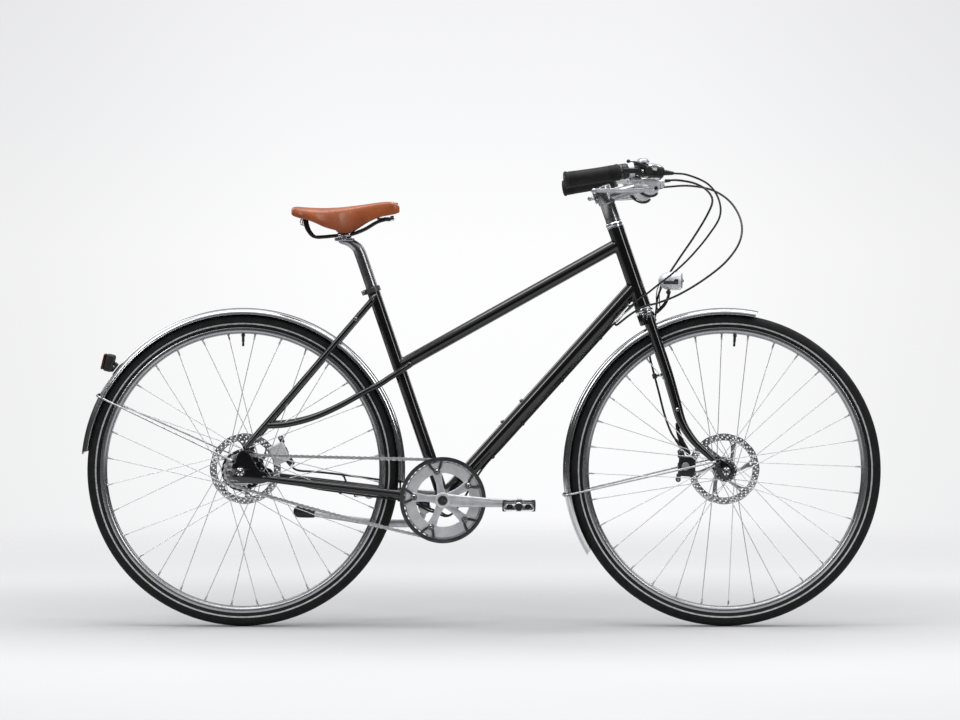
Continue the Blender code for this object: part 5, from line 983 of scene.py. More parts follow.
def crank(name, side, fwd_deg, y0, y1, boss, node):
    """A cold-forged arm: wide at the axle, waisted, with rounded edges and a raised eye."""
    d = vec((math.cos(math.radians(fwd_deg)), 0, math.sin(math.radians(fwd_deg))))
    up = vec((-d[2], 0, d[0]))
    if up[2] < 0:
        up = -up
    shape = Shape()
    stations = []
    for t in np.linspace(0.03, 1.0, 26):
        h = 15.5 - 6.2 * min(1, 1.4 * t) + (1.4 * max(0, (t - 0.85) / 0.15))
        w = 6.6 - 1.5 * t
        y = y0 + (y1 - y0) * t
        c = BB + d * 170 * t + Y_AXIS * y
        row = []
        for a in np.linspace(0, 2 * math.pi, 40, endpoint=False):
            ca, sa = math.cos(a), math.sin(a)
            yy = math.copysign(abs(ca) ** 0.55, ca) * w
            zz = math.copysign(abs(sa) ** 0.7, sa) * h
            groove = 0.0
            if abs(ca) > 0.7 and ca * side > 0 and 0.12 < t < 0.9:
                groove = 1.2 * max(0.0, 1 - (zz / (h * 0.55)) ** 2) * side
            row.append(c + Y_AXIS * (yy - groove) + up * zz)
        stations.append(row)
    shape.rings(stations)
    lo, hi = boss
    shape.lathe([(0, lo * side), (16.6, lo * side), (17.6, (lo + 1) * side), (17.6, (hi - 2.5) * side), (16.2, (hi - 0.6) * side), (11.4, hi * side),
                 (11.0, (hi - 2.4) * side), (0, (hi - 2.4) * side)], BB, Y_AXIS, 64)
    eye = BB + d * 170
    yo = abs(y1)
    shape.lathe([(5.2, (yo - 6.6) * side), (12.2, (yo - 6.6) * side), (12.9, (yo - 5.9) * side), (12.9, (yo + 5.4) * side), (12.0, (yo + 6.3) * side),
                 (5.2, (yo + 6.3) * side)], eye, Y_AXIS, 56, closed=True)
    if side < 0:
        shape.cyl(BB + Y_AXIS * -60, BB + Y_AXIS * 60, 9.5, 0.4, 40)
        for k in range(5):
            a = math.radians(102 + 72 * k)
            r = vec((math.cos(a), 0, math.sin(a)))
            n = np.cross(r, Y_AXIS)
            rows = []
            for t in np.linspace(0, 1, 14):
                rad = 12 + 57 * t
                wd = 10.4 - 3.0 * math.sin(math.pi * min(1, t * 1.15)) + (0.6 * t)
                th = 3.6 - 1.2 * t
                c = BB + r * rad + Y_AXIS * (-56.6 + 0.9 * t)
                row = []
                for b in np.linspace(0, 2 * math.pi, 24, endpoint=False):
                    cb, sb = math.cos(b), math.sin(b)
                    row.append(c + Y_AXIS * math.copysign(abs(cb) ** 0.7, cb) * th * 0.62 + n * math.copysign(abs(sb) ** 0.8, sb) * wd)
                rows.append(row)
            shape.rings(rows)
            tip = BB + r * 65
            shape.lathe([(0, -58.0), (8.0, -58.0), (8.6, -57.4), (8.6, -54.4), (0, -54.0)], tip, Y_AXIS, 32)
    obj = piece(name, shape, M["pale_satin"], "crank", [node], angle=45)
    bits = Shape()
    bits.lathe([(0, (hi - 2.6) * side), (10.8, (hi - 2.6) * side), (10.8, (hi - 0.9) * side), (9.6, (hi - 0.3) * side), (6.2, (hi - 0.3) * side),
                (5.6, (hi - 1.4) * side), (0, (hi - 1.4) * side)], BB, Y_AXIS, 40)
    bits.cyl(BB + Y_AXIS * (hi - 1.6) * side, BB + Y_AXIS * (hi + 0.2) * side, 4.6, 0.5, hexa=True)
    bits.cyl(eye + Y_AXIS * (yo - 8.0) * side, eye + Y_AXIS * (yo + 9.2) * side, 5.0, 0.5, 28)
    piece(name + "_caps", bits, M["black_metal"], "crank", [])
    pin = Shape()
    pin.cyl(eye + Y_AXIS * (yo + 6.5) * side, eye + Y_AXIS * 169.6 * side, 4.5, 0.6, 24)
    pin.cyl(eye + Y_AXIS * (yo + 6.4) * side, eye + Y_AXIS * (yo + 8.4) * side, 7.4, 0.5, hexa=True)
    piece(name + "_pedal_pin", pin, M["steel"], "crank", [])
    return eye


EYE_R = crank("crank_arm_near", -1, -2.7, -66, -69.5, (58.6, 73.8), "crank_right")
EYE_L = crank("crank_arm_far", 1, 177.3, 68.2, 70.5, (60.9, 75), "crank_left")


def pedal(name, eye, side, y0, y1, body, node):
    c0 = vec((eye[0], 0, eye[2]))
    metal, rubber = Shape(), Shape()
    mid = (y0 + y1) / 2
    metal.lathe([(5.2, y0 * side), (8.6, y0 * side), (9.4, (y0 + 1) * side), (9.6, (y0 + 7) * side), (8.2, (y0 + 16) * side), (7.6, mid * side),
                 (8.2, (y1 - 16) * side), (9.6, (y1 - 8) * side), (9.4, (y1 - 3) * side), (8.4, (y1 - 2) * side), (5.2, (y1 - 2) * side)], c0, Y_AXIS, 40, closed=True)
    for ye in (y0 + 9, y1 - 9):
        outline = [(-34, -7), (-34, 7), (-29, 9.8), (-12, 9.8), (-9, 10), (9, 10), (12, 9.8), (29, 9.8), (34, 7), (34, -7), (29, -9.8), (9, -9.4), (-9, -9.4), (-29, -9.8)]
        outline = [(c0[0] + p[0], c0[2] + p[1]) for p in chaikin([(*q, 0) for q in outline], 1)]
        wins = []
        for s in (-1, 1):
            w = [(s * 13.5, -5.6), (s * 26.5, -5.2), (s * 26.5, 5.2), (s * 13.5, 5.6)]
            wins.append([(c0[0] + p[0], c0[2] + p[1]) for p in chaikin([(*q, 0) for q in w], 1)])
        metal.plate([outline] + wins, 1.6, ye * side, 0.5)
    piece(name + "_cage", metal, M["polished"], body, [], angle=35)
    for s in (-1, 1):
        for h in (-1, 1):
            pass
        c = c0 + X_AXIS * 34 * s * 0.93 + Y_AXIS * mid * side
        rubber.box(c, (9.5, abs(y1 - y0) - 15, 19.4), edge=2.6, seg=4)
        for k in range(9):
            yy = y0 + 13 + k * (y1 - y0 - 26) / 8
            for h in (-1, 1):
                rubber.box(c0 + X_AXIS * 31.6 * s + Z_AXIS * 9.7 * h + Y_AXIS * yy * side, (8.4, 5.6, 1.5), edge=0.5, seg=2)
    for s in (-1, 1):
        rubber.box(c0 + X_AXIS * 20.5 * s + Y_AXIS * mid * side, (15.6, abs(y1 - y0) - 22, 15.0), edge=2.0, seg=3)
    for h in (-1, 1):
        rubber.box(c0 + Y_AXIS * mid * side + Z_AXIS * 7.4 * h, (15, abs(y1 - y0) - 24, 4.4), edge=1.6, seg=3)
        for k in range(8):
            yy = y0 + 17 + k * (y1 - y0 - 34) / 7
            rubber.box(c0 + Z_AXIS * 9.7 * h + Y_AXIS * yy * side, (11.5, 5.4, 1.2), edge=0.45, seg=2)
    piece(name + "_treads", rubber, M["grip"], body, [node], angle=35)
    capp = Shape().lathe([(0, (y1 - 2.4) * side), (8.9, (y1 - 2.4) * side), (8.9, (y1 - 1.2) * side), (8.0, (y1 - 0.3) * side), (3, y1 * side), (0, y1 * side)],
                         c0, Y_AXIS, 40)
    piece(name + "_dust_cap", capp, M["black_plastic"], body, [])
    reflect = Shape()
    for s in (-1, 1):
        reflect.box(c0 + X_AXIS * 36.0 * s + Y_AXIS * mid * side, (1.3, 42, 8.5), edge=0.5, seg=2)
    piece(name + "_reflectors", reflect, M["stripe"], body, [])


pedal("pedal_near", EYE_R, -1, 77.5, 172.5, "pedal_right", "pedal_right")
pedal("pedal_far", EYE_L, 1, 78.5, 173.5, "pedal_left", "pedal_left")


def chain_path():
    d = math.hypot(449, 64)
    tilt = math.degrees(math.atan2(285 - 349, 449))
    lean = math.degrees(math.asin((RING_R - COG_R) / d))
    up, dn = tilt + 90 + lean, tilt - 90 - lean
    pts = []
    first = 90 + 360 / 88
    step = 360 / 44
    k0 = math.ceil((dn - first) / step)
    angles = []
    a = first + k0 * step
    while a <= up:
        angles.append(a)
        a += step
    pts += [vec((*polar(BB, RING_R, a), 0))[[0, 2, 1]] for a in angles]
    pts = [vec((p[0], 0, p[2] if p[2] else p[1])) for p in pts]
    pts = [vec((polar(BB, RING_R, a)[0], 0, polar(BB, RING_R, a)[1])) for a in angles]
    cstep = 20.0
    cfirst = 90 + 10
    cang = []
    a = cfirst + math.ceil((up - cfirst) / cstep) * cstep
    while a <= 360 + dn:
        cang.append(a)
        a += cstep
    cog_pts = [vec((polar(REAR, COG_R, a)[0], 0, polar(REAR, COG_R, a)[1])) for a in cang]
    n_top = round(np.linalg.norm(cog_pts[0] - pts[-1]) / 12.7)
    low_len = np.linalg.norm(pts[0] - cog_pts[-1]) + 0.3
    n_low = round(low_len / 12.7)
    if (len(pts) - 1 + len(cog_pts) - 1 + n_top + n_low) % 2:
        n_low += 1
    top = lerp_path(pts[-1], cog_pts[0], n_top)[1:-1]
    low_run = [p - Z_AXIS * 5.0 * 4 * t * (1 - t) for t, p in zip(np.linspace(0, 1, n_low + 1), lerp_path(cog_pts[-1], pts[0], n_low))][1:-1]
    return pts + top + cog_pts + low_run


links = chain_path()
plates_in, plates_out = Shape(), Shape()


def link_outline(length, r, waist, n=7):
    pts = []
    for a in np.linspace(-120, 120, n):
        pts.append((length / 2 + r * math.cos(math.radians(a)), r * math.sin(math.radians(a))))
    pts.append((0, waist))
    for a in np.linspace(60, 300, n):
        pts.append((-length / 2 + r * math.cos(math.radians(a)), r * math.sin(math.radians(a))))
    pts.append((0, -waist))
    return pts


def slab(shape, pts2, a, b, y_lo, y_hi):
    x = unit(b - a)
    z = np.cross(x, Y_AXIS)
    c = (a + b) / 2
    rings = []
    for y, f in ((y_lo, 0.92), (y_lo + 0.15, 1), (y_hi - 0.15, 1), (y_hi, 0.92)):
        rings.append([c + x * p * f + z * q * f + Y_AXIS * y for p, q in pts2])
    shape.rings(rings)


for i, a in enumerate(links):
    b = links[(i + 1) % len(links)]
    a, b = a + Y_AXIS * -52, b + Y_AXIS * -52
    outline = link_outline(float(np.linalg.norm(b - a)), 4.15, 2.7)
    if i % 2:
        for lo, hi in ((-3.6, -2.75), (2.75, 3.6)):
            slab(plates_out, outline, a, b, lo, hi)
    else:
        for lo, hi in ((-2.6, -1.75), (1.75, 2.6)):
            slab(plates_in, outline, a, b, lo, hi)
    plates_in.lathe([(0, -1.7), (3.5, -1.7), (3.8, -1.4), (3.8, 1.4), (3.5, 1.7), (0, 1.7)], a, Y_AXIS, 12)
    plates_out.lathe([(0, -4.15), (1.5, -4.15), (1.75, -3.9), (1.75, 3.9), (1.5, 4.15), (0, 4.15)], a, Y_AXIS, 10)
piece("chain_outer_links", plates_out, M["chain"], "frame", ["chain"], angle=35)
piece("chain_inner_links", plates_in, M["chain"], "frame", [], angle=35)

# ------------------------------------------------------------------ kickstand
stand = Shape()
axis = unit((-0.272, 1, 0.2))
at = vec((404, 47, 262))
stand.lathe([(0, -10), (11.5, -10), (13.2, -8.6), (13.5, -7), (13.5, 4.6), (12.6, 6.6), (11, 7.5), (0, 7.5)], at, axis, 48)
leg = smooth([(404, 47.5, 258), (396, 47.8, 238), (376, 48.6, 227), (330, 50.5, 226), (283, 52.5, 228.5), (200, 62, 240), (136, 69, 248)], 7)
n = len(leg)
stand.tube(leg, [6.4] * n, 28, ends="round", hint=Y_AXIS, squash=[(0.78, 1.0 + 0.42 * math.sin(math.pi * min(1, t * 1.3)) ** 0.7) for t in np.linspace(0, 1, n)])
piece("kickstand_arm", stand, M["pale_satin"], "kickstand", ["kickstand_leg"])
shoe = Shape()
shoe.tube(smooth([(152, 67.3, 246), (140, 68.4, 247.4), (128, 69.6, 249.4), (118, 70.8, 251.2)], 4), [7.4, 8.8, 10.4, 11.2], 28, ends="round",
          squash=[(0.80, 1.18)] * 13)
for k in range(4):
    p = vec((124 + 6 * k, 69.9 - 0.5 * k, 250.2 - 0.75 * k))
    shoe.tube([p, p + vec((-1.6, 0.15, 0.25))], 11.3 - 0.7 * k, 28, ends="bevel", squash=[(0.80, 1.18)] * 2)
piece("kickstand_shoe", shoe, M["black_plastic"], "kickstand", [])
pivot = Shape()
bolt(pivot, at + axis * 7.2, axis, 6.0, 3.2)
pivot.cyl(at - axis * 12.4, at - axis * 9.8, 7.0, 0.6, hexa=True)
piece("kickstand_pivot", pivot, M["steel"], "kickstand", [])


# ------------------------------------------------------------------ cockpit
FLIP = np.array([1, -1, 1])


def flipped(shape):
    return Shape().join(shape, lambda p: p * FLIP)


STRAIGHT_FROM = vec((885.2, 257.05, 1014.4))
GRIP_BACK = vec((721, 290, 989))
GRIP_DIR = unit(GRIP_BACK - STRAIGHT_FROM)
LEVER_AT, LEVER_TIP = vec((907, 262, 970)), vec((781, 306, 967.5))
LEVER_DIR = unit(LEVER_TIP - LEVER_AT)
TOWARDS = unit(vec((-0.243, -0.654, 0.716)) - LEVER_DIR * np.dot((-0.243, -0.654, 0.716), LEVER_DIR))
LEVER_AXIS = np.cross(LEVER_DIR, TOWARDS)
bar_line = smooth([(900, 0, 985), (900, 24, 985), (903, 60, 986.5), (914, 115, 996), (925, 170, 1005.5), (925, 212, 1011.5), (911, 242, 1014.8),
                   STRAIGHT_FROM], 7)
bar_line += lerp_path(STRAIGHT_FROM, GRIP_BACK - GRIP_DIR * 3, 6)[1:]
full = [p * FLIP for p in bar_line[:0:-1]] + bar_line
rad = [11.1 + 1.6 * min(1, max(0, (48 - abs(p[1])) / 14)) for p in full]
bar = Shape().tube(full, rad, 40, ends="bevel", edge=0.6)
piece("handlebar_bent", bar, M["polished"], "steering", ["handlebar"])

for s, word, node in ((-1, "near", "grip_right"), (1, "far", "grip_left")):
    prof = [(0, -2.6), (14.5, -2.6), (17.4, -2.0), (18.7, -0.6), (18.9, 1.2), (18.2, 3.2), (17.3, 4.6)]
    h = 6.0
    while h < 108:
        base = 16.5 + 0.5 * abs(h - 62) / 50
        deep = 0.35 if h < 20 or h > 92 else 0.16
        prof += [(base - deep, h), (base + deep, h + 0.45), (base + deep, h + 1.75), (base - deep, h + 2.2)]
        h += 2.6
    prof += [(17.0, 109.5), (17.9, 111), (18.1, 112.5), (18.1, 116.4), (17.4, 117.8), (11.4, 118)]
    g = Shape().lathe(prof, GRIP_BACK, -GRIP_DIR, 64)
    g.lathe([(11.4, 118), (11.4, 20), (0, 20)], GRIP_BACK, -GRIP_DIR, 32)
    palm = []
    side_dir = unit(Y_AXIS - GRIP_DIR * np.dot(Y_AXIS, GRIP_DIR))
    piece("grip_ribbed_" + word, g if s > 0 else flipped(g), M["grip"], "steering", [node], angle=40)
    plug = Shape().lathe([(0, -3.2), (9.5, -3.2), (10.4, -2.7), (10.4, -1.5), (0, -1.5)], GRIP_BACK, -GRIP_DIR, 40)
    band = Shape().lathe([(11.3, 119.2), (16.2, 119.2), (16.8, 119.8), (16.8, 124.2), (16.2, 124.8), (11.3, 124.8)], GRIP_BACK, -GRIP_DIR, 48, closed=True)
    plug.join(band)
    sd = unit(np.cross(GRIP_DIR, Z_AXIS))
    bolt(plug, GRIP_BACK - GRIP_DIR * 122 + sd * (16 if sd[1] > 0 else -16), sd * (1 if sd[1] > 0 else -1), 2.4, 1.6)
    piece("grip_end_" + word, plug if s > 0 else flipped(plug), M["black_metal"], "steering", [])

    body = Shape()
    xx = -LEVER_DIR
    c = vec((899, 257, 978))
    stations, rads, sq = [], [], []
    for t, r, a, b in ((-27, 5.5, 1, 1), (-24, 8.4, 1, 1.1), (-17, 9.8, 1, 1.2), (-6, 10.2, 0.98, 1.26), (6, 10.2, 0.96, 1.28), (15, 9.6, 0.95, 1.24), (22, 8.0, 0.96, 1.1),
                       (26, 6.2, 1, 1), (33, 5.4, 1, 1)):
        stations.append(c + xx * t)
        rads.append(r)
        sq.append((a, b))
    st = smooth(stations, 3)
    idx = np.linspace(0, len(rads) - 1, len(st))
    body.tube(st, list(np.interp(idx, range(len(rads)), rads)), 36, ends="round", hint=LEVER_AXIS,
              squash=[(np.interp(i, range(len(sq)), [q[0] for q in sq]), np.interp(i, range(len(sq)), [q[1] for q in sq])) for i in idx])
    body.box(vec((872, 259.5, 990)), (26, 13, 17), z=TOWARDS, x=xx, edge=4.0, seg=4)
    belly = chaikin([(926, 987), (919, 992.5), (900, 994), (884, 992), (877, 983), (880, 970), (890, 960.5), (902, 956), (913, 958), (921, 965), (927, 976)], 3)
    for half_y, f, yy in ((9.2, 1.0, 0.0),):
        n_st = 9
        rows = []
        cen = vec((902, 0, 975))
        for w in np.linspace(-1, 1, 13):
            k_ = (1 - abs(w) ** 3.2) ** (1 / 3.2) if abs(w) < 1 else 0.0
            k_ = max(k_, 0.02)
            rows.append([vec((cen[0] + (q[0] - cen[0]) * (0.62 + 0.38 * k_), 258.5 + 10.4 * w, cen[2] + (q[1] - cen[2]) * (0.62 + 0.38 * k_))) for q in belly])
        body.rings(rows)
    ring_at = STRAIGHT_FROM + GRIP_DIR * 25
    body.lathe([(11.4, -6), (15.7, -6), (16.4, -5.3), (16.4, 5.3), (15.7, 6), (11.4, 6)], ring_at, GRIP_DIR, 48, closed=True)
    body.tube([(918, 254, 984), (927, 251.5, 986), (935, 249.3, 987.8)], [5.4, 4.8, 4.6], 24)
    piece("lever_body_" + word, body if s > 0 else flipped(body), M["cast_silver"], "steering",
          ["brake_lever_body_left" if s > 0 else "brake_lever_body_right"], angle=40)
    bits = Shape()
    lid = c + TOWARDS * 9.5 + xx * 2
    bits.box(lid, (30, 14, 4.2), z=TOWARDS, x=xx, edge=1.6, seg=3)
    for k in (-11, 11):
        bolt(bits, lid + xx * k + TOWARDS * 1.8, TOWARDS, 2.3, 1.3)
    bolt(bits, c + LEVER_AXIS * 10.3 + xx * 16, LEVER_AXIS, 3.0, 1.8)
    bolt(bits, c - LEVER_AXIS * 10.3 + xx * 16, -LEVER_AXIS, 3.0, 1.8)
    pa = unit(np.cross(GRIP_DIR, Y_AXIS))
    pa = pa if pa[2] < 0 else -pa
    bits.box(ring_at + pa * 17, (10, 9, 6), z=pa, x=GRIP_DIR, edge=1.4)
    bolt(bits, ring_at + pa * 17 + unit(np.cross(GRIP_DIR, pa)) * 4.4, unit(np.cross(GRIP_DIR, pa)), 2.6, 2)
    bits.tube([(930, 250.6, 986.8), (938, 248.6, 988.4), (946, 247.4, 989)], [4.2, 3.9, 3.1], 20, ends="round")
    under = smooth([(872, 258.5, 974), (880, 258.5, 964.5), (890, 258.5, 957.6), (902, 258.5, 954.2), (913, 258.5, 956.2), (920, 258.5, 962)], 5)
    bits.tube(under, [1.6] + [3.4] * (len(under) - 2) + [1.6], 20, ends="round", squash=[(2.0, 0.7)] * len(under))
    bits.lathe([(0, 0), (3.6, 0), (4.0, 0.4), (4.0, 1.0), (2.2, 1.4), (0, 1.4)], (916, 269.0, 972), Y_AXIS, 28)
    bits.lathe([(0, 0), (3.6, 0), (4.0, 0.4), (4.0, 1.0), (2.2, 1.4), (0, 1.4)], (916, 248.0, 972), -Y_AXIS, 28)
    piece("lever_body_bits_" + word, bits if s > 0 else flipped(bits), M["black_metal"], "steering", [])

    blade = Shape()
    path, rr, sq = [], [], []
    for t in np.linspace(0, 1, 22):
        bow = -5.2 * math.sin(math.pi * t) + 3.2 * max(0, t - 0.8) / 0.2 * -1
        path.append(LEVER_AT + (LEVER_TIP - LEVER_AT) * t + TOWARDS * bow)
        rr.append(4.9 - 0.5 * t + 0.5 * math.sin(math.pi * min(1, t * 1.4)))
        sq.append((1.45 - 0.25 * t, 0.62))
    blade.tube(path, rr, 32, ends="round", hint=LEVER_AXIS, squash=sq)
    blade.ball(path[-1] + LEVER_DIR * 1.0, 5.8, rings=14, steps=24)
    blade.lathe([(3.1, -4.8), (6.8, -4.8), (7.8, -4.0), (7.8, 4.0), (6.8, 4.8), (3.1, 4.8)], LEVER_AT, LEVER_AXIS, 40, closed=True)
    piece("lever_blade_" + word, blade if s > 0 else flipped(blade), M["satin"], "brake_lever_left" if s > 0 else "brake_lever_right",
          ["brake_lever_left" if s > 0 else "brake_lever_right"], angle=45)
    pin = Shape().cyl(LEVER_AT - LEVER_AXIS * 7.4, LEVER_AT + LEVER_AXIS * 7.4, 3.0, 0.4, 24)
    bolt(pin, LEVER_AT + LEVER_AXIS * 6.2, LEVER_AXIS, 3.8, 1.8)
    bolt(pin, LEVER_AT - LEVER_AXIS * 6.2, -LEVER_AXIS, 3.8, 1.8)
    for q in (-1, 1):
        # the pivot's fork arms belong to the body and reach down to the pin
        pin.box(LEVER_AT + LEVER_AXIS * 6.0 * q + TOWARDS * 5.0 - LEVER_DIR * 1.0, (13, 2.0, 17), z=TOWARDS, x=LEVER_DIR, edge=0.8)
    piece("lever_pivot_" + word, pin if s > 0 else flipped(pin), M["satin"], "steering", [])

# twist-free trigger shifter with its window, boot and thumb lever
S = Shape()
zz, xx = unit((0.1, 0, 1)), unit((1, 0.12, 0))
c = vec((904, -277, 1008))
S.box(c, (58, 18.5, 24.5), z=zz, x=xx, edge=6.0, seg=5)
S.tube(smooth([(920, -272, 1006.4), (931, -268, 1005.8), (941, -264.6, 1005.2), (952, -261.6, 1004.5)], 4), [8.2, 6.6, 5.0, 3.8], 28, ends="round")
for k, t in enumerate(np.linspace(0, 1, 5)):
    p = vec((934, -267.2, 1005.6)) + (vec((949, -262.4, 1004.7)) - vec((934, -267.2, 1005.6))) * t
    S.tube([p, p + unit((17, 6, -1)) * 1.6], 6.4 - 1.9 * t, 28, ends="bevel", edge=0.5)
ring_at = (STRAIGHT_FROM + GRIP_DIR * 39) * FLIP
S.lathe([(11.4, -5.2), (16.2, -5.2), (16.9, -4.5), (16.9, 4.5), (16.2, 5.2), (11.4, 5.2)], ring_at, GRIP_DIR * FLIP, 48, closed=True)
S.box((862, -283.4, 1009), (36, 6.6, 11.4), edge=2.6, seg=4)
S.lathe([(11.2, -37), (12.4, -37), (12.8, -36.4), (12.8, -5.6), (11.2, -5.0)], ring_at, GRIP_DIR * FLIP, 40, closed=True)
piece("shifter_housing", S, M["black_plastic"], "steering", ["shifter_body"], angle=40)
S = Shape()
top = c + zz * 11.8
S.box(top - xx * 3, (40, 12.5, 2.6), z=zz, x=xx, edge=1.2)
piece("shifter_top_plate", S, M["grey_plastic"], "steering", [])
S = Shape()
S.box(top + xx * 8 + zz * 1.0, (13, 7.5, 1.6), z=zz, x=xx, edge=0.6)
S.box(c - Y_AXIS * 9.2 + zz * 5 + xx * 4, (18, 1.2, 5.5), z=zz, x=xx, edge=0.5)
piece("shifter_window", S, M["pale_mark"], "steering", [])
S = Shape()
bolt(S, ring_at + unit(np.cross(GRIP_DIR * FLIP, Y_AXIS)) * 16.2, unit(np.cross(GRIP_DIR * FLIP, Y_AXIS)), 2.6, 2)
bolt(S, c - Y_AXIS * 9.0 - xx * 18, -Y_AXIS, 2.6, 1.2)
piece("shifter_screws", S, M["chrome"], "steering", [])
S = Shape()
S.lathe([(0, -5.2), (7.0, -5.2), (7.9, -4.4), (7.9, 0.2), (7.0, 1.0), (0, 1.0)], (900, -290.4, 1010), Y_AXIS, 40)
arm = smooth([(900, -292.6, 1012), (892, -292.8, 1017.4), (882, -293, 1021.6), (872, -292.6, 1024.2)], 5)
S.tube(arm, [3.2, 3.5, 4.0, 4.6], 24, ends="round", hint=Y_AXIS, squash=[(0.55, 1.05)] * len(arm))
piece("shifter_trigger", S, M["black_plastic"], "shifter_lever", ["shifter_lever"])

# bell
S = Shape()
bc = vec((888, -255, 0))
S.lathe([(r, 1027.6 + (h - 1029.1) * 0.75) for r, h in
         [(0, 1042.5), (4.0, 1042.2), (7.6, 1041.2), (10.8, 1039.2), (13.0, 1036.4), (14.2, 1033.2), (14.9, 1030.0), (15.1, 1029.4), (14.6, 1029.1), (13.6, 1029.6),
          (12.8, 1032.8), (10, 1037.2), (6, 1039.8), (0, 1040.8)]], bc, Z_AXIS, 64)
piece("bell_dome", S, M["satin"], "steering", ["bell"], angle=50)
S = Shape()
S.lathe([(0, 1025.4), (5.4, 1025.4), (7.8, 1026.4), (8, 1027.4), (6, 1028.4), (3.4, 1028.8), (3.4, 1036.6), (0, 1036.6)], bc, Z_AXIS, 40)
S.lathe([(11.3, -3.5), (12.9, -3.5), (13.4, -3.0), (13.4, 3.0), (12.9, 3.5), (11.3, 3.5)], (888, -255, 1014.4), (-0.87, -0.5, -0.02), 48, closed=True)
S.cyl((869.5, -255, 1026.5), (869.5, -255, 1031), 2.4, 0.4, 20)
S.box((876, -255, 1027.4), (18, 7, 2.4), edge=0.8)
piece("bell_mount", S, M["black_plastic"], "steering", [])
S = Shape()
S.box((862.5, -255, 1029.6), (14, 4.2, 2.4), edge=0.8)
S.ball((856.5, -255, 1030.6), 4.2, rings=14, steps=24)
S.lathe([(2.6, 1028.3), (3.6, 1028.3), (3.8, 1028.7), (3.8, 1030.5), (3.6, 1030.9), (2.6, 1030.9)], (869.5, -255, 0), Z_AXIS, 24, closed=True)
piece("bell_thumb", S, M["black_plastic"], "bell_striker", ["bell_striker"])

# headlight
S = Shape()
lc = vec((931, 0, 772.5))
S.lathe([(0, -1), (4, -0.8), (8, 0.5), (11.6, 2.8), (14.6, 6), (17.2, 10.2), (19, 15), (20.2, 20.6), (20.6, 24), (20.6, 25.2), (20.1, 25.6), (20.1, 26.6), (20.8, 27),
         (20.8, 47.2), (20.2, 48.6), (19.4, 49.4), (18.7, 49.4), (18.5, 48.4), (18.5, 44.2), (0, 44.2)], lc, X_AXIS, 96)
S.lathe([(0, 0), (3.4, 0), (3.6, 0.4), (3.6, 2.2), (3.0, 2.7), (0, 2.8)], lc + vec((38, 0, 20.4)), Z_AXIS, 28)
piece("headlight_shell", S, M["cast_silver"], "steering", ["headlight"], angle=30)
S = Shape()
for s in (-1, 1):
    rows = []
    for xx_, k_ in ((9, 0.55), (10, 0.9), (12, 1), (40, 1), (42, 0.9), (43, 0.55)):
        r_ = float(np.interp(xx_, [9, 14, 20, 27, 50], [16.6, 18.9, 20.3, 20.9, 20.9]))
        rows.append([lc + vec((xx_, s * (r_ + d) * math.cos(a), (r_ + d) * math.sin(a))) for d, a in
                     ((-0.8, -0.21 * k_), (0.35, -0.19 * k_), (0.55, -0.1 * k_), (0.6, 0), (0.55, 0.1 * k_), (0.35, 0.19 * k_), (-0.8, 0.21 * k_))])
    S.rings(rows)
for s in (-1, 1):
    S.box(lc + vec((26, 20.5 * s, -4.0)), (33, 2.2, 7.6), edge=0.7, seg=2)
S.lathe([(0, 53.0), (2.6, 53.2), (3.0, 53.6), (3.0, 55.0), (2.2, 55.8), (0, 56)], lc + vec((0, 0, 0)), X_AXIS, 24)
outline = chaikin([(950, 754), (957, 752), (956, 738), (948, 718), (934, 704), (926, 697), (921, 703), (929, 709), (943, 724), (951, 741)], 2)
S.plate([outline], 5.6, 0, 0.8)
S.cyl((952.5, -8.6, 747), (952.5, 8.6, 747), 5.2, 0.6, 28)
S.cyl((926.4, -7.4, 703), (926.4, 7.4, 703), 4.2, 0.5, 28)
S.tube([(934, 3, 766), (931, 3, 763), (927, 2.6, 752), (925, 2, 735), (926, 1, 716), (929, 0, 708)], 1.1, 12, ends="flat")
S.tube([(936, -3, 766), (934, -3, 760), (932, -2.8, 748), (932, -2.5, 732), (933, -2, 718), (934, -1, 710)], 1.1, 12, ends="flat")
piece("headlight_bracket", S, M["black_metal"], "steering", [])
S = Shape()
S.lathe([(0, 53.6), (6, 53.4), (10, 52.8), (14, 51.4), (17, 49.6), (18.1, 48.6), (18.1, 45.6), (17, 45.4), (0, 46.2)], lc, X_AXIS, 72)
for k in range(-3, 4):
    w = math.sqrt(max(0, 16.0 ** 2 - (k * 4.4) ** 2))
    S.tube([lc + vec((51.8 - 0.012 * (k * 4.4) ** 2, k * 4.4, -w)), lc + vec((53.0 - 0.02 * (k * 4.4) ** 2, k * 4.4, 0)), lc + vec((51.8 - 0.012 * (k * 4.4) ** 2, k * 4.4, w))],
           0.9, 10, ends="round")
piece("headlight_glass", S, M["glass"], "steering", ["headlight_lens"])
S = Shape()
S.lathe([(0, 44.6), (17.6, 44.6), (17.9, 45.2), (9, 44.9), (0, 44.8)], lc, X_AXIS, 48)
S.ball(lc + X_AXIS * 45.0, 3.2, rings=10, steps=16)
piece("headlight_reflector", S, M["chrome"], "steering", [])


# ------------------------------------------------------------------ seat post and saddle
def front_of(axis):
    f = unit(np.cross(axis, Y_AXIS))
    return f if f[0] > 0 else -f


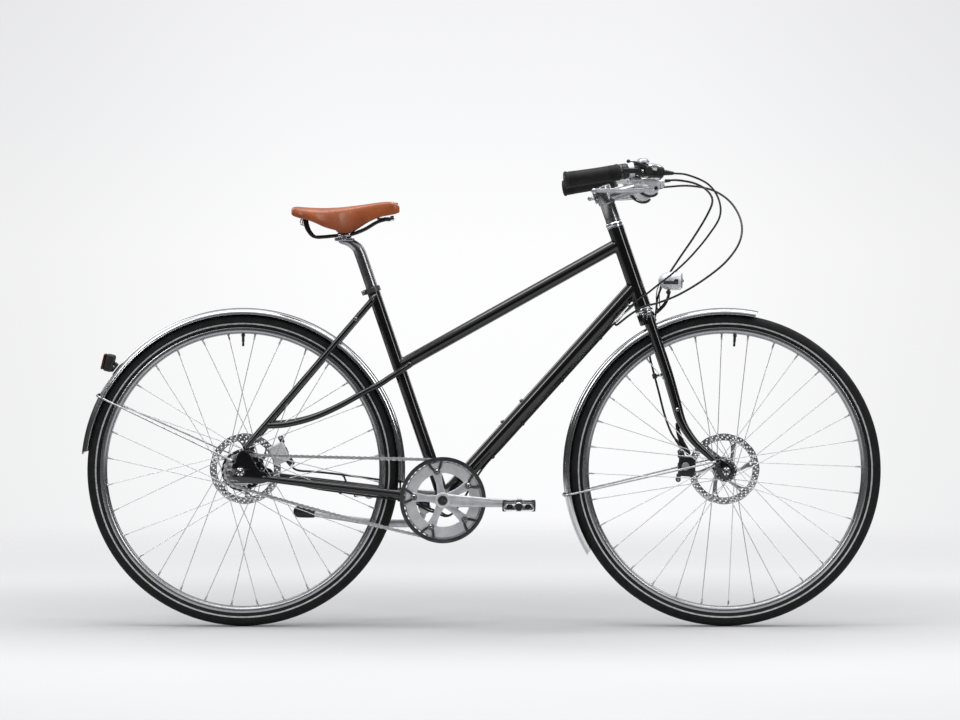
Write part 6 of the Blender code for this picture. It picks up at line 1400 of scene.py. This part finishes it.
S = Shape()
post = lerp_path(SEAT_TOP - SEAT_UP * 170, SEAT_TOP + SEAT_UP * 74, 6)
neck = smooth([SEAT_TOP + SEAT_UP * 74, (258.2, 0, 842.6), (250.4, 0, 850.8), (238, 0, 858.5), (222, 0, 862.5)], 7)
line = post + neck[1:]
rr = [13.3] * len(post) + list(np.interp(np.linspace(0, 1, len(neck) - 1), [0, 0.2, 0.5, 0.8, 1], [13.3, 13.1, 11.8, 10, 8.6]))
S.tube(line, rr, 48, ends="round", squash=[(1, 1)] * len(post) + [(1 + 0.25 * t, 1 - 0.1 * t) for t in np.linspace(0, 1, len(neck) - 1)])
S.box((227, 0, 865), (42, 52, 7), edge=2.6, seg=4)
S.box((227, 0, 875), (25, 29, 22), edge=3.0, seg=3)
S.box((227, 0, 884.6), (34, 53, 6.5), edge=2.4, seg=4)
for s in (-1, 1):
    S.tube([(213, 23 * s, 874), (241, 21.5 * s, 876.5)], 6.4, 28, ends="bevel", edge=1.2)
piece("seatpost_bent", S, M["post"], "seatpost", ["seatpost"], angle=45)
S = Shape()
S.cyl((227, -25.5, 869), (227, 25.5, 869), 3.6, 0.4, 24)
for s in (-1, 1):
    S.cyl((227, 24.5 * s, 869), (227, 30 * s, 869), 6.0, 0.7, hexa=True)
    S.cyl((227, 14 * s, 887), (227, 14 * s, 892), 3.6, 0.5, hexa=True)
    S.cyl((227, 14 * s, 858), (227, 14 * s, 862), 4.2, 0.6, 24)
piece("seatpost_clamp_bolts", S, M["steel"], "seatpost", [])

RAIL = [(140.1, 37, 909), (141.5, 36.5, 899), (147.2, 34, 884.4), (159.7, 30, 871.5), (179.4, 25, 871), (208, 22.6, 873.6), (227, 22.4, 875), (245.5, 21.5, 877.6),
        (272.3, 16, 888), (299.1, 10, 903.5), (318, 6.5, 909.5)]
S = Shape()
S.tube(smooth(RAIL, 7), 3.5, 24, ends="round").mirror_y()
arc = smooth([(150, -68, 919), (141, -52, 916), (137.6, -28, 912.5), (137.2, 0, 911.6), (137.6, 28, 912.5), (141, 52, 916), (150, 68, 919)], 6)
S.tube(arc, 4.6, 20, ends="round", squash=[(0.55, 1.0)] * len(arc), hint=X_AXIS)
S.box((322, 0, 910.5), (16, 19, 9), edge=2.2, seg=3)
piece("saddle_frame", S, M["black_metal"], "seatpost", ["saddle_rails"], angle=45)
S = Shape()
S.cyl((300, 0, 911), (314, 0, 911), 3.0, 0.3, 24)
S.cyl((330, 0, 912), (338, 0, 913), 5.2, 0.8, hexa=True)
for s in (-1, 1):
    loop = [vec((133 + 5.5 * math.cos(a), 30 * s + 8.5 * math.sin(a), 903 + 5.5 * math.sin(a) * 0)) for a in np.linspace(0, 2 * math.pi, 20, endpoint=False)]
    loop = [vec((132.5 + 1.6 * math.cos(a), 30 * s + 8.2 * math.cos(a), 903.5 + 6.4 * math.sin(a))) for a in np.linspace(0, 2 * math.pi, 24, endpoint=False)]
    S.tube(loop, 1.3, 10, loop=True)
piece("saddle_tension_and_loops", S, M["chrome"], "seatpost", [])

STATIONS = [(112, 56, 933.6, 921.5), (118, 69, 934.6, 916.5), (133, 78, 933.4, 911.5), (150, 80, 932.2, 907.5), (168, 76, 931.4, 900.5), (188, 66, 931.4, 891.5),
            (208, 52.5, 932.6, 886.2), (222, 44, 934, 880.5), (240, 36, 936.4, 881), (256, 30.5, 938.8, 890.5), (280, 25, 942.6, 905.5), (306, 21, 946.4, 916.5),
            (326, 19, 947.6, 920.5), (341, 16, 945, 923.5), (350, 9.5, 939, 927)]


def hide():
    data = np.array(smooth([(a, b, c * 1.0) for a, b, c, d in STATIONS], 5))
    skirt = np.array(smooth([(a, d, 0) for a, b, c, d in STATIONS], 5))[:, 1]
    xs, halfs, tops = data[:, 0], data[:, 1], data[:, 2]
    rows = []
    for i, x in enumerate(xs):
        crown = 4.0 if x < 200 else max(2.0, 4.0 - (x - 200) / 40)
        h, top, sk = halfs[i], tops[i], skirt[i]
        roll = max(0.0, min(1.0, (x - 112) / 10)) * max(0.0, min(1.0, (350 - x) / 8))
        top_i = top - 2.2 * (1 - roll)
        ht = top_i + crown - sk
        ctrl = [(0.985, 0), (1.0, 0.1), (1.005, 0.3), (0.99, 0.52), (0.95, 0.72), (0.86, 0.87), (0.7, 0.95), (0.48, 0.985), (0.24, 0.998), (0, 1.0)]
        ctrl = [(h * s, sk + ht * t) for s, t in ctrl]
        sm = [tuple(p[:2]) for p in smooth([(a, b, 0) for a, b in ctrl], 3)]
        outer = sm + [(-a, b) for a, b in sm[:-1]][::-1]
        n = len(outer)
        inner = []
        for j in range(n):
            a, b = outer[max(j - 1, 0)], outer[min(j + 1, n - 1)]
            tx, tz = b[0] - a[0], b[1] - a[1]
            m = math.hypot(tx, tz) or 1
            inner.append((outer[j][0] - tz / m * 4.2 * (1 if True else 0), outer[j][1] + tx / m * 4.2))
        # keep the inward normal pointing to the middle
        if inner[n // 2][1] > outer[n // 2][1]:
            inner = [(2 * o[0] - q[0], 2 * o[1] - q[1]) for o, q in zip(outer, inner)]
        lip_r = [(outer[0][0] - 0.7, outer[0][1] - 1.1), (inner[0][0] + 1.1, inner[0][1] - 1.1)]
        lip_l = [(-lip_r[1][0], lip_r[1][1]), (-lip_r[0][0], lip_r[0][1])]
        loop = outer + lip_l[::-1] + inner[::-1] + lip_r[::-1]
        # end stations pull in so the cut edges are round
        rows.append([(x, a, b) for a, b in loop])
    shape = Shape()
    shape.rings(rows, caps=False)
    m = len(rows[0])
    n = (m - 4) // 2
    for end, base in ((0, 0), (len(rows) - 1, (len(rows) - 1) * m)):
        for j in range(n - 1):
            a, b = j, j + 1
            c, d = n + 2 + (n - 1 - (j + 1)), n + 2 + (n - 1 - j)
            f = (base + a, base + b, base + c, base + d)
            shape.f.append(f if end else f[::-1])
        for quad in ((0, n + 2 + n - 1, n + 2 + n, n + 2 + n + 1), (n - 1, n, n + 1, n + 2)):
            f = tuple(base + q for q in quad)
            shape.f.append(f if end else f[::-1])
    return shape


obj = piece("saddle_hide", hide(), M["leather"], "seatpost", ["saddle_leather"], angle=75)
mod = obj.modifiers.new("soften", "SUBSURF")
mod.levels = mod.render_levels = 1
S = Shape()
for s in (-1, 1):
    for yy, xx_ in ((12, 122.5), (33, 121.5), (52, 122.5)):
        z = 936.2 - 0.045 * yy
        S.lathe([(0, 2.2), (2.2, 2.0), (4.0, 1.1), (4.7, 0), (4.7, -1.6), (0, -1.6)], (xx_ + yy * 0.03, yy * s, z), (-0.12, 0.05 * s, 1), 28)
for s in (-1, 1):
    S.lathe([(0, 2.0), (2.0, 1.8), (3.4, 1.0), (4.0, 0), (4.0, -1.6), (0, -1.6)], (334, 8 * s, 948.0), (0.18, 0.22 * s, 1), 28)
S.lathe([(0, 2.0), (2.0, 1.8), (3.4, 1.0), (4.0, 0), (4.0, -1.6), (0, -1.6)], (343.5, 0, 946.6), (0.5, 0, 1), 28)
M["copper"] = material("rivet_copper", (0.48, 0.24, 0.13), (0.62, 0.34, 0.19), 0.26, 1.0, scale=250, rough_var=0.08, fine=1500, bump=0.15, bump_mm=0.05,
                       wear=(0.85, 0.6, 0.42))
piece("saddle_rivets", S, M["copper"], "seatpost", [])

# ------------------------------------------------------------------ rear light
lu_a = math.radians(141.5)
lu = vec((math.cos(lu_a), 0, math.sin(lu_a)))
lc = REAR + 383 * lu + vec((-2, 0, 2))
lz, lx = unit((0.25, 0, 1)), unit((1, 0, -0.25))
S = Shape()
S.box(lc + lx * 2.5, (20, 33, 39), z=lz, x=lx, edge=5, seg=5)
S.box(REAR + 370.2 * lu, (23, 15.4, 10), z=lu, x=np.cross(Y_AXIS, lu), edge=2.6, seg=3)
piece("rear_light_housing", S, M["black_plastic"], "frame", ["rear_light"], angle=45)
S = Shape()
S.box(lc - lx * 10.4, (4.6, 31, 36), z=lz, x=lx, edge=2.1, seg=4)
for k in range(5):
    S.box(lc - lx * 12.9 + lz * (-12 + 6 * k), (1.0, 25, 2.6), z=lz, x=lx, edge=0.45, seg=2)
piece("rear_light_lens", S, M["red_lens"], "frame", [])
S = Shape()
bolt(S, REAR + 371 * lu + Y_AXIS * 7.2, Y_AXIS, 3.0, 1.8)
bolt(S, REAR + 371 * lu - Y_AXIS * 7.2, -Y_AXIS, 3.0, 1.8)
piece("rear_light_screws", S, M["steel"], "frame", [])


# ------------------------------------------------------------------ disc brake calipers
def caliper(name, wheel, deg, y, body, node, flip_port):
    a = math.radians(deg)
    u = vec((math.cos(a), 0, math.sin(a)))
    t = vec((-u[2], 0, u[0]))
    c = vec(wheel) + 84 * u + Y_AXIS * y
    S = Shape()
    rear = body == "frame"
    if not rear:
        S.box(c + Y_AXIS * -6.1, (37, 7.8, 45), z=t, x=u, edge=3.4, seg=4)
    S.box(c + Y_AXIS * 7.2, (37, 10.2, 45), z=t, x=u, edge=3.6, seg=4)
    S.box(c + u * 11.8 + Y_AXIS * 0.6, (13, 17, 38), z=t, x=u, edge=2.4, seg=3)
    for s in (-1, 1):
        S.lathe([(2.7, -5.6), (5.2, -5.6), (5.9, -4.9), (5.9, 4.9), (5.2, 5.6), (2.7, 5.6)], c + u * 17 + t * 31 * s + Y_AXIS * 5, Y_AXIS, 32, closed=True)
        S.box(c + u * 16.6 + t * 25 * s + Y_AXIS * 5, (10, 10.6, 14), z=t, x=u, edge=2.0, seg=3)
    S.lathe([(0, 0), (11.2, 0), (12, 0.8), (12, 1.8), (10.8, 2.8), (0, 3.0)], c + Y_AXIS * 11.6, Y_AXIS, 44)
    port = c + u * 10 - t * 19
    tip = c + u * 14.0 - t * 35.6
    S.tube([port, port + (tip - port) * 0.5, tip], [5.4, 5.0, 4.4], 28)
    piece(name, S, M["black_metal"], body, [node], angle=45)
    B = Shape()
    if rear:
        B.box(c + Y_AXIS * -6.1, (37, 7.8, 45), z=t, x=u, edge=3.4, seg=4)
    B.lathe([(0, 2.6), (8.4, 2.6), (9.0, 3.0), (9.0, 3.9), (8.2, 4.5), (5.2, 4.6), (4.9, 3.6), (0, 3.6)], c + Y_AXIS * 11.6, Y_AXIS, 40)
    for s in (-1, 1):
        bolt(B, c + u * 17 + t * 31 * s + Y_AXIS * 10.2, Y_AXIS, 4.6, 3.2)
        B.cyl(c + u * 17 + t * 31 * s + Y_AXIS * -1.8, c + u * 17 + t * 31 * s + Y_AXIS * 10.4, 2.6, 0.2, 18)
    B.cyl(c + Y_AXIS * -11.2 + u * 3, c + Y_AXIS * -9.6 + u * 3, 9.0, 0.6, 40)
    B.cyl(c + u * 12 + t * -10 + Y_AXIS * -9, c + u * 12 + t * -10 + Y_AXIS * 13.4, 3.4, 0.4, 24)
    B.cyl(c + u * 12 + t * 10 + Y_AXIS * -9, c + u * 12 + t * 10 + Y_AXIS * 13.4, 3.4, 0.4, 24)
    B.lathe([(2.4, -1.5), (4.6, -1.5), (5.0, -1.0), (5.0, 1.0), (4.6, 1.5), (2.4, 1.5)], tip, unit(tip - port), 28, closed=True)
    piece(name + "_fittings", B, M["cast_silver" if rear else "satin"], body, [], angle=40)
    P = Shape()
    P.box(c + Y_AXIS * -1.5 - u * 9, (17, 1.0, 21), z=t, x=u, edge=0.3)
    P.box(c + Y_AXIS * 1.5 - u * 9, (17, 1.0, 21), z=t, x=u, edge=0.3)
    P.box(c + u * 19.6, (2.4, 4.6, 14), z=t, x=u, edge=0.7)
    piece(name + "_pads", P, M["steel"], body, [])
    return c, u, t, tip


RC, RU, RT, REAR_PORT = caliper("rear_caliper_cast", REAR, 24, 52, "frame", "rear_brake_caliper", False)
FC, FU, FT, FRONT_PORT = caliper("front_caliper_cast", FRONT, 176, 39.6, "steering", "front_brake_caliper", True)

# ------------------------------------------------------------------ hoses and cable
FRONT_HOSE = [(938, -249, 988.5), (962, -244, 990), (1000, -205, 985), (1030, -150, 972), (1046, -100, 950), (1036, -60, 918), (1008, -30, 870), (975, 2, 820),
              (944, 33, 770), (930, 42, 735), (926, 54, 700), (917, 57.5, 655), (912, 57.5, 610), (919, 57.5, 575), (932, 57.5, 525), (946, 57.5, 470), (960, 55.5, 432),
              (972, 49, 413), (980.2, 42.4, 401.5), (983.3, 39.9, 393.4)]
REAR_HOSE = [(938, 249, 988.5), (964, 246, 991), (1010, 215, 992), (1060, 160, 980), (1098, 95, 950), (1118, 40, 905), (1112, 2, 860), (1080, -20, 815),
             (1030, -30, 775), (975, -32, 742), (930, -29, 724), (900, -28.5, 716), (880, -27, 706), (862, -21, 694), (846, -12, 681), (836, -2, 673.5)]
SHIFT = [(953, -261.4, 1004.4), (985, -252, 1001), (1030, -215, 983), (1056, -165, 952), (1062, -110, 915), (1040, -70, 875), (1004, -44, 830), (968, -33, 795),
         (930, -29.5, 765), (905, -27, 745), (884, -26, 730), (866, -24.5, 714), (850, -20, 697), (838, -11, 683)]
UNDER = -DOWN_NORM


def beneath(y, x0=812, x1=520, n=8):
    out = []
    for x in np.linspace(x0, x1, n):
        p = BB + DOWN_DIR * ((x - BB[0]) / DOWN_DIR[0])
        q = p + UNDER * 19.9
        out.append(vec((q[0], y, q[2])))
    return out


rear_tail = [(470, 5, 252), (430, 11, 253), (404, 14.5, 262), (386, 16, 274), (376, 17, 287), (374, 20, 302), (369, 27.5, 315), (354, 34.5, 321), (320, 38.5, 323),
             (275, 43, 328.5), (228, 48.5, 334.5), (184, 52.5, 339.5), (150, 53.8, 342.5), (126, 53.2, 344), (112.5, 52.4, 347.6), (105.7, 52, 353.6)]
shift_tail = [(472, -4, 254.5), (440, -12, 256), (410, -17, 268), (385, -19, 281), (350, -24, 284.5), (300, -29, 290), (230, -34.5, 300), (170, -41.5, 309),
              (110, -47.5, 322), (70, -50, 330), (46, -47.2, 336)]
rear_line = smooth(REAR_HOSE + beneath(4.5) + rear_tail, 7)
shift_line = smooth(SHIFT + beneath(-4.5) + shift_tail, 7)
front_line = smooth(FRONT_HOSE, 8)

piece("front_hose_tube", Shape().tube(front_line, 2.4, 14, ends="flat"), M["hose"], "steering", ["front_brake_hose"])
for name, line, r, node in (("rear_hose_tube", rear_line, 2.4, "rear_brake_hose"), ("shift_cable_tube", shift_line, 2.2, "shift_cable")):
    obj = piece(name, Shape().tube(line, r, 14, ends="flat"), M["hose"], None, [node])
    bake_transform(obj)

S = Shape()
for x in (786, 700, 612, 545):
    p = BB + DOWN_DIR * ((x - BB[0]) / DOWN_DIR[0])
    q = p + UNDER * 19.4
    S.box(q, (7, 15.5, 7.6), z=UNDER, x=DOWN_DIR, edge=1.6, seg=3)
for x in (350, 224):
    for line, s in ((rear_line, 1), (shift_line, -1)):
        low_pts = [p for p in line if p[0] < 420]
        p = min(low_pts, key=lambda q: abs(q[0] - x))
        stay_pt = min(smooth(CHAIN_STAY, 8), key=lambda q: abs(q[0] - x)) * np.array([1, s, 1])
        d = unit(stay_pt - p)
        reach = max(4.0, float(np.linalg.norm(stay_pt - p)) - 7.5)
        S.tube([p - d * 3.6, p + d * 4.0], 4.6, 20, ends="bevel", edge=1.0, squash=[(1, 0.8)] * 2)
        S.tube([p + d * 2.0, p + d * reach], 2.2, 12, ends="flat")
piece("hose_clips", S, M["black_plastic"], "frame", [])
S = Shape()
for height in (560,):
    q = min(front_line, key=lambda p: abs(p[2] - height))
    blade = min(smooth(BLADE, 8), key=lambda p: abs(p[2] - height))
    along = unit((0.26, 0, -1))
    out = unit(blade - q)
    S.lathe([(2.5, -5.5), (4.6, -5.5), (5.2, -4.8), (5.2, 4.8), (4.6, 5.5), (2.5, 5.5)], q, along, 24, closed=True)
    S.tube([q + out * 3.6, q + out * (float(np.linalg.norm(blade - q)) - 9.0)], [2.6, 3.4], 18)
# the boot over the hose end and the caliper's upper mount on the blade
S.tube(smooth([(972, 49, 413), (980.2, 42.4, 401.5), (983.2, 40.2, 394.5), (983.7, 39.6, 391.5)], 4), [3.4, 3.6, 3.9, 4.3, 4.6], 22, ends="round")
S.tube(smooth([(973.5, 47.5, 450), (976.5, 48.5, 432), (983, 48.5, 413), (993, 48.0, 395), (999, 46.5, 384)], 4), [3.2, 4.6, 5.2, 5.4, 5.0], 24, ends="round", hint=Y_AXIS,
       squash=[(0.75, 1.1)] * 17)
piece("front_hose_fittings", S, M["black_metal"], "steering", [])
S = Shape()
S.tube([(46.5, -47.2, 336), (58, -48.6, 333), (72, -50, 330)], [3.2, 3.4, 2.7], 20, ends="round")
S.box((40, -46.5, 337), (14, 6, 11), edge=2, seg=3)
piece("shift_cable_anchor", S, M["satin"], "frame", [])
# guide under the head, carrying both lines past the down tube
S = Shape()
S.tube([(872, -21, 717), (853, -21.6, 700), (834, -21, 683)], 2.6, 20, ends="round")
S.box((866, -17.4, 716), (8, 7, 8), edge=1.6)
piece("line_guide", S, M["polished"], "frame", [])


# ------------------------------------------------------------------ finishes of the CAD solids that stay in view
BY_NODE = {
    "head_and_top_tube": "paint", "down_tube": "paint", "seat_tube": "paint", "seat_stays": "paint", "side_stays": "paint",
    "chain_stays": "paint", "fork": "paint", "headset_upper_cup": "satin", "headset_lower_cup": "satin", "seat_clamp": "black_metal",
    "bottom_bracket": "black_metal", "rear_axle": "steel", "front_axle": "steel", "rear_mudguard": "guard", "front_mudguard": "guard",
    "rear_mudguard_stay": "steel", "front_mudguard_stay": "steel", "rear_light": "black_plastic", "rear_brake_caliper": "black_metal",
    "front_brake_caliper": "black_metal", "rear_brake_hose": "hose", "front_brake_hose": "hose", "shift_cable": "hose", "chain": "chain",
    "kickstand_leg": "polished", "stem": "satin", "handlebar": "polished", "grip_right": "grip", "grip_left": "grip",
    "brake_lever_body_right": "polished", "brake_lever_body_left": "polished", "shifter_body": "black_plastic", "bell": "satin",
    "bell_striker": "black_plastic", "headlight": "polished", "headlight_lens": "glass", "brake_lever_right": "polished",
    "brake_lever_left": "polished", "shifter_lever": "black_plastic", "front_tyre": "tyre", "rear_tyre": "tyre", "front_rim": "rim",
    "rear_rim": "rim", "front_spokes_right": "spoke", "front_spokes_left": "spoke", "rear_spokes_right": "spoke",
    "rear_spokes_left": "spoke", "front_hub": "polished", "rear_hub": "black_metal", "front_rotor": "steel", "rear_rotor": "steel",
    "sprocket": "steel", "crank_right": "polished", "crank_left": "polished", "chainring": "gunmetal", "pedal_right": "black_metal",
    "pedal_left": "black_metal", "seatpost": "satin", "saddle_leather": "leather", "saddle_rails": "black_metal",
}
for node_name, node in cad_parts.items():
    if node.hide_render:
        continue
    node.data.materials.clear()
    node.data.materials.append(M[BY_NODE.get(node_name, "black_metal")])
    for poly in node.data.polygons:
        poly.material_index = 0
    node.data.shade_smooth()
    node.data.set_sharp_from_angle(angle=math.radians(35))

# ------------------------------------------------------------------ stage, camera and lights
def stage_material(name, value):
    m = material(name, (value, value, value * 1.01), (value * 1.01, value * 1.01, value * 1.02), 0.9, scale=2.0, rough_var=0.02, fine=30,
                 bump=0.01, bump_mm=0.1, spec=0.05)
    nt = m.node_tree
    n, l = nt.nodes, nt.links
    out = next(k for k in n if k.type == "OUTPUT_MATERIAL")
    sh = next(k for k in n if k.type == "BSDF_PRINCIPLED")
    coord = next(k for k in n if k.type == "TEX_COORD")
    # the floor fades out with distance from the bicycle, so no edge shows
    length = n.new("ShaderNodeVectorMath")
    length.operation = "LENGTH"
    l.new(coord.outputs["Object"], length.inputs[0])
    # a soft shade under and just in front of the wheels
    parts = n.new("ShaderNodeVectorMath")
    parts.operation = "MULTIPLY"
    l.new(coord.outputs["Object"], parts.inputs[0])
    parts.inputs[1].default_value = (0.55, 1.0, 1.0)
    side = n.new("ShaderNodeVectorMath")
    side.operation = "LENGTH"
    l.new(parts.outputs[0], side.inputs[0])
    shade = n.new("ShaderNodeMapRange")
    shade.interpolation_type = "SMOOTHSTEP"
    shade.inputs["From Min"].default_value, shade.inputs["From Max"].default_value = 0.25, 1.25
    shade.inputs["To Min"].default_value, shade.inputs["To Max"].default_value = 0.76, 1.04
    l.new(side.outputs["Value"], shade.inputs["Value"])
    dim = n.new("ShaderNodeVectorMath")
    dim.operation = "SCALE"
    base_link = sh.inputs["Base Color"].links[0].from_socket
    l.new(base_link, dim.inputs[0])
    l.new(shade.outputs[0], dim.inputs["Scale"])
    l.new(dim.outputs[0], sh.inputs["Base Color"])
    mr = n.new("ShaderNodeMapRange")
    mr.interpolation_type = "SMOOTHSTEP"
    mr.inputs["From Min"].default_value, mr.inputs["From Max"].default_value = 1.3, 3.4
    mr.inputs["To Min"].default_value, mr.inputs["To Max"].default_value = 0, 1
    l.new(length.outputs["Value"], mr.inputs["Value"])
    clear = n.new("ShaderNodeBsdfTransparent")
    mix = n.new("ShaderNodeMixShader")
    l.new(mr.outputs[0], mix.inputs[0])
    l.new(sh.outputs[0], mix.inputs[1])
    l.new(clear.outputs[0], mix.inputs[2])
    l.new(mix.outputs[0], out.inputs[0])
    return m


bm = bmesh.new()
bmesh.ops.create_circle(bm, cap_ends=True, segments=96, radius=3.6)
mesh = bpy.data.meshes.new("floor")
bm.to_mesh(mesh)
bm.free()
mesh.materials.append(stage_material("studio_floor", 0.66))
floor = bpy.data.objects.new("floor", mesh)
floor.location = (0, 0.3, -0.0006)
bpy.context.scene.collection.objects.link(floor)

studio = bpy.data.worlds.new("studio")
bpy.context.scene.world = studio
studio.use_nodes = True
wn, wl = studio.node_tree.nodes, studio.node_tree.links
for node in list(wn):
    wn.remove(node)
w_out = wn.new("ShaderNodeOutputWorld")
w_mix = wn.new("ShaderNodeMixShader")
w_seen, w_light = wn.new("ShaderNodeBackground"), wn.new("ShaderNodeBackground")
w_path = wn.new("ShaderNodeLightPath")
wl.new(w_path.outputs["Is Camera Ray"], w_mix.inputs[0])
wl.new(w_light.outputs[0], w_mix.inputs[1])
wl.new(w_seen.outputs[0], w_mix.inputs[2])
wl.new(w_mix.outputs[0], w_out.inputs[0])
w_coord = wn.new("ShaderNodeTexCoord")
w_sep = wn.new("ShaderNodeSeparateXYZ")
wl.new(w_coord.outputs["Generated"], w_sep.inputs[0])
# what is seen behind the bicycle: a pale backdrop, a touch brighter at its middle
w_up = wn.new("ShaderNodeMapRange")
w_up.inputs["From Min"].default_value, w_up.inputs["From Max"].default_value = -0.12, 0.12
wl.new(w_sep.outputs["Z"], w_up.inputs["Value"])
w_ramp = wn.new("ShaderNodeValToRGB")
stops = [(0.0, (0.93, 0.932, 0.95)), (0.28, (0.975, 0.977, 0.985)), (0.55, (0.99, 0.99, 0.992)), (0.71, (0.94, 0.942, 0.955)), (0.85, (0.905, 0.905, 0.93)), (1.0, (0.89, 0.892, 0.915))]
while len(w_ramp.color_ramp.elements) < len(stops):
    w_ramp.color_ramp.elements.new(0.5)
for e, (p, c) in zip(w_ramp.color_ramp.elements, stops):
    e.position, e.color = p, (*c, 1)
wl.new(w_up.outputs[0], w_ramp.inputs[0])
# dimmer towards both sides
w_in = wn.new("ShaderNodeMath")
w_in.operation = "ADD"
wl.new(w_sep.outputs["X"], w_in.inputs[0])
w_in.inputs[1].default_value = 0.0194
w_abs = wn.new("ShaderNodeMath")
w_abs.operation = "ABSOLUTE"
wl.new(w_in.outputs[0], w_abs.inputs[0])
w_edge = wn.new("ShaderNodeMapRange")
w_edge.interpolation_type = "SMOOTHSTEP"
w_edge.inputs["From Min"].default_value, w_edge.inputs["From Max"].default_value = 0.03, 0.17
w_edge.inputs["To Min"].default_value, w_edge.inputs["To Max"].default_value = 1.0, 0.88
wl.new(w_abs.outputs[0], w_edge.inputs["Value"])
w_dim = wn.new("ShaderNodeVectorMath")
w_dim.operation = "SCALE"
wl.new(w_ramp.outputs[0], w_dim.inputs[0])
wl.new(w_edge.outputs[0], w_dim.inputs["Scale"])
wl.new(w_dim.outputs[0], w_seen.inputs[0])
w_seen.inputs[1].default_value = 1.0
# what lights it: bright overhead, dim at eye level
w_high = wn.new("ShaderNodeMapRange")
w_high.interpolation_type = "SMOOTHSTEP"
w_high.inputs["From Min"].default_value, w_high.inputs["From Max"].default_value = 0.18, 0.9
w_high.inputs["To Min"].default_value, w_high.inputs["To Max"].default_value = 0.045, 1.0
wl.new(w_sep.outputs["Z"], w_high.inputs["Value"])
w_light.inputs[0].default_value = (0.97, 0.98, 1.0, 1)
wl.new(w_high.outputs[0], w_light.inputs[1])


def area(name, place, aim, size, power, colour=(1, 1, 1)):
    data = bpy.data.lights.new(name, "AREA")
    data.shape, data.size, data.size_y, data.energy, data.color = "RECTANGLE", size[0], size[1], power, colour
    obj = bpy.data.objects.new(name, data)
    obj.location = place
    obj.rotation_mode = "QUATERNION"
    obj.rotation_quaternion = (Vector(aim) - Vector(place)).to_track_quat("-Z", "Y")
    obj.visible_camera = False
    bpy.context.scene.collection.objects.link(obj)
    return obj


area("top_softbox", (0.1, -0.2, 3.2), (0.05, 0, 0.5), (3.4, 1.2), 62)
area("front_left", (-2.6, -3.2, 2.6), (0, 0, 0.5), (0.9, 2.0), 36)
area("front_right", (2.9, -2.7, 2.3), (0.1, 0, 0.5), (0.7, 2.0), 30)
area("back_left", (-2.4, 2.8, 2.2), (0, 0, 0.5), (1.0, 2.0), 18)
area("back_right", (2.4, 2.8, 2.2), (0, 0, 0.5), (1.0, 2.0), 18)

data = bpy.data.cameras.new("camera")
data.sensor_width, data.lens = 36, 125.56
data.shift_x, data.shift_y = -0.0677, -0.0729
data.clip_start, data.clip_end = 0.1, 100
camera = bpy.data.objects.new("camera", data)
camera.location = (0.1426, -7.5, 0.752)
camera.rotation_euler = (math.radians(90), 0, 0)
bpy.context.scene.collection.objects.link(camera)
bpy.context.scene.camera = camera
bpy.context.scene.view_settings.view_transform = "Standard"
